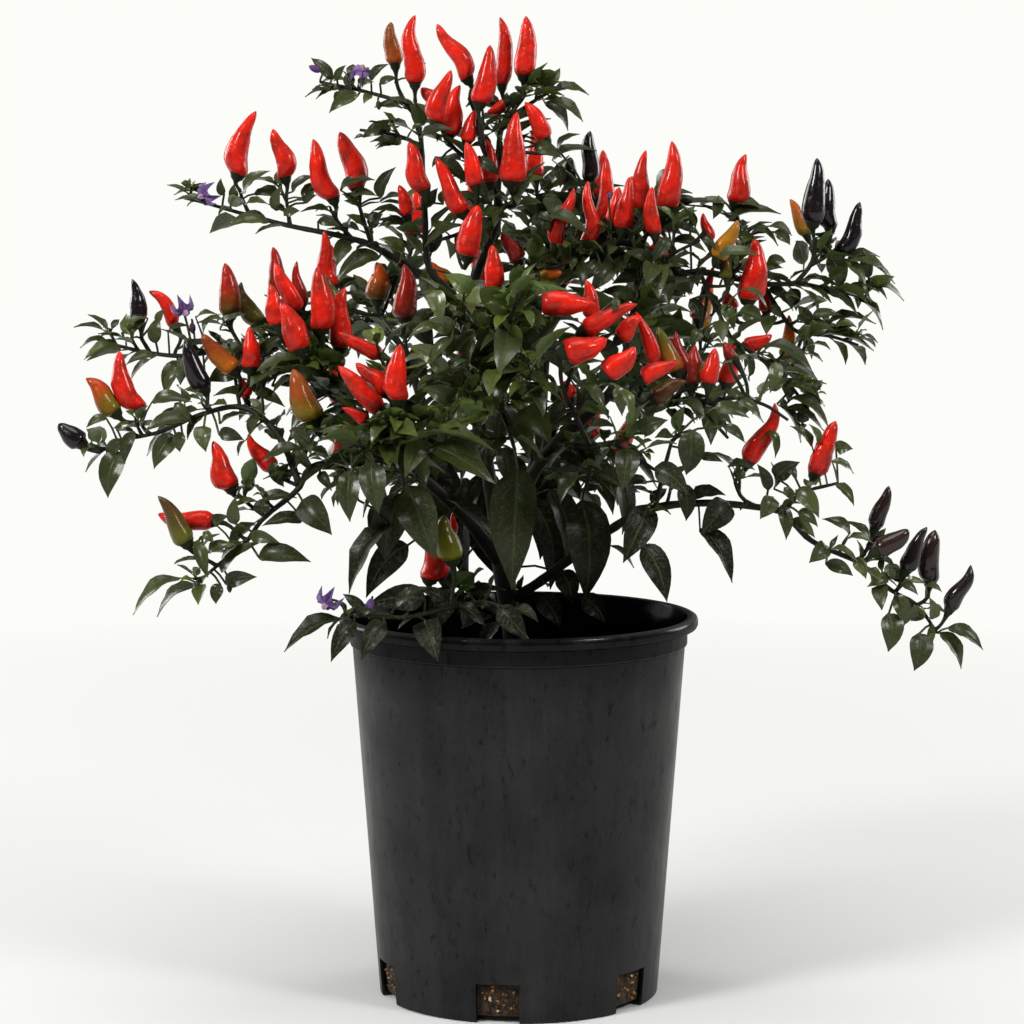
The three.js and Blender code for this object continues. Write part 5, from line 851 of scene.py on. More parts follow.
# Fruit whose colours differ from their row's: base and tip colours by the tip's place.
fruitOwnTints = {
    (391, 22): ((0.3, 0.05, 0.01), (0.16, 0.045, 0.015)), (293, 369): ((0.11, 0.095, 0.006), (0.22, 0.036, 0.008)),
    (86, 378): ((0.13, 0.095, 0.005), (0.38, 0.03, 0.006)), (202, 334): ((0.3, 0.075, 0.004), (0.15, 0.016, 0.005)),
    (225, 263): ((0.06, 0.045, 0.005), (0.26, 0.008, 0.005)), (377, 262): ((0.085, 0.03, 0.006), (0.5, 0.06, 0.006)),
    (738, 220): ((0.46, 0.18, 0.012), (0.3, 0.12, 0.012)), (790, 199): ((0.16, 0.12, 0.012), (0.42, 0.09, 0.02)),
    (687, 381): ((0.05, 0.018, 0.008), (0.07, 0.03, 0.01)), (658, 327): ((0.3, 0.07, 0.01), (0.07, 0.075, 0.01)),
    (909, 530): ((0.03, 0.014, 0.01), (0.03, 0.014, 0.01)), (889, 486): ((0.016, 0.009, 0.008), (0.03, 0.014, 0.01)),
    (927, 527): ((0.009, 0.005, 0.006), (0.014, 0.008, 0.008)),
    (935, 530): ((0.012, 0.007, 0.008), (0.026, 0.012, 0.009)),
    (971, 565): ((0.01, 0.006, 0.007), (0.014, 0.008, 0.008)),
    (444, 515): ((0.085, 0.105, 0.004), (0.032, 0.042, 0.004)),
}

# The rows of the table, each with its branch, the key of its own values and the name of its own node, if any.
fruitRows = []
for branch in stems:
    for i, (colour, *places, hasNode) in enumerate(peppers.get(branch, [])):
        own = f"pepper_{colour}_{branch.removeprefix('branch_')}_{i + 1}" if hasNode else None
        fruitRows.append({"branch": branch, "colour": colour, "places": places, "key": tuple(places[:2]), "own": own})

tipA, tipD, baseA, baseD, fruitWidths, fruitDepths = np.array([fruit["places"] for fruit in fruitRows], float).T
fruitTips = seen(np.stack([tipA, tipD, fruitDepths], -1))
fruitBases = seen(np.stack([baseA, baseD, fruitDepths], -1))
fruitRadii = fruitWidths * pixel / 2
fruitAxes = unit(fruitTips - fruitBases)
fruitLengths = np.linalg.norm(fruitTips - fruitBases, axis=1)
fruitRandom = np.random.default_rng(fruitLook["seed"]).uniform(0, 1, (len(fruitRows), 8))
fruitSide = unit(np.cross([0, -1.0, 0], fruitAxes))
ownBends = np.array([fruitBends.get(fruit["key"], 0.0) for fruit in fruitRows])
smallBends = (fruitRandom[:, 0] - 0.5) * fruitLook["bend"]
fruitBend = -np.where(ownBends != 0, ownBends, smallBends) * fruitLengths


# The bodies of conical fruit. Radius at share u of the height: a round shoulder, a quarter of an ellipse over
# the first seventh, times a taper (1 - u^p)^0.66 with its own p, and a shallow waist of its own at 0.72 of the
# height. The axis bows sideways by 4u(1 - u) times the bend and sways a little by the sine of 2 pi u, and low
# waves and dents uneven the skin.
def fruitBodies(which):
    look = fruitLook
    t = np.linspace(0, 1, look["rings"])
    u = (0.5 - 0.5 * np.cos(np.pi * t**0.9))[None, :] * np.ones((len(which), 1))
    random = fruitRandom[which]
    ownPower = np.array([fruitPowers.get(fruitRows[i]["key"], 0.0) for i in which])[:, None]
    power = np.where(ownPower > 0, ownPower, look["power"][0] + look["power"][1] * random[:, 1:2])
    shoulder = np.sqrt(1 - look["shoulderDrop"] * (1 - np.clip(u / look["shoulder"], 0, 1)) ** 2)
    radius = fruitRadii[which][:, None] * shoulder * np.maximum(1 - u**power, 0.0) ** look["taper"]
    waist = np.exp(-(((u - look["waistPlace"]) / look["waistWidth"]) ** 2))
    radius = np.maximum(radius * (1 - look["waist"] * random[:, 7:8] * waist), look["tipRadius"])
    axes, side, lengths = fruitAxes[which], fruitSide[which], fruitLengths[which]
    front = np.cross(axes, side)
    bow = 4 * u * (1 - u)
    sway = np.sin(2 * np.pi * u) * (random[:, 6:7] - 0.5) * look["sway"] * lengths[:, None]
    out = (bow * fruitBend[which][:, None] + sway)[..., None] * side[:, None, :]
    away = (bow * (random[:, 2:3] - 0.5) * look["lean"] * lengths[:, None])[..., None]
    middle = fruitBases[which][:, None, :] + (u * lengths[:, None])[..., None] * axes[:, None, :]
    middle = middle + out + away * front[:, None, :]
    angle = turnsOf(look["columns"])
    lobes = 1 + look["lobes"] * np.cos(3 * angle[None, None, :] + 6 * random[:, 3, None, None] + 2.4 * u[..., None])
    spoke = np.cos(angle)[:, None] * side[:, None, None, :] + np.sin(angle)[:, None] * front[:, None, None, :]
    rings = middle[:, :, None, :] + (radius[..., None] * lobes)[..., None] * spoke
    dents = 1.3 * unevenness(rings, *look["bigDents"]) + 0.5 * unevenness(rings, *look["smallDents"])
    amount = look["wrinkle"] * (0.3 + 1.6 * random[:, 4])
    rings = rings + (dents * amount[:, None, None] * radius[..., None])[..., None] * spoke
    return rings, u


# The colour along each fruit: from its base colour to its tip colour, patchy across the change, and with
# painted shade that makes it a little darker on the plant's right side.
def fruitTint(which, rings, u):
    ends = np.array([
        fruitOwnTints.get(fruitRows[i]["key"], fruitTints[fruitRows[i]["colour"]]) for i in which
    ])
    patch = unevenness(rings, *fruitLook["patches"])[..., None]
    share = smoothStep(0.0, 0.75, u[:, :, None, None] + 0.22 * patch)
    tint = ends[:, 0][:, None, None, :] * (1 - share) + ends[:, 1][:, None, None, :] * share
    # Painted shade: the fruit on the plant's right side are up to 15 % darker.
    paintedShadeRight = smoothStep(0.03, 0.09, fruitBases[which][:, 0])
    bright = (0.86 + 0.28 * fruitRandom[which][:, 5]) * (1 - 0.15 * paintedShadeRight)
    return tint * bright[:, None, None, None]


# The bodies of some fruit with their colours, as one stack.
def fruitParts(which):
    rings, u = fruitBodies(which)
    return [stackParts(rings, fruitTint(which, rings, u))]


# Fruit stalks with their cup-shaped calyces, for the fruit of one branch: a cubic from the nearest stem up to the
# fruit's foot, which it meets along the fruit's axis, with a radius that flares to the cup.
def stalkParts(branch, which):
    look = stalkLook
    axes = fruitAxes[which]
    foot = fruitBases[which] - axes * look["cup"]
    points, tangents = placesOn(branch)
    starts, leaving = [], []
    for place, axis in zip(foot, axes):
        nearest = np.argmin(np.linalg.norm(points - (place - axis * look["below"]), axis=1))
        starts.append(points[nearest])
        leaving.append(unit(tangents[nearest] * 0.5 + unit(place - points[nearest])))
    starts, leaving = np.array(starts), np.array(leaving)
    reach = np.linalg.norm(foot - starts, axis=1)[:, None]
    share = np.linspace(0, 1, look["rings"] - len(look["cupRings"]))
    neck = bentLine(starts, leaving * reach * 0.3, axes * reach * 0.4, foot, share)
    cupShare, ofFoot, ofStalk = np.array(look["cupRings"]).T
    cup = foot[:, None, :] + (cupShare[None, :, None] * look["cup"]) * axes[:, None, :]
    neckRadius = look["radius"] * (1.15 - 0.3 * np.sin(share * np.pi) + 0.35 * share**6)
    neckRadii = np.broadcast_to(neckRadius, (len(which), len(share)))
    cupRadii = ofFoot * fruitRadii[which][:, None] + ofStalk * look["radius"]
    paths, radii = np.concatenate([neck, cup], axis=1), np.concatenate([neckRadii, cupRadii], axis=1)
    rings = tubeRings(paths, radii, look["columns"])
    return [stackParts(rings, np.array(look["tint"]) * (0.8 + 0.5 * fruitRandom[which][:, 6])[:, None, None, None])]


# What a user would change in the leaves. Lengths in metres, angles in degrees; spacings are along a stem. A pair is
# the least and the greatest, or for `sizeNoise` and `lightNoise` the least and the spread of a draw. `spread` is how
# far a node strays, in shares of the spacing, and a leaf from its node. Leaves within `end` of a stem's end are
# shorter by up to `endLess`. `fresh` is how fresh leaves are there, how fresh a few are and the draw that they are
# above, and how fresh those at a tip are.
leafLook = {
    "seed": 11,
    "nodeSpacing": 0.0120,
    "nodeLeaves": 3,
    "turn": 137.5,
    "length": (0.014, 0.036),
    "limbLength": 1.2,
    "tipLength": 0.5,
    "width": 0.38,
    "sizeNoise": (0.85, 0.3),
    "petiole": 0.25,
    "petioleWidth": 0.00055,
    "petioleThick": 0.0011,
    "edgeWidth": 0.00012,
    "thick": 0.0005,
    "fold": 0.46,
    "wave": 0.12,
    "roll": 1.5,
    "droop": (8, 62),
    "curl": 40,
    "rise": (-28, 58),
    "lightNoise": (0.72, 0.56),
    "spread": (0.2, 0.0014),
    "end": 0.02,
    "endLess": 0.3,
    "fresh": (0.3, 0.2, 0.9, 0.6),
}

# What a user would change in the short leafy shoots. `reach` is how far from the heart of the plant, a place 0.30
# above the ground, they go from long to short.
shootLook = {
    "seed": 23,
    "spacing": 0.011,
    "length": (0.006, 0.020),
    "leaves": 5,
    "leafStep": 0.16,
    "rise": 20,
    "droop": -0.4,
    "heart": (0, 0, 0.30),
    "reach": (0.075, 0.125),
}

# What a user would change in the leaves with a row of their own. Shares are of the length; `slimmest` is the least
# width, `depth` and `tipDepth` draw the depths of rows that have none, in millimetres.
namedLook = {
    "seed": 19,
    "petiole": 0.2,
    "sag": 0.08,
    "slimmest": 0.4,
    "leave": (0.35, 0.20),
    "arrive": (0.35, -0.14),
    "depth": (2, 6),
    "tipDepth": (-7, 3),
    "viewer": (0, -1, 0.1),
    "guarded": 0.35,
}

# What a user would change in how leaves stand: the first place with a leaf on a limb and on a branch, how strongly a
# leaf goes sideways, along its stem, outwards and up, and what it keeps clear of. `named` is the least length of
# a named leaf that counts, the depths are how far back a fruit or leaf still shows, and `gap` and `seenGap`, in
# metres and pixels, are kept to `share` of the radius. A leaf in trouble costs `inside` and `covering` for each of
# its samples and `turned` for each turn tried before, and goes unless it costs less than `most`.
leafPlacing = {
    "first": (0.06, 0.006),
    "pulls": (0.9, 0.75, 0.3, 0.22),
    "named": 0.014,
    "fruitDepth": 0.04,
    "leafDepth": -0.01,
    "foot": 0.18,
    "share": 0.95,
    "gap": 0.0008,
    "seenGap": 2.0,
    "inside": 4,
    "covering": 3,
    "turned": 0.05,
    "most": 3,
}

# The colours of leaves, and how far out the outermost and the inner leaves are and how high the low ones, in
# metres. Painted light and shade: the outermost ones are painted lighter than `middle` by `more`, and low inner ones
# get painted shade, darker by `less`.
leafTints = {
    "old": (0.042, 0.053, 0.0115),
    "dark": (0.017, 0.022, 0.006),
    "young": (0.085, 0.135, 0.008),
    "outer": (0.05, 0.17),
    "inner": (0.15, 0.09),
    "low": (0.31, 0.23),
    "middle": 0.75,
    "more": 0.45,
    "less": 0.84,
}

# How many of the leaf sites of a branch bear a leaf, as a share, the size of its leaves against the others, and how
# light they are painted: painted light and shade, branch by branch.
leafShares = {
    "main_stem": (0.50, 1.0, 1.2),
    "branch_top": (0.47, 0.85, 1.15),
    "branch_top_left": (0.32, 0.7, 1.1),
    "branch_left_upper": (0.42, 0.75, 1.1),
    "branch_left_middle": (0.4, 0.75, 1.1),
    "branch_left_arm": (0.4, 0.8, 1.1),
    "branch_left_lower": (0.3, 0.8, 1.1),
    "branch_left_inner": (1.0, 1.0, 1.2),
    "branch_front_left": (1.0, 1.05, 2.0),
    "branch_front_center": (1.0, 1.1, 2.0),
    "branch_front_right": (0.3, 0.85, 1.55),
    "branch_crown": (1.0, 1.0, 1.1),
    "branch_right_arm": (0.16, 0.75, 1.25),
    "branch_right_upper": (0.75, 0.8, 1.0),
    "branch_right_inner": (0.42, 0.8, 1.55),
    "branch_rim_left": (0.4, 0.8, 0.7),
}
shareTable = np.array([leafShares.get(branch, (1, 1, 1)) for branch in stems])

# The turns, as (sideways, upwards) in degrees, that a leaf may take to keep clear of the fruit.
leafTurns = [(0, 0), (24, 0), (-24, 0), (0, 24), (0, -28), (48, 8), (-48, 8), (80, 0), (-80, 0), (115, 0), (-115, 0)]

# Where the rings of a shoot, a small leaf and a large leaf stand, in shares of the length, and a leaf's columns.
shootShares = np.array([0, 0.25, 0.5, 0.75, 1.0])
smallShares = np.array([0, 0.13, 0.25, 0.31, 0.41, 0.53, 0.67, 0.81, 0.92, 1.0])
smallColumns = 4
largeShares = np.array([0, 0.1, 0.2, 0.23, 0.29, 0.36, 0.44, 0.53, 0.62, 0.71, 0.80, 0.88, 0.95, 1.0])
largeColumns = 8


# The middle lines of leaves: the heading starts at angle `rise` above level and sinks by `droop` towards the tip
# as the share of the length to the power 1.3, while it turns sideways by `curl` times the share; the line is the
# running sum of the headings.
def leafLines(starts, level, rise, droop, curl, lengths, shares):
    steps = 24
    fine = np.linspace(0, 1, steps + 1)
    angle = rise[:, None] - droop[:, None] * fine[None, :] ** 1.3
    turn = curl[:, None] * fine[None, :]
    beside = np.cross([0, 0, 1.0], level)
    flat = np.cos(turn)[..., None] * level[:, None, :] + np.sin(turn)[..., None] * beside[:, None, :]
    heading = np.cos(angle)[..., None] * flat
    heading[..., 2] += np.sin(angle)
    run = np.cumsum(heading, axis=1) * (lengths / steps)[:, None, None]
    travelled = between(run, shares * steps) - run[:, :1]
    return starts[:, None, :] + travelled, unit(between(heading, shares * steps))


# The colour of leaves: a mix of old and dark by chance, and of young green by `fresh`. Painted shade darkens the
# leaves low round the trunk, painted light lightens the outermost ones, and each branch has its own painted
# lightness.
def leafTint(places, random, fresh, owners):
    look, shade = leafTints, random[:, 6:7]
    old = np.array(look["old"]) * (1 - shade) + np.array(look["dark"]) * shade
    reach = np.linalg.norm(places[:, :2], axis=1)
    outer = smoothStep(*look["outer"], reach)
    low = smoothStep(*look["low"], places[:, 2]) * smoothStep(*look["inner"], reach)
    least, spread = leafLook["lightNoise"]
    # Painted light and shade: lighter outside, darker low round the trunk, then each branch's painted lightness.
    light = (look["middle"] + look["more"] * outer) * (1 - look["less"] * low)
    light = light * shareTable[owners, 2] * (least + spread * random[:, 4])
    return (old * (1 - fresh) + np.array(look["young"]) * fresh) * light[:, None]


# Rings of leaves along their middle lines. The half width over the blade's share b is b^0.6 (1 - b)^1.15, scaled
# to one at its widest; the blade folds up along its midrib, its edges wave, and it is a thin lens in section.
def leafRings(line, tangent, sideways, widths, shares, petiole, columns, random):
    look = leafLook
    rise, fall = 0.6, 1.15
    upward = np.cross(sideways, tangent)
    blade = np.clip((shares - petiole) / (1 - petiole), 0, 1)
    half = blade**rise * (1 - blade) ** fall
    half = half / (0.343**rise * 0.657**fall)
    least = np.where(shares < petiole + 0.02, look["petioleWidth"], look["edgeWidth"])
    halfWidth = np.maximum(widths[:, None] / 2 * half[None, :], least[None, :])
    over = columns // 2 + 1
    v = np.concatenate([np.linspace(-1, 1, over), np.linspace(1, -1, over)[1:-1]])
    isTop = np.arange(columns) < over
    thick = np.where(shares < petiole, look["petioleThick"], look["thick"])[None, :, None]
    lens = np.where(isTop, 1, -1) * (1 - v**2) * 0.5
    fold = look["fold"] * smoothStep(0, 0.2, blade)[None, :, None]
    start, pace = 6.3 * random[:, 0], 0.7 + 0.6 * random[:, 1]
    phase = start[:, None, None] + blade[None, :, None] * 15 * pace[:, None, None]
    swell = np.sin(np.pi * blade)[None, :, None]
    wave = look["wave"] * np.sin(phase + 2.2 * np.sign(v)) * np.abs(v) * swell
    lift = lens * thick + halfWidth[..., None] * (np.abs(v) * fold + wave)
    across = halfWidth[..., None] * v
    return line[:, :, None, :] + across[..., None] * sideways[:, :, None, :] + lift[..., None] * upward[:, :, None, :]


# Where the corners of a leaf's ring stand across its surface: 0 to 1 over the upper face and 2 to 3 underneath.
def leafSpans(columns):
    over = columns // 2 + 1
    top, under = np.linspace(0, 1, over), np.linspace(3, 2, over)
    return np.concatenate([np.stack([top[:-1], top[1:]], -1), np.stack([under[:-1], under[1:]], -1)])


# Side directions square to the tangents, level at first and rolled by an angle about them.
def leafSides(tangent, roll):
    level = unit(np.cross(tangent, [0, 0, 1.0]))
    up = np.cross(level, tangent)
    return level * np.cos(roll)[:, None, None] + up * np.sin(roll)[:, None, None]


# Every `spacing` along the stems of a branch, from `first` on, a node with `several` sites: the place on the stem,
# the turn round it, the number of its branch, and draws.
def sitesAlong(number, places, first, spacing, several, rng):
    found = []
    astray, apart = leafLook["spread"]
    for stem in places:
        nodes = np.arange(first, stem["travelled"][-1] + 0.5 * milli, spacing)
        travel = np.repeat(nodes + rng.uniform(-astray, astray, len(nodes)) * spacing, several)
        travel = travel + rng.uniform(-apart, apart, len(travel))
        picked = np.round(travel / milli).astype(int).clip(0, len(stem["point"]) - 1)
        site = {key: values[picked] for key, values in stem.items()}
        site["turn"] = np.radians(leafLook["turn"]) * np.arange(len(travel)) + rng.uniform(0, 6.28)
        site["branch"] = np.full(len(travel), number)
        site["tip"] = np.zeros(len(travel), bool)
        site["random"] = rng.uniform(0, 1, (len(travel), 8))
        found.append(site)
    return found


# Several tables of sites as one.
def joinedSites(found):
    return {key: np.concatenate([site[key] for site in found]) for key in found[0]}


# The share of the sites that their branches keep.
def someOf(site, rng):
    kept = rng.uniform(0, 1, len(site["branch"])) < shareTable[site["branch"], 0]
    return {key: values[kept] for key, values in site.items()}


# The places along the stems that bear a leaf each, and those that bear a short leafy shoot. The trunk is bare, and
# so is the foot of every limb and branch.
def leafAndShootSites():
    rng = np.random.default_rng(leafLook["seed"])
    leaf, shoot = [], []
    for number, branch in enumerate(stems):
        isLimb = branch == "main_stem"
        places = stemPlaces[branch][1:] if isLimb else stemPlaces[branch]
        first = leafPlacing["first"][0 if isLimb else 1]
        leaf += sitesAlong(number, places, first, leafLook["nodeSpacing"], leafLook["nodeLeaves"], rng)
        shoot += sitesAlong(number, places, first + 0.004, shootLook["spacing"], 1, rng)
    return someOf(joinedSites(leaf), rng), someOf(joinedSites(shoot), rng)


# Short shoots: a line from each site out and upwards, longer near the middle of the plant, and on each of them
# the sites of its leaves, one to a step of the turn, the last ones at its tip.
def makeShoots(site):
    random = site["random"]
    low, high = shootLook["length"]
    away = np.linalg.norm(site["point"] - shootLook["heart"], axis=1)
    inner = 1 - smoothStep(*shootLook["reach"], away)
    length = low + (high - low) * (0.25 * random[:, 0] + 0.75 * inner * random[:, 1])
    level, rise = leafHeadings(site, (0, shootLook["rise"]))
    droop = shootLook["droop"] * np.ones(len(rise))
    line, tangent = leafLines(site["point"], level, rise, droop, 0 * rise, length, shootShares)
    count = shootLook["leaves"]
    share = 1 - shootLook["leafStep"] * (count - 1 - np.arange(count))
    place = share * (len(shootShares) - 1)
    along = tangent[:, np.minimum(place.astype(int), len(shootShares) - 2)]
    side, up = squareTo(along)
    turn = np.radians(leafLook["turn"]) * np.arange(count)[None, :] + 6.28 * random[:, 5:6]
    draws = np.random.default_rng(shootLook["seed"]).uniform(0, 1, (len(length), count, 8))
    shape = (len(length), count)
    leaf = {
        "point": between(line, place).reshape(-1, 3),
        "tangent": along.reshape(-1, 3),
        "side": side.reshape(-1, 3),
        "up": up.reshape(-1, 3),
        "travelled": np.broadcast_to(length[:, None], shape).ravel(),
        "left": ((1 - share)[None, :] * length[:, None]).ravel(),
        "tip": np.broadcast_to(share == 1, shape).ravel(),
        "turn": turn.ravel(),
        "branch": np.repeat(site["branch"], count),
        "random": draws.reshape(-1, 8),
    }
    return line, leaf


# Distances from points to segments, (N, 3) against (M, 3) ends: to the nearest place on each, between its ends.
def segmentDistances(points, starts, ends):
    run = ends - starts
    offset = points[:, None, :] - starts[None, :, :]
    share = np.clip((offset * run).sum(-1) / (run * run).sum(-1), 0, 1)
    return np.linalg.norm(offset - share[..., None] * run, axis=-1)


# What leaves keep clear of: the fruit, the flowers and the larger named leaves, as lines with a radius. Those in
# front of the plant's middle, give or take, aren't covered either.
def makeObstacles(named):
    flowerPlaces = np.array([seen(row[1:4]) for row in flowers])
    large = np.linalg.norm(named["ends"] - named["starts"], axis=1) > leafPlacing["named"]
    starts = np.concatenate([fruitBases, flowerPlaces, named["starts"][large]])
    ends = np.concatenate([fruitTips, flowerPlaces + np.array([0, -milli, milli]), named["ends"][large]])
    radii = np.concatenate([fruitRadii, [row[4] * pixel / 2 for row in flowers], named["radii"][large]])
    depths = (starts[:, 1] + ends[:, 1]) / 2
    isFruit = np.arange(len(starts)) < len(fruitBases) + len(flowerPlaces)
    shown = depths < np.where(isFruit, leafPlacing["fruitDepth"], leafPlacing["leafDepth"])
    return {"starts": starts, "ends": ends, "radii": radii, "shown": shown}


# How badly leaves stand: for each, how many of its sample points lie inside an obstacle, and how many lie in front
# of one that the picture shows. The samples are the blade's foot, middle, tip and two edges.
def leafTrouble(line, half, sideways):
    foot, middle = 3, 5
    samples = np.stack([line[:, foot], line[:, middle], line[:, -2], line[:, middle], line[:, middle]], axis=1)
    samples[:, 3] += sideways[:, middle] * half[:, None]
    samples[:, 4] -= sideways[:, middle] * half[:, None]
    look, flat = leafPlacing, samples.reshape(-1, 3)
    distance = segmentDistances(flat, obstacles["starts"], obstacles["ends"])
    inside = (distance < obstacles["radii"] * look["share"] + look["gap"]).any(axis=1)
    run = obstacles["ends"] - obstacles["starts"]
    starts = inPicture(obstacles["starts"] + look["foot"] * run) * [1, 1, 0]
    ends = inPicture(obstacles["ends"]) * [1, 1, 0]
    apart = segmentDistances(inPicture(flat) * [1, 1, 0], starts, ends)
    over = (apart < obstacles["radii"] / pixel * look["share"] + look["seenGap"]) & obstacles["shown"]
    nearer = flat[:, 1:2] < obstacles["starts"][:, 1] + run[:, 1] / 2
    covering = (over & nearer).any(axis=1)
    shape = samples.shape[:2]
    return inside.reshape(shape).sum(axis=1), covering.reshape(shape).sum(axis=1)


# A level way and a rise for each leaf, from its site and one of the turns. Its way is the sum of the four pulls.
def leafHeadings(site, turn):
    spoke = np.cos(site["turn"])[:, None] * site["side"] + np.sin(site["turn"])[:, None] * site["up"]
    outward = unit(site["point"] * [1, 1, 0])
    across, along, out, up = leafPlacing["pulls"]
    way = unit(spoke * across + site["tangent"] * along + outward * out + np.array([0, 0, up]))
    sideways, upwards = np.radians(turn[0]), np.radians(turn[1])
    level = unit(way * [1, 1, 0])
    x = level[:, 0] * math.cos(sideways) - level[:, 1] * math.sin(sideways)
    y = level[:, 0] * math.sin(sideways) + level[:, 1] * math.cos(sideways)
    level = np.stack([x, y, np.zeros(len(x))], -1)
    lowest, highest = np.radians(leafLook["rise"])
    rise = np.clip(np.arcsin(np.clip(way[:, 2], -1, 1)), lowest, highest) + upwards
    return level, rise


# Whether leaves stay within the model's box, give or take 5 mm.
def withinBox(rings):
    low, high = np.array(cadBox[0]) - 0.005, np.array(cadBox[1]) + 0.005
    return ((rings > low) & (rings < high)).all(axis=(1, 2, 3))


# The small leaves of some sites: for each one the turn with the least trouble, and none where no turn is clear.
def smallLeaves(site):
    look, random = leafLook, site["random"]
    low, high = look["length"]
    towardsEnd = smoothStep(look["end"], 0.0, site["left"])
    limbFactor = np.where(site["branch"] == 0, look["limbLength"], 1.0)
    length = (low + (high - low) * random[:, 2] ** 1.3) * (1 - look["endLess"] * towardsEnd) * limbFactor
    length = length * shareTable[site["branch"], 1] * np.where(site["tip"], look["tipLength"], 1.0)
    droopLow, droopHigh = np.radians(look["droop"])
    droop = droopLow + (droopHigh - droopLow) * random[:, 3]
    width = length * look["width"] * (look["sizeNoise"][0] + look["sizeNoise"][1] * random[:, 4])
    roll = (random[:, 5] - 0.5) * look["roll"]
    curl = (random[:, 0] - 0.5) * 2 * math.radians(look["curl"])
    leastCost, best = None, None
    for number, turn in enumerate(leafTurns):
        level, rise = leafHeadings(site, turn)
        line, tangent = leafLines(site["point"], level, rise, droop, curl, length, smallShares)
        tried = (line, tangent, leafSides(tangent, roll))
        inside, covering = leafTrouble(line, width / 2, tried[2])
        cost = inside * leafPlacing["inside"] + covering * leafPlacing["covering"] + number * leafPlacing["turned"]
        if best is None:
            leastCost, best = cost, tried
        better = (cost < leastCost)[:, None, None]
        best = [np.where(better, new, old) for new, old in zip(tried, best)]
        leastCost = np.minimum(cost, leastCost)
    rings = leafRings(*best, width, smallShares, look["petiole"], smallColumns, random)
    clear = (leastCost < leafPlacing["most"]) & withinBox(rings)
    atEnd, some, rare, atTip = look["fresh"]
    fresh = towardsEnd * atEnd * random[:, 1] + some * (random[:, 7] > rare) + atTip * site["tip"]
    tint = leafTint(site["point"], random, np.clip(fresh, 0, 1)[:, None], site["branch"])
    return rings[clear], tint[clear], site["branch"][clear]


# The rows of a branch's own leaves. The depths of a row that has none are 2 to 6 mm in front of the stem place that
# is nearest in the picture, and a little more at the tip.
def rowsWithDepths(branch, points, rng):
    places = inPicture(points)
    found = []
    for row in largeLeaves.get(branch, []):
        if len(row) == 5:
            nearest = np.argmin(np.hypot(places[:, 0] - row[0], places[:, 1] - row[1]))
            near = places[nearest, 2] - rng.uniform(*namedLook["depth"])
            row = (*row, near, near + rng.uniform(*namedLook["tipDepth"]))
        found.append(row)
    return found


# Leaves from their rows of the table: from the nearest stem of the branch along a petiole that sags upwards by
# 4s(1 - s) to the blade's base, and on to the blade's tip along a cubic with an arch. A blade is never narrower
# than two fifths of its length: a leaf that is seen narrower is turned about its midrib until it looks that wide.
def namedLeaves():
    look = namedLook
    rng = np.random.default_rng(look["seed"])
    starts, bases, tips, widths, owners = [], [], [], [], []
    for number, branch in enumerate(stems):
        points, _ = placesOn(branch)
        for baseA, baseD, tipA, tipD, width, baseDepth, tipDepth in rowsWithDepths(branch, points, rng):
            base = seen((baseA, baseD, baseDepth))
            starts.append(points[np.argmin(np.linalg.norm(points - base, axis=1))])
            bases.append(base)
            tips.append(seen((tipA, tipD, tipDepth)))
            widths.append(width * pixel)
            owners.append(number)
    starts, bases, tips, widths, owners = (np.array(values) for values in (starts, bases, tips, widths, owners))
    random = rng.uniform(0, 1, (len(starts), 8))
    blade = tips - bases
    length = np.linalg.norm(blade, axis=1)
    way = blade / length[:, None]
    facing = unit(bases * [1, 1, 0]) * 0.5 + np.array([0, -0.4, 0.75])
    lift = unit(facing - (facing * way).sum(-1, keepdims=True) * way)
    viewer = np.array(look["viewer"])
    toViewer = unit(viewer - (viewer * way).sum(-1, keepdims=True) * way)
    above = np.cross(way, toViewer)
    above = above * np.where(above[:, 2:3] < 0, -1, 1)
    trueWidths = np.maximum(widths, look["slimmest"] * length)
    share = (widths / trueWidths)[:, None]
    normal = toViewer * share + above * np.sqrt(np.maximum(1 - share**2, 0))
    leave, arrive = (blade * look[end][0] + lift * length[:, None] * look[end][1] for end in ("leave", "arrive"))
    petiole = look["petiole"]
    over = bentLine(bases, leave, arrive, tips, (largeShares[largeShares >= petiole] - petiole) / (1 - petiole))
    s = (largeShares[largeShares < petiole] / petiole)[None, :, None]
    reach = np.linalg.norm(bases - starts, axis=1)[:, None, None]
    sag = (4 * s * (1 - s)) * reach * look["sag"] * np.array([0, 0, 1.0])
    under = starts[:, None] * (1 - s) + bases[:, None] * s + sag
    line = np.concatenate([under, over], axis=1)
    tangent = unit(np.gradient(line, axis=1))
    sideways = unit(np.cross(tangent, normal[:, None, :]))
    rings = leafRings(line, tangent, sideways, trueWidths, largeShares, petiole, largeColumns, random)
    fresh = 0.25 * (random[:, 7:8] > 0.9) * (bases[:, 2:] > 0.27)
    tint = leafTint(bases, random, fresh, owners)
    return rings, tint, owners, {"starts": bases, "ends": tips, "radii": widths * look["guarded"]}


leafSites, shootSites = leafAndShootSites()
shootLines, shootLeafSites = makeShoots(shootSites)
*large, largeLines = namedLeaves()
obstacles = makeObstacles(largeLines)
small = smallLeaves(joinedSites([leafSites, shootLeafSites]))
print("leaves:", len(small[0]), "small and", len(large[0]), "large")


# The stems of a branch's short shoots: tubes that thin evenly.
def shootParts(branch):
    own = shootSites["branch"] == list(stems).index(branch)
    radii = np.broadcast_to(np.linspace(*stemLook["shootRadii"], len(shootShares)), (own.sum(), len(shootShares)))
    rings = tubeRings(shootLines[own], radii, stemLook["shootColumns"])
    return [stackParts(rings, np.array(stemLook["twig"]["tint"]))]


# The leaves of a branch, the small ones and the large ones each as one stack.
def leafParts(branch):
    parts = []
    for leaves, columns, shares in ((small, smallColumns, smallShares), (large, largeColumns, largeShares)):
        rings, tint, owner = leaves
        own = owner == list(stems).index(branch)
        if own.any():
            parts.append(stackParts(rings[own], tint[own][:, None, None, :], leafSpans(columns), shares))
    return parts


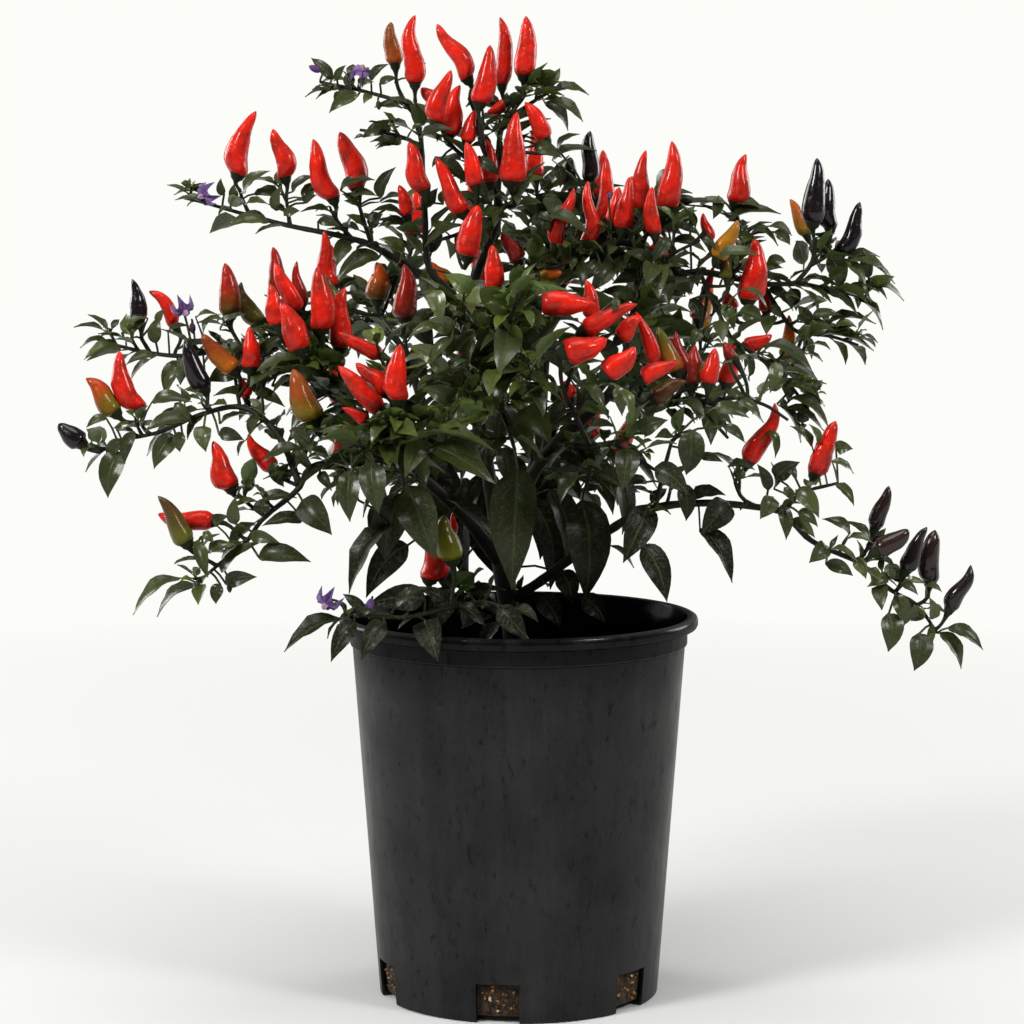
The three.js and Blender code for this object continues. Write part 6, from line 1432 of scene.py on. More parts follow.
# What a user would change in the flowers. Lengths in metres.
flowerLook = {
    "petals": 5,
    "columns": 40,
    "notch": 0.70,
    "cup": 0.0062,
    "ripple": 0.0006,
    "thick": 0.0005,
    "petal": (0.088, 0.036, 0.155),
    "anther": (0.26, 0.17, 0.22),
    "stalk": (0.03, 0.04, 0.016),
    "stalkRadius": 0.0006,
    "budStalkRadius": 0.0005,
}


# A star flower: over share s of the way out and angle a, the rim lies at 1 for a petal's tip and at `notch`
# between petals; the petals bend back towards their tips. A closed lens with its upper and lower faces.
def flowerRings(middle, width, facing):
    look = flowerLook
    side = unit(np.cross([0, 0, 1.0], facing))
    up = np.cross(facing, side)
    angle = turnsOf(look["columns"])
    petal = np.abs((angle * look["petals"] / (2 * np.pi) + 0.24) % 1 * 2 - 1)
    rim = look["notch"] + (1 - look["notch"]) * petal**0.7
    shares = np.array([0.05, 0.3, 0.6, 0.85, 1.0, 0.85, 0.6, 0.3, 0.05])
    face = np.sign(len(shares) // 2 - np.arange(len(shares)))
    spoke = np.cos(angle)[:, None] * side + np.sin(angle)[:, None] * up
    out = shares[:, None] * rim[None, :] * width / 2
    bend = -look["cup"] * (shares[:, None] * petal[None, :]) ** 2
    bend = bend + look["ripple"] * np.cos(angle * 10) * shares[:, None] + (face * 0.5 * look["thick"])[:, None]
    rings = middle + out[..., None] * spoke + bend[..., None] * facing
    return rings[::-1], shares


# A flower's anthers: a small cone of five lobes that stands on its face.
def antherRings(middle, facing):
    heights = np.array([[-0.0004, 0.0012, 0.0026, 0.0032]])
    lobes = 1 + 0.22 * np.cos(5 * turnsOf(15))
    radii = np.array([0.0011, 0.0013, 0.0009, 0.0002])[None, :, None] * lobes
    return turnedRings(np.array([middle]), np.array([facing]), heights, radii)


# A closed bud: an egg shape on a stalk that hangs from the nearest stem.
def budRings(middle, facing, size):
    shares = np.linspace(0, 1, 7)
    heights = (shares * size * 2.2)[None, :]
    radii = np.maximum(np.sin(shares * np.pi) ** 0.6 * size * 0.55, 0.0001)[None, :, None] * np.ones(8)
    return turnedRings(np.array([middle]), np.array([facing]), heights, radii)


# Buds that the picture shows: branch, across and down, depth, size in metres, way it points, and its tint.
buds = [
    ("branch_left_middle", 105, 340, 2, 0.0030, (-0.4, -0.2, -0.8), (0.10, 0.04, 0.16)),
    ("branch_top_left", 321, 72, 14, 0.0030, (-0.6, -0.2, 0.3), (0.10, 0.04, 0.16)),
    ("branch_top_left", 378, 100, 6, 0.0024, (0.1, -0.4, -0.8), (0.02, 0.03, 0.015)),
    ("branch_left_lower", 229, 582, -56, 0.0024, (0.1, -0.4, -0.8), (0.02, 0.03, 0.015)),
    ("branch_left_middle", 192, 322, -6, 0.0028, (0.1, -0.4, -0.8), (0.03, 0.015, 0.04)),
    ("branch_rim_left", 372, 598, -90, 0.0036, (-0.2, -0.6, -0.7), (0.11, 0.05, 0.18)),
    ("branch_crown", 609, 193, -26, 0.0024, (0.1, -0.8, -0.4), (0.06, 0.03, 0.10)),
]


# A thin stalk from the nearest stem of a branch to a place, arching over before it.
def hangingStalk(branch, place, facing, radius):
    points, _ = placesOn(branch)
    start = points[np.argmin(np.linalg.norm(points - place, axis=1))]
    reach = np.linalg.norm(place - start)
    shares = np.linspace(0, 1, 8)
    leaving = np.array([[0, 0, reach * 0.5]])
    line = bentLine(start[None], leaving, unit(facing)[None] * reach * 0.4, place[None], shares)
    return [stackParts(tubeRings(line, np.full((1, len(shares)), radius), 6), np.array(flowerLook["stalk"]))]


# The petals and anthers of each flower by the name of its node, and the buds and stalks that hang from each branch.
def flowerParts():
    look = flowerLook
    petals, hanging = {}, {branch: [] for branch in stems}
    for number, (branch, across, down, depth, width, facing) in enumerate(flowers):
        middle, facing = seen((across, down, depth)), unit(facing)
        rings, shares = flowerRings(middle, width * pixel, facing)
        violet = np.array(look["petal"]) * (1.25 - 0.5 * shares[::-1, None, None])
        petals[f"flower_{number + 1}"] = [
            stackParts(rings[None], np.broadcast_to(violet, rings.shape)[None]),
            stackParts(antherRings(middle, facing), np.array(look["anther"])),
        ]
        hanging[branch] += hangingStalk(branch, middle - facing * milli, facing, look["stalkRadius"])
    for branch, across, down, depth, size, facing, tint in buds:
        middle, facing = seen((across, down, depth)), np.array(facing)
        hanging[branch].append(stackParts(budRings(middle, facing, size), np.array(tint)))
        hanging[branch] += hangingStalk(branch, middle, facing, look["budStalkRadius"])
    return petals, hanging


# What a user would change in the pot, in millimetres; the slots' turn is in degrees.
potLook = {
    "height": 181,
    "baseRadius": 66.5,
    "wallTopRadius": 78.9,
    "bandRadius": 80,
    "bandBottom": 167,
    "rimRadius": 85,
    "rimInnerRadius": 79.6,
    "wall": 2,
    "floor": 2.5,
    "slotWidth": 20,
    "slotHeight": 18.5,
    "slotReach": 60.5,
    "slotCount": 6,
    "slotTurn": -8.5,
}


# The outer radius of the tapered wall at a height, in millimetres.
def wallRadius(height):
    share = np.asarray(height) / potLook["bandBottom"]
    return potLook["baseRadius"] + (potLook["wallTopRadius"] - potLook["baseRadius"]) * share


# The pot's profile, up its outside and down its inside, as rows of radius, height and painted light and shade: a
# factor on the skin's colour and coat, for painted highlight lines and painted shade under the rim and inside the
# pot.
# The first rows, up to the top of the slots, are the base; the last three are from there down to the floor.
def potProfile():
    look = potLook
    reach, base, wall, floor = look["slotReach"], look["baseRadius"], look["wall"], look["floor"]
    rim, mouth, top = look["rimRadius"], look["rimInnerRadius"], look["height"]
    band, foot = look["bandRadius"], look["bandBottom"]
    heights = np.linspace(look["slotHeight"], foot, 8)
    walls = [(float(wallRadius(height)), height) for height in heights]
    # Painted shade inside the pot: its inner wall and floor at a tenth.
    inside = 0.10
    outer = [(reach, 0, 1), (base - 0.5, 0, 1), (base, 0.5, 1)]
    # Painted shade on the wall's top row, just below the rim: 0.62.
    outer += [(radius, height, 1 if height < foot else 0.62) for radius, height in walls]
    # Painted light and shade round the rim: a painted highlight line of 1.3 on the step, painted shade of 0.4 under
    # the rim, 0.5 on its lip and 0.3 on its top, and its edges left at 1.
    outer += [
        (band - 0.15, foot + 0.6, 1.3), (band, foot + 1.1, 0.4), (band, foot + 6.6, 0.4),
        (band + 0.5, foot + 7.7, 0.4), (band + 1.6, foot + 8.1, 0.4), (rim - 1.7, foot + 8.1, 0.4),
        (rim - 0.6, top - 5.3, 0.5), (rim, top - 4.1, 0.5), (rim, top - 2, 0.5), (rim - 0.5, top - 0.7, 1),
        (rim - 1.6, top - 0.05, 1), (rim - 3.6, top, 0.3), (mouth + 0.5, top - 0.3, 0.3), (mouth, top - 1, inside),
    ]
    inner = [(mouth - 1.4, top - 7, inside)]
    inner += [(radius - wall, height, inside) for radius, height in walls[::-1]]
    inner += [(float(wallRadius(floor)) - wall, floor, inside), (reach, floor, inside)]
    return np.array(outer + inner)


# The pot: its profile turned round the axis, with the cells of the slots left out and their sides closed. A cell
# lies between two columns and two rows of the profile; `corner` numbers the points by column and row.
def potObject():
    look = potLook
    radius, height, light = potProfile().T
    rows = len(radius)
    last, outerTop, innerTop = rows - 1, 3, rows - 3
    half = math.asin(look["slotWidth"] / 2 / look["baseRadius"])
    sector = 2 * math.pi / look["slotCount"]
    across = np.linspace(-half, half, 9)
    apart = np.linspace(half, sector - half, 17)[1:-1]
    first = math.radians(look["slotTurn"] - 90)
    angles = np.concatenate([first + sector * k + np.concatenate([across, apart]) for k in range(look["slotCount"])])
    columns, perSector = len(angles), len(across) + len(apart)
    points = np.empty((columns, rows, 3))
    points[..., 0] = np.cos(angles)[:, None] * (radius * milli)
    points[..., 1] = np.sin(angles)[:, None] * (radius * milli)
    points[..., 2] = height * milli
    column, row = np.arange(columns), np.arange(last)
    following = (column + 1) % columns
    corner = np.arange(columns * rows).reshape(columns, rows)
    cells = np.stack([corner[:, :-1], corner[following, :-1], corner[following, 1:], corner[:, 1:]], -1)
    isSlot = column % perSector < len(across) - 1
    inSlot = (row < outerTop) | (row >= innerTop)
    cells = cells[~(isSlot[:, None] & inSlot)]
    slot, after = corner[column[isSlot]], corner[following[isSlot]]
    back = np.stack([slot[:, last], after[:, last], after[:, 0], slot[:, 0]], -1)
    roof = np.stack([slot[:, outerTop], after[:, outerTop], after[:, innerTop], slot[:, innerTop]], -1)
    edge = np.concatenate([np.arange(outerTop + 1), np.arange(innerTop, rows)])
    starts = column[column % perSector == 0]
    sides = np.concatenate([corner[starts][:, edge], corner[starts + len(across) - 1][:, edge[::-1]]])
    rings = np.stack([corner[::-1, 0], corner[:, last]])
    quads = np.concatenate([cells, back, roof])
    loops = np.concatenate([quads.ravel(), sides.ravel(), rings.ravel()])
    sizes = np.concatenate([np.full(len(quads), 4), np.full(len(sides), len(edge)), np.full(len(rings), columns)])
    # The rows' painted light and shade, as the pot's tint.
    tints = np.broadcast_to(light[:, None], points.shape).reshape(-1, 3)
    return objectFrom("plant_pot", points.reshape(-1, 3), loops, sizes, tints=tints, sharpAngle=32)


# What a user would change in the potting mix, in millimetres: its level, its rise to the middle, its dip at the
# edge, the gap to the pot, and how uneven its top and its side are. Each of `lumps` is the size in metres, the seed,
# the number of waves and the weight of an unevenness.
soilLook = {
    "top": 157,
    "crown": 4,
    "dip": 2,
    "gap": 0.9,
    "columns": 144,
    "rough": 1.5,
    "sideRough": 0.45,
    "lumps": [(0.006, 41, 16, 1), (0.0026, 42, 16, 0.7)],
    "tint": (0.011, 0.006, 0.003),
}


# The height of the mix's top, in millimetres, at a share of the way from the middle to the edge.
def soilLevel(share):
    low = soilLook["top"] - soilLook["dip"]
    return low + (soilLook["crown"] + soilLook["dip"]) * (1 - share**2)


# The potting mix: its wall and its uneven top as one ring stack, highest in the middle.
def soilParts():
    look = soilLook
    angle = turnsOf(look["columns"])
    low = potLook["floor"] + 0.3
    wallHeights = np.concatenate([np.linspace(low, 21, 15), np.linspace(36, look["top"] - look["dip"], 8)])
    inside = wallRadius(wallHeights) - potLook["wall"] - look["gap"]
    out = np.linspace(1, 0.004, 22)[1:]
    radii = np.concatenate([[0.4, inside[0] - 1.5], inside, inside[-1] * out])
    heights = np.concatenate([[low, low], wallHeights, soilLevel(out)])
    rings = np.empty((1, len(radii), len(angle), 3))
    rings[0, ..., 0] = radii[:, None] * np.cos(angle)
    rings[0, ..., 1] = radii[:, None] * np.sin(angle)
    rings[0, ..., 2] = heights[:, None]
    rings *= milli
    rough = sum(weight * unevenness(rings, *lump) for *lump, weight in look["lumps"]) * milli
    row = np.arange(len(radii))[None, :, None]
    isTop = row >= 2 + len(wallHeights)
    isWall = (row >= 3) & (row < 1 + len(wallHeights))
    rings[..., 2] += np.where(isTop, rough * look["rough"], 0)
    rings += np.where(isWall, rough * look["sideRough"], 0)[..., None] * unit(rings * [1, 1, 0])
    return [stackParts(rings, np.array(look["tint"]))]


# What a user would change in the grains, in millimetres: how many lie on top and in each slot, and their sizes. A
# grain has four rings of six points: `rings` holds their places and radii in shares of its size. `kinds` holds the
# share and the colour of each kind, from dark bark to pale perlite.
grainLook = {
    "seed": 5,
    "onTop": 760,
    "inSlot": 46,
    "topSize": (0.6, 2.0),
    "slotSize": (0.6, 1.5),
    "slotRise": (3.9, 17.6),
    "rings": [(-0.55, 0.22), (-0.2, 0.62), (0.25, 0.58), (0.55, 0.2)],
    "kinds": [
        (0.30, (0.012, 0.006, 0.002)),
        (0.22, (0.055, 0.023, 0.005)),
        (0.17, (0.30, 0.15, 0.030)),
        (0.24, (0.19, 0.072, 0.010)),
        (0.07, (0.50, 0.40, 0.20)),
    ],
}


# Bark bits and pale perlite grains: small uneven blobs that lie on the mix and show in the slots.
def grainParts():
    look = grainLook
    rng = np.random.default_rng(look["seed"])
    top, slots = look["onTop"], potLook["slotCount"]
    count = slots * look["inSlot"]
    edge = float(wallRadius(soilLook["top"])) - potLook["wall"] - 3
    radius = np.sqrt(rng.uniform(0.03, 1, top)) * edge
    angle = rng.uniform(0, 2 * np.pi, top)
    height = soilLevel(radius / edge) + rng.uniform(-0.6, 0.9, top)
    onTop = np.stack([radius * np.cos(angle), radius * np.sin(angle), height], -1)
    angle = math.radians(potLook["slotTurn"] - 90) + 2 * np.pi * (np.arange(count) % slots) / slots
    angle = angle + rng.uniform(-0.125, 0.125, count)
    rise = rng.uniform(*look["slotRise"], count)
    far = wallRadius(rise) - potLook["wall"] - soilLook["gap"] + rng.uniform(-0.5, 0.7, count)
    inSlots = np.stack([far * np.cos(angle), far * np.sin(angle), rise], -1)
    places = np.concatenate([onTop, inSlots]) * milli
    size = np.concatenate([rng.uniform(*look["topSize"], top), rng.uniform(*look["slotSize"], count)]) * milli
    axes = unit(rng.normal(size=(len(places), 3)))
    ringHeights, ringRadii = np.array(look["rings"]).T
    heights = ringHeights[None, :] * size[:, None] * rng.uniform(0.7, 1.5, (len(places), 1))
    uneven = rng.uniform(0.7, 1.25, (len(places), len(ringRadii), 6))
    rings = turnedRings(places, axes, heights, ringRadii[None, :, None] * size[:, None, None] * uneven)
    shares, colours = zip(*look["kinds"])
    kind = rng.choice(len(shares), len(places), p=shares)
    tint = np.array(colours)[kind][:, None, None, :] * rng.uniform(0.7, 1.3, (len(places), 1, 1, 1))
    return [stackParts(rings, tint)]


# A node group with named inputs and outputs. `inputs` maps a name to a socket type and a value, `outputs` a name to
# a socket type.
def emptyGroup(name, inputs, outputs):
    group = bpy.data.node_groups.new(name, "ShaderNodeTree")
    for key, (kind, value) in inputs.items():
        socket = group.interface.new_socket(key, in_out="INPUT", socket_type=kind)
        if value is not None:
            socket.default_value = value
    for key, kind in outputs.items():
        group.interface.new_socket(key, in_out="OUTPUT", socket_type=kind)
    return group, group.nodes.new("NodeGroupInput"), group.nodes.new("NodeGroupOutput")


# A math node in `tree` on sockets or numbers; gives its output socket.
def work(tree, operation, *values):
    node = tree.nodes.new("ShaderNodeMath")
    node.operation = operation
    for i, value in enumerate(values):
        if isinstance(value, (int, float)):
            node.inputs[i].default_value = value
        else:
            tree.links.new(value, node.inputs[i])
    return node.outputs[0]


# A socket's value mapped from one span to 0..1, held within it.
def span(tree, value, low, high):
    node = tree.nodes.new("ShaderNodeMapRange")
    node.clamp = True
    tree.links.new(value, node.inputs["Value"])
    node.inputs["From Min"].default_value = low
    node.inputs["From Max"].default_value = high
    return node.outputs["Result"]


# What a user would change in the noise of the patches and in the marks of the leaves. A leaf is 1 across: the
# midrib fades out between two distances from its middle, and so do the side veins, of which there are `veins`.
markLook = {
    "detail": 4,
    "roughness": 0.6,
    "fineDetail": 3,
    "mask": (0.34, 0.68),
    "midrib": (0.055, 0.012),
    "veins": 11.0,
    "slant": 3.4,
    "veinLine": (0.86, 1.0),
    "veinFade": (0.48, 0.2),
    "veinWeight": 0.45,
}


# Patches: soft noise stretched to a mask, and a height for bumps from finer noise.
def makePatches():
    look = markLook
    group, start, end = emptyGroup(
        "patches",
        {
            "Vector": ("NodeSocketVector", None),
            "Scale": ("NodeSocketFloat", 40.0),
            "Fine scale": ("NodeSocketFloat", 300.0),
        },
        {"Mask": "NodeSocketFloat", "Height": "NodeSocketFloat"},
    )
    coarse = group.nodes.new("ShaderNodeTexNoise")
    coarse.inputs["Detail"].default_value = look["detail"]
    coarse.inputs["Roughness"].default_value = look["roughness"]
    fine = group.nodes.new("ShaderNodeTexNoise")
    fine.inputs["Detail"].default_value = look["fineDetail"]
    for node, scale in ((coarse, "Scale"), (fine, "Fine scale")):
        group.links.new(start.outputs["Vector"], node.inputs["Vector"])
        group.links.new(start.outputs[scale], node.inputs["Scale"])
    group.links.new(span(group, coarse.outputs[0], *look["mask"]), end.inputs["Mask"])
    group.links.new(fine.outputs[0], end.inputs["Height"])
    return group


# The marks of a leaf from its surface coordinates: a midrib, side veins that slant towards the tip, and which face.
# The veins are the crests of sin(2 pi (veins * along - slant * side)), where side is the distance from the middle.
def makeLeafMarks():
    look = markLook
    group, start, end = emptyGroup(
        "leafMarks",
        {"Surface": ("NodeSocketVector", None)},
        {"Vein": "NodeSocketFloat", "Under": "NodeSocketFloat"},
    )
    parts = group.nodes.new("ShaderNodeSeparateXYZ")
    group.links.new(start.outputs["Surface"], parts.inputs[0])
    across, along = parts.outputs[0], parts.outputs[1]
    under = work(group, "GREATER_THAN", across, 1.5)
    place = work(group, "FRACT", across)
    side = work(group, "ABSOLUTE", work(group, "SUBTRACT", place, 0.5))
    midrib = span(group, side, *look["midrib"])
    slant = work(group, "MULTIPLY", side, look["slant"])
    wave = work(group, "SUBTRACT", work(group, "MULTIPLY", along, look["veins"]), slant)
    ripple = work(group, "SINE", work(group, "MULTIPLY", wave, 2 * math.pi))
    veins = work(group, "MULTIPLY", span(group, ripple, *look["veinLine"]), span(group, side, *look["veinFade"]))
    veins = work(group, "MULTIPLY", veins, look["veinWeight"])
    group.links.new(work(group, "MAXIMUM", midrib, veins), end.inputs["Vein"])
    group.links.new(under, end.inputs["Under"])
    return group


patches = makePatches()
leafMarks = makeLeafMarks()


# A material on its own shader: gives the material, its node tree and the shader, with the values set on it.
def plainMaterial(name, values):
    material = bpy.data.materials.new(name)
    material.use_nodes = True
    shader = material.node_tree.nodes["Principled BSDF"]
    for key, value in values.items():
        shader.inputs[key].default_value = value
    return material, material.node_tree, shader


# The colours of a mesh's points.
def tintOf(tree):
    node = tree.nodes.new("ShaderNodeAttribute")
    node.attribute_name = "tint"
    return node.outputs["Color"]


# A mix of two colours, each a socket or three numbers, by a socket.
def mixed(tree, factor, first, second):
    node = tree.nodes.new("ShaderNodeMix")
    node.data_type = "RGBA"
    tree.links.new(factor, node.inputs[0])
    for socket, value in ((node.inputs[6], first), (node.inputs[7], second)):
        if isinstance(value, tuple):
            socket.default_value = (*value, 1)
        else:
            tree.links.new(value, socket)
    return node.outputs[2]


# The patches group in a material, on object coordinates, stretched by three scales.
def patchesIn(tree, scale, fineScale, stretch=(1, 1, 1)):
    place = tree.nodes.new("ShaderNodeTexCoord").outputs["Object"]
    if stretch != (1, 1, 1):
        mapping = tree.nodes.new("ShaderNodeMapping")
        mapping.inputs["Scale"].default_value = stretch
        tree.links.new(place, mapping.inputs["Vector"])
        place = mapping.outputs[0]
    node = tree.nodes.new("ShaderNodeGroup")
    node.node_tree = patches
    tree.links.new(place, node.inputs["Vector"])
    node.inputs["Scale"].default_value = scale
    node.inputs["Fine scale"].default_value = fineScale
    return node.outputs["Mask"], node.outputs["Height"]


# Bumps on a shader from a height, with their strength and their depth in metres.
def bumpOn(tree, shader, height, strength, distance):
    node = tree.nodes.new("ShaderNodeBump")
    node.inputs["Strength"].default_value = strength
    node.inputs["Distance"].default_value = distance
    tree.links.new(height, node.inputs["Height"])
    tree.links.new(node.outputs[0], shader.inputs["Normal"])


# What a user would change in the skins: values of the shader; the patches' scale, fine scale and stretch; the span
# over which their mask brings in another colour, and that colour; the bumps' strength and depth in metres.
finishes = {
    "fruit_skin": {
        "shader": {
            "Roughness": 0.36,
            "Coat Weight": 0.25,
            "Coat Roughness": 0.05,
            "Specular IOR Level": 0.26,
            "Specular Tint": (1, 0.30, 0.24, 1),
        },
        "patches": (130.0, 210.0),
        "other": ((0.2, 1.4), (0.08, 0.012, 0.008)),
        "bump": (0.75, 0.0014),
    },
    "dark_fruit_skin": {
        "shader": {"Roughness": 0.30, "Coat Weight": 0.52, "Coat Roughness": 0.05, "Specular IOR Level": 0.10},
        "patches": (90.0, 210.0),
        "other": ((0.0, 2.0), (0.014, 0.008, 0.008)),
        "bump": (0.75, 0.0014),
    },
    "turning_fruit_skin": {
        "shader": {
            "Roughness": 0.36,
            "Coat Weight": 0.20,
            "Coat Roughness": 0.06,
            "Specular IOR Level": 0.20,
            "Specular Tint": (1, 0.55, 0.25, 1),
        },
        "patches": (110.0, 210.0),
        "other": ((0.2, 2.0), (0.10, 0.050, 0.006)),
        "bump": (0.75, 0.0014),
    },
    "stem_skin": {
        "shader": {"Roughness": 0.55, "Specular IOR Level": 0.12},
        "patches": (140.0, 500.0, (1, 1, 0.35)),
        "other": ((0.0, 1.7), (0.022, 0.018, 0.009)),
        "bump": (0.35, 0.0008),
    },
    "potting_mix": {
        "shader": {"Roughness": 0.9},
        "patches": (420.0, 900.0),
        "other": ((0.4, 1.2), (0.10, 0.045, 0.010)),
        "bump": (0.8, 0.0016),
    },
    "petal": {
        "shader": {"Roughness": 0.6},
        "patches": (300.0, 900.0),
        "other": ((0.0, 2.6), (0.30, 0.18, 0.42)),
        "bump": (0.2, 0.0005),
    },
}

# The same for the leaves, where one colour after another is laid over the tint. `coat` is the lightness of the tint
# at which the coat is whole, and its weight there.
leafFinish = {
    "shader": {"Roughness": 0.36, "Specular IOR Level": 0.12, "Coat Roughness": 0.25},
    "patches": (160.0, 700.0),
    "dark": ((0.0, 2.2), (0.011, 0.013, 0.005)),
    "vein": ((0.0, 1.9), (0.045, 0.066, 0.020)),
    "under": ((0.0, 3.4), (0.085, 0.14, 0.035)),
    "dust": ((0.52, 1.7), (0.150, 0.145, 0.085)),
    "coat": (0.09, 0.8),
    "bump": (0.40, 0.0008),
}

# The same for the pot: two colours that its patches mix, then layers with patches of their own. `coat` is the
# coat's weight, and what the patches, the scuffs and the marks add to it.
potFinish = {
    "shader": {"Roughness": 0.6, "Specular IOR Level": 0.0, "Coat Roughness": 0.17},
    "patches": (26.0, 1400.0),
    "base": ((0.0040, 0.0041, 0.0043), (0.0080, 0.0081, 0.0083)),
    "layers": {
        "scuffs": ((170.0, 300.0, (1, 1, 0.22)), (0.3, 2.0), (0.022, 0.022, 0.0225)),
        "streaks": ((60.0, 300.0, (1, 1, 0.05)), (0.35, 3.2), (0.034, 0.034, 0.0345)),
        "marks": ((330.0, 300.0, (1, 1, 0.5)), (0.70, 1.15), (0.002, 0.002, 0.002)),
        "specks": ((700.0, 300.0), (0.84, 2.6), (0.10, 0.10, 0.098)),
    },
    "coat": (0.44, 0.12, -0.14, -0.20),
    "bump": (0.12, 0.0005),
}


# A skin from its row of `finishes`: the tint, with another colour in patches, and bumps.
def makeSkin(name):
    look = finishes[name]
    material, tree, shader = plainMaterial(name, look["shader"])
    mask, height = patchesIn(tree, *look["patches"])
    reach, other = look["other"]
    tree.links.new(mixed(tree, span(tree, mask, *reach), tintOf(tree), other), shader.inputs["Base Color"])
    bumpOn(tree, shader, height, *look["bump"])
    return material


# The leaves' skin: darker patches, lighter veins, a lighter underside and dust, one over the other.
def makeLeafMaterial():
    look = leafFinish
    material, tree, shader = plainMaterial("leaf", look["shader"])
    mask, height = patchesIn(tree, *look["patches"])
    marks = tree.nodes.new("ShaderNodeGroup")
    marks.node_tree = leafMarks
    tree.links.new(tree.nodes.new("ShaderNodeTexCoord").outputs["UV"], marks.inputs["Surface"])
    vein, under = marks.outputs["Vein"], marks.outputs["Under"]
    tint = colour = tintOf(tree)
    for layer, share in (("dark", mask), ("vein", vein), ("under", under), ("dust", height)):
        reach, other = look[layer]
        colour = mixed(tree, span(tree, share, *reach), colour, other)
    tree.links.new(colour, shader.inputs["Base Color"])
    light, weight = look["coat"]
    tree.links.new(work(tree, "MULTIPLY", span(tree, tint, 0.0, light), weight), shader.inputs["Coat Weight"])
    bumpOn(tree, shader, work(tree, "ADD", height, vein), *look["bump"])
    return material


# The pot's plastic: scuffs, streaks, dull marks and specks of dust, one over the other, all darkened by the tint's
# painted light and shade, and a coat that they dull and that the painted shade dims as well.
def makePotMaterial():
    look = potFinish
    material, tree, shader = plainMaterial("pot_plastic", look["shader"])
    mask, height = patchesIn(tree, *look["patches"])
    colour, masks, shares = mixed(tree, mask, *look["base"]), {}, {}
    for name, (patch, reach, other) in look["layers"].items():
        masks[name], _ = patchesIn(tree, *patch)
        shares[name] = span(tree, masks[name], *reach)
        colour = mixed(tree, shares[name], colour, other)
    tint = tintOf(tree)
    # The tint's painted light and shade scales the colour here.
    tree.links.new(mixed(tree, tint, (0, 0, 0), colour), shader.inputs["Base Color"])
    coat, *changes = look["coat"]
    for change, share in zip(changes, (mask, masks["scuffs"], shares["marks"])):
        coat = work(tree, "ADD", work(tree, "MULTIPLY", share, change), coat)
    # Painted shade dims the coat as well.
    tree.links.new(work(tree, "MULTIPLY", tint, coat), shader.inputs["Coat Weight"])
    bumpOn(tree, shader, height, *look["bump"])
    return material


skins = {name: makeSkin(name) for name in finishes}
leafMaterial, potMaterial = makeLeafMaterial(), makePotMaterial()
ripe, turning, dark = (skins[f"{kind}_skin"] for kind in ("fruit", "turning_fruit", "dark_fruit"))
fruitSkins = {"red": ripe, "darkred": ripe, "orange": turning, "olive": turning, "black": dark}

finish(potObject(), potMaterial, ["pot"])
pieceFrom("potting_mix", soilParts(), skins["potting_mix"], ["soil"], 40)
pieceFrom("potting_mix_grains", grainParts(), skins["potting_mix"], ["soil"], 30)
print("pot and potting mix made")

petals, hanging = flowerParts()
for name, parts in petals.items():
    pieceFrom(f"{name}_petals", parts, skins["petal"], [name], 40)

for branch in stems:
    borne = [i for i, fruit in enumerate(fruitRows) if fruit["branch"] == branch]
    stalks = stalkParts(branch, borne) if borne else []
    woody = stemParts(branch) + shootParts(branch) + stalks + hanging[branch]
    pieceFrom(f"{branch}_stems", woody, skins["stem_skin"], [branch], 50)
    foliage = leafParts(branch)
    if foliage:
        pieceFrom(f"{branch}_leaves", foliage, leafMaterial, [branch], 60)
    for colour in fruitTints:
        shared = [i for i in borne if fruitRows[i]["colour"] == colour and not fruitRows[i]["own"]]
        if shared:
            name = f"{branch}_{colour}_peppers"
            pieceFrom(name, fruitParts(shared), fruitSkins[colour], [branch], 60)
    for i in borne:
        colour, own = fruitRows[i]["colour"], fruitRows[i]["own"]
        if own:
            pieceFrom(f"{own}_body", fruitParts([i]), fruitSkins[colour], [own], 60)
print("plant made:", len(fruitRows), "peppers")


# What a user would change in the studio. The lights: place, size in metres, watts; they look at the plant. `front`
# and `back` are the light from the surroundings, between the depths of `turn`, and `seen` is what the camera sees
# of them. The floor goes over to `far` between two distances from the pot, in metres.
studio = {
    "aim": (0.0, 0.0, 0.24),
    "lights": [
        ((-1.4, -1.3, 1.6), 0.6, 44),
        ((1.5, -1.2, 1.4), 0.6, 25),
        ((0.0, -0.5, 2.2), 1.4, 24),
        ((-1.3, 0.9, 0.7), 0.9, 16),
        ((1.3, 0.9, 0.7), 0.9, 13),
    ],
    "front": (0.05, 0.05, 0.05),
    "back": (0.34, 0.34, 0.33),
    "turn": (-0.2, 0.5),
    "seen": (0.976, 0.984, 0.942),
    "floor": (0.57, 0.57, 0.56),
    "far": (0.972, 0.980, 0.942),
    "fade": (0.02, 1.3),
    "floorRings": (0.0001, 0.1, 0.3, 0.8, 2.0, 8.0),
    "floorColumns": 64,
    "floorDrop": 0.0003,
    "sensor": 36,
}


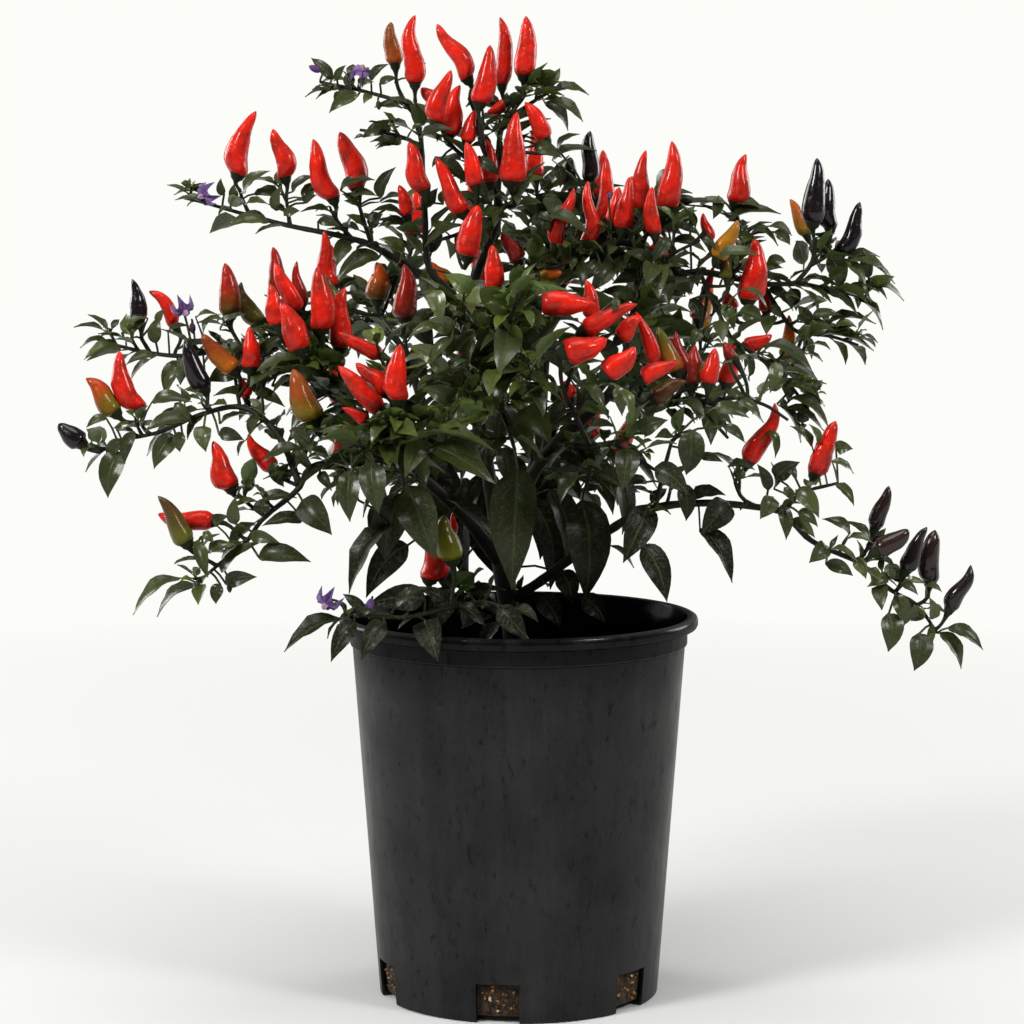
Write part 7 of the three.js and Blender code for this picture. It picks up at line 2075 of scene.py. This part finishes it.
# The floor: a flat disc a little below the pot, which goes over to a plain glow away from it.
def makeFloor():
    radii, columns = np.array(studio["floorRings"]), studio["floorColumns"]
    angle = turnsOf(columns)
    points = np.zeros((len(radii), columns, 3))
    points[..., 0] = radii[:, None] * np.cos(angle)
    points[..., 1] = radii[:, None] * np.sin(angle)
    points[..., 2] = -studio["floorDrop"]
    corner = np.arange(len(radii) * columns).reshape(len(radii), columns)
    after = np.roll(corner, -1, axis=1)
    quads = np.stack([corner[:-1], corner[1:], after[1:], after[:-1]], -1).reshape(-1, 4)
    made = objectFrom("studio_floor", points.reshape(-1, 3), quads.ravel(), np.full(len(quads), 4))
    values = {"Base Color": (*studio["floor"], 1), "Roughness": 0.9, "Specular IOR Level": 0.0}
    material, tree, shader = plainMaterial("studio_floor", values)
    glow = tree.nodes.new("ShaderNodeEmission")
    glow.inputs["Color"].default_value = (*studio["far"], 1)
    length = tree.nodes.new("ShaderNodeVectorMath")
    length.operation = "LENGTH"
    tree.links.new(tree.nodes.new("ShaderNodeTexCoord").outputs["Object"], length.inputs[0])
    fade = span(tree, length.outputs["Value"], *studio["fade"])
    tree.links.new(blended(tree, fade, shader, glow), tree.nodes["Material Output"].inputs["Surface"])
    made.data.materials.append(material)


# A mix of two shaders by a socket.
def blended(tree, factor, first, second):
    mix = tree.nodes.new("ShaderNodeMixShader")
    for socket, value in zip(mix.inputs, (factor, first.outputs[0], second.outputs[0])):
        tree.links.new(value, socket)
    return mix.outputs[0]


# The studio's surroundings: plain white to the camera; as light, dim in front of the plant and bright behind it.
def makeWorld():
    world = bpy.data.worlds.new("studio")
    bpy.context.scene.world = world
    world.use_nodes = True
    tree = world.node_tree
    background = tree.nodes["Background"]
    way = tree.nodes.new("ShaderNodeSeparateXYZ")
    tree.links.new(tree.nodes.new("ShaderNodeTexCoord").outputs["Generated"], way.inputs[0])
    share = span(tree, way.outputs[1], *studio["turn"])
    tree.links.new(mixed(tree, share, studio["front"], studio["back"]), background.inputs["Color"])
    plain = tree.nodes.new("ShaderNodeBackground")
    plain.inputs["Color"].default_value = (*studio["seen"], 1)
    isCamera = tree.nodes.new("ShaderNodeLightPath").outputs["Is Camera Ray"]
    tree.links.new(blended(tree, isCamera, background, plain), tree.nodes["World Output"].inputs["Surface"])


# Round lamps that look at the aim: turned by atan2(x, -y) and tilted by acos(z / distance) of the way from it.
def makeLights():
    for number, (place, size, watts) in enumerate(studio["lights"]):
        data = bpy.data.lights.new(f"studio_light_{number + 1}", "AREA")
        data.shape = "DISK"
        data.size = size
        data.energy = watts
        light = bpy.data.objects.new(data.name, data)
        light.location = place
        away = np.array(place) - np.array(studio["aim"])
        yaw = math.atan2(away[0], -away[1])
        tilt = math.acos(away[2] / np.linalg.norm(away))
        light.rotation_euler = (tilt, 0, yaw)
        bpy.context.scene.collection.objects.link(light)


# The camera at the viewpoint of the reference picture: the lens is the focal length in pixels, as a share of the
# picture's width, times the sensor's width.
def makeCamera():
    data = bpy.data.cameras.new("camera")
    data.sensor_width = studio["sensor"]
    data.lens = studio["sensor"] * picture["focal"] / picture["size"]
    camera = bpy.data.objects.new("camera", data)
    camera.location = viewpoint["place"]
    camera.rotation_euler = (math.pi / 2 - viewpoint["down"], 0, 0)
    bpy.context.scene.collection.objects.link(camera)
    bpy.context.scene.camera = camera


makeFloor()
makeWorld()
makeLights()
makeCamera()
bpy.context.scene.view_settings.view_transform = "Standard"
print("studio made")
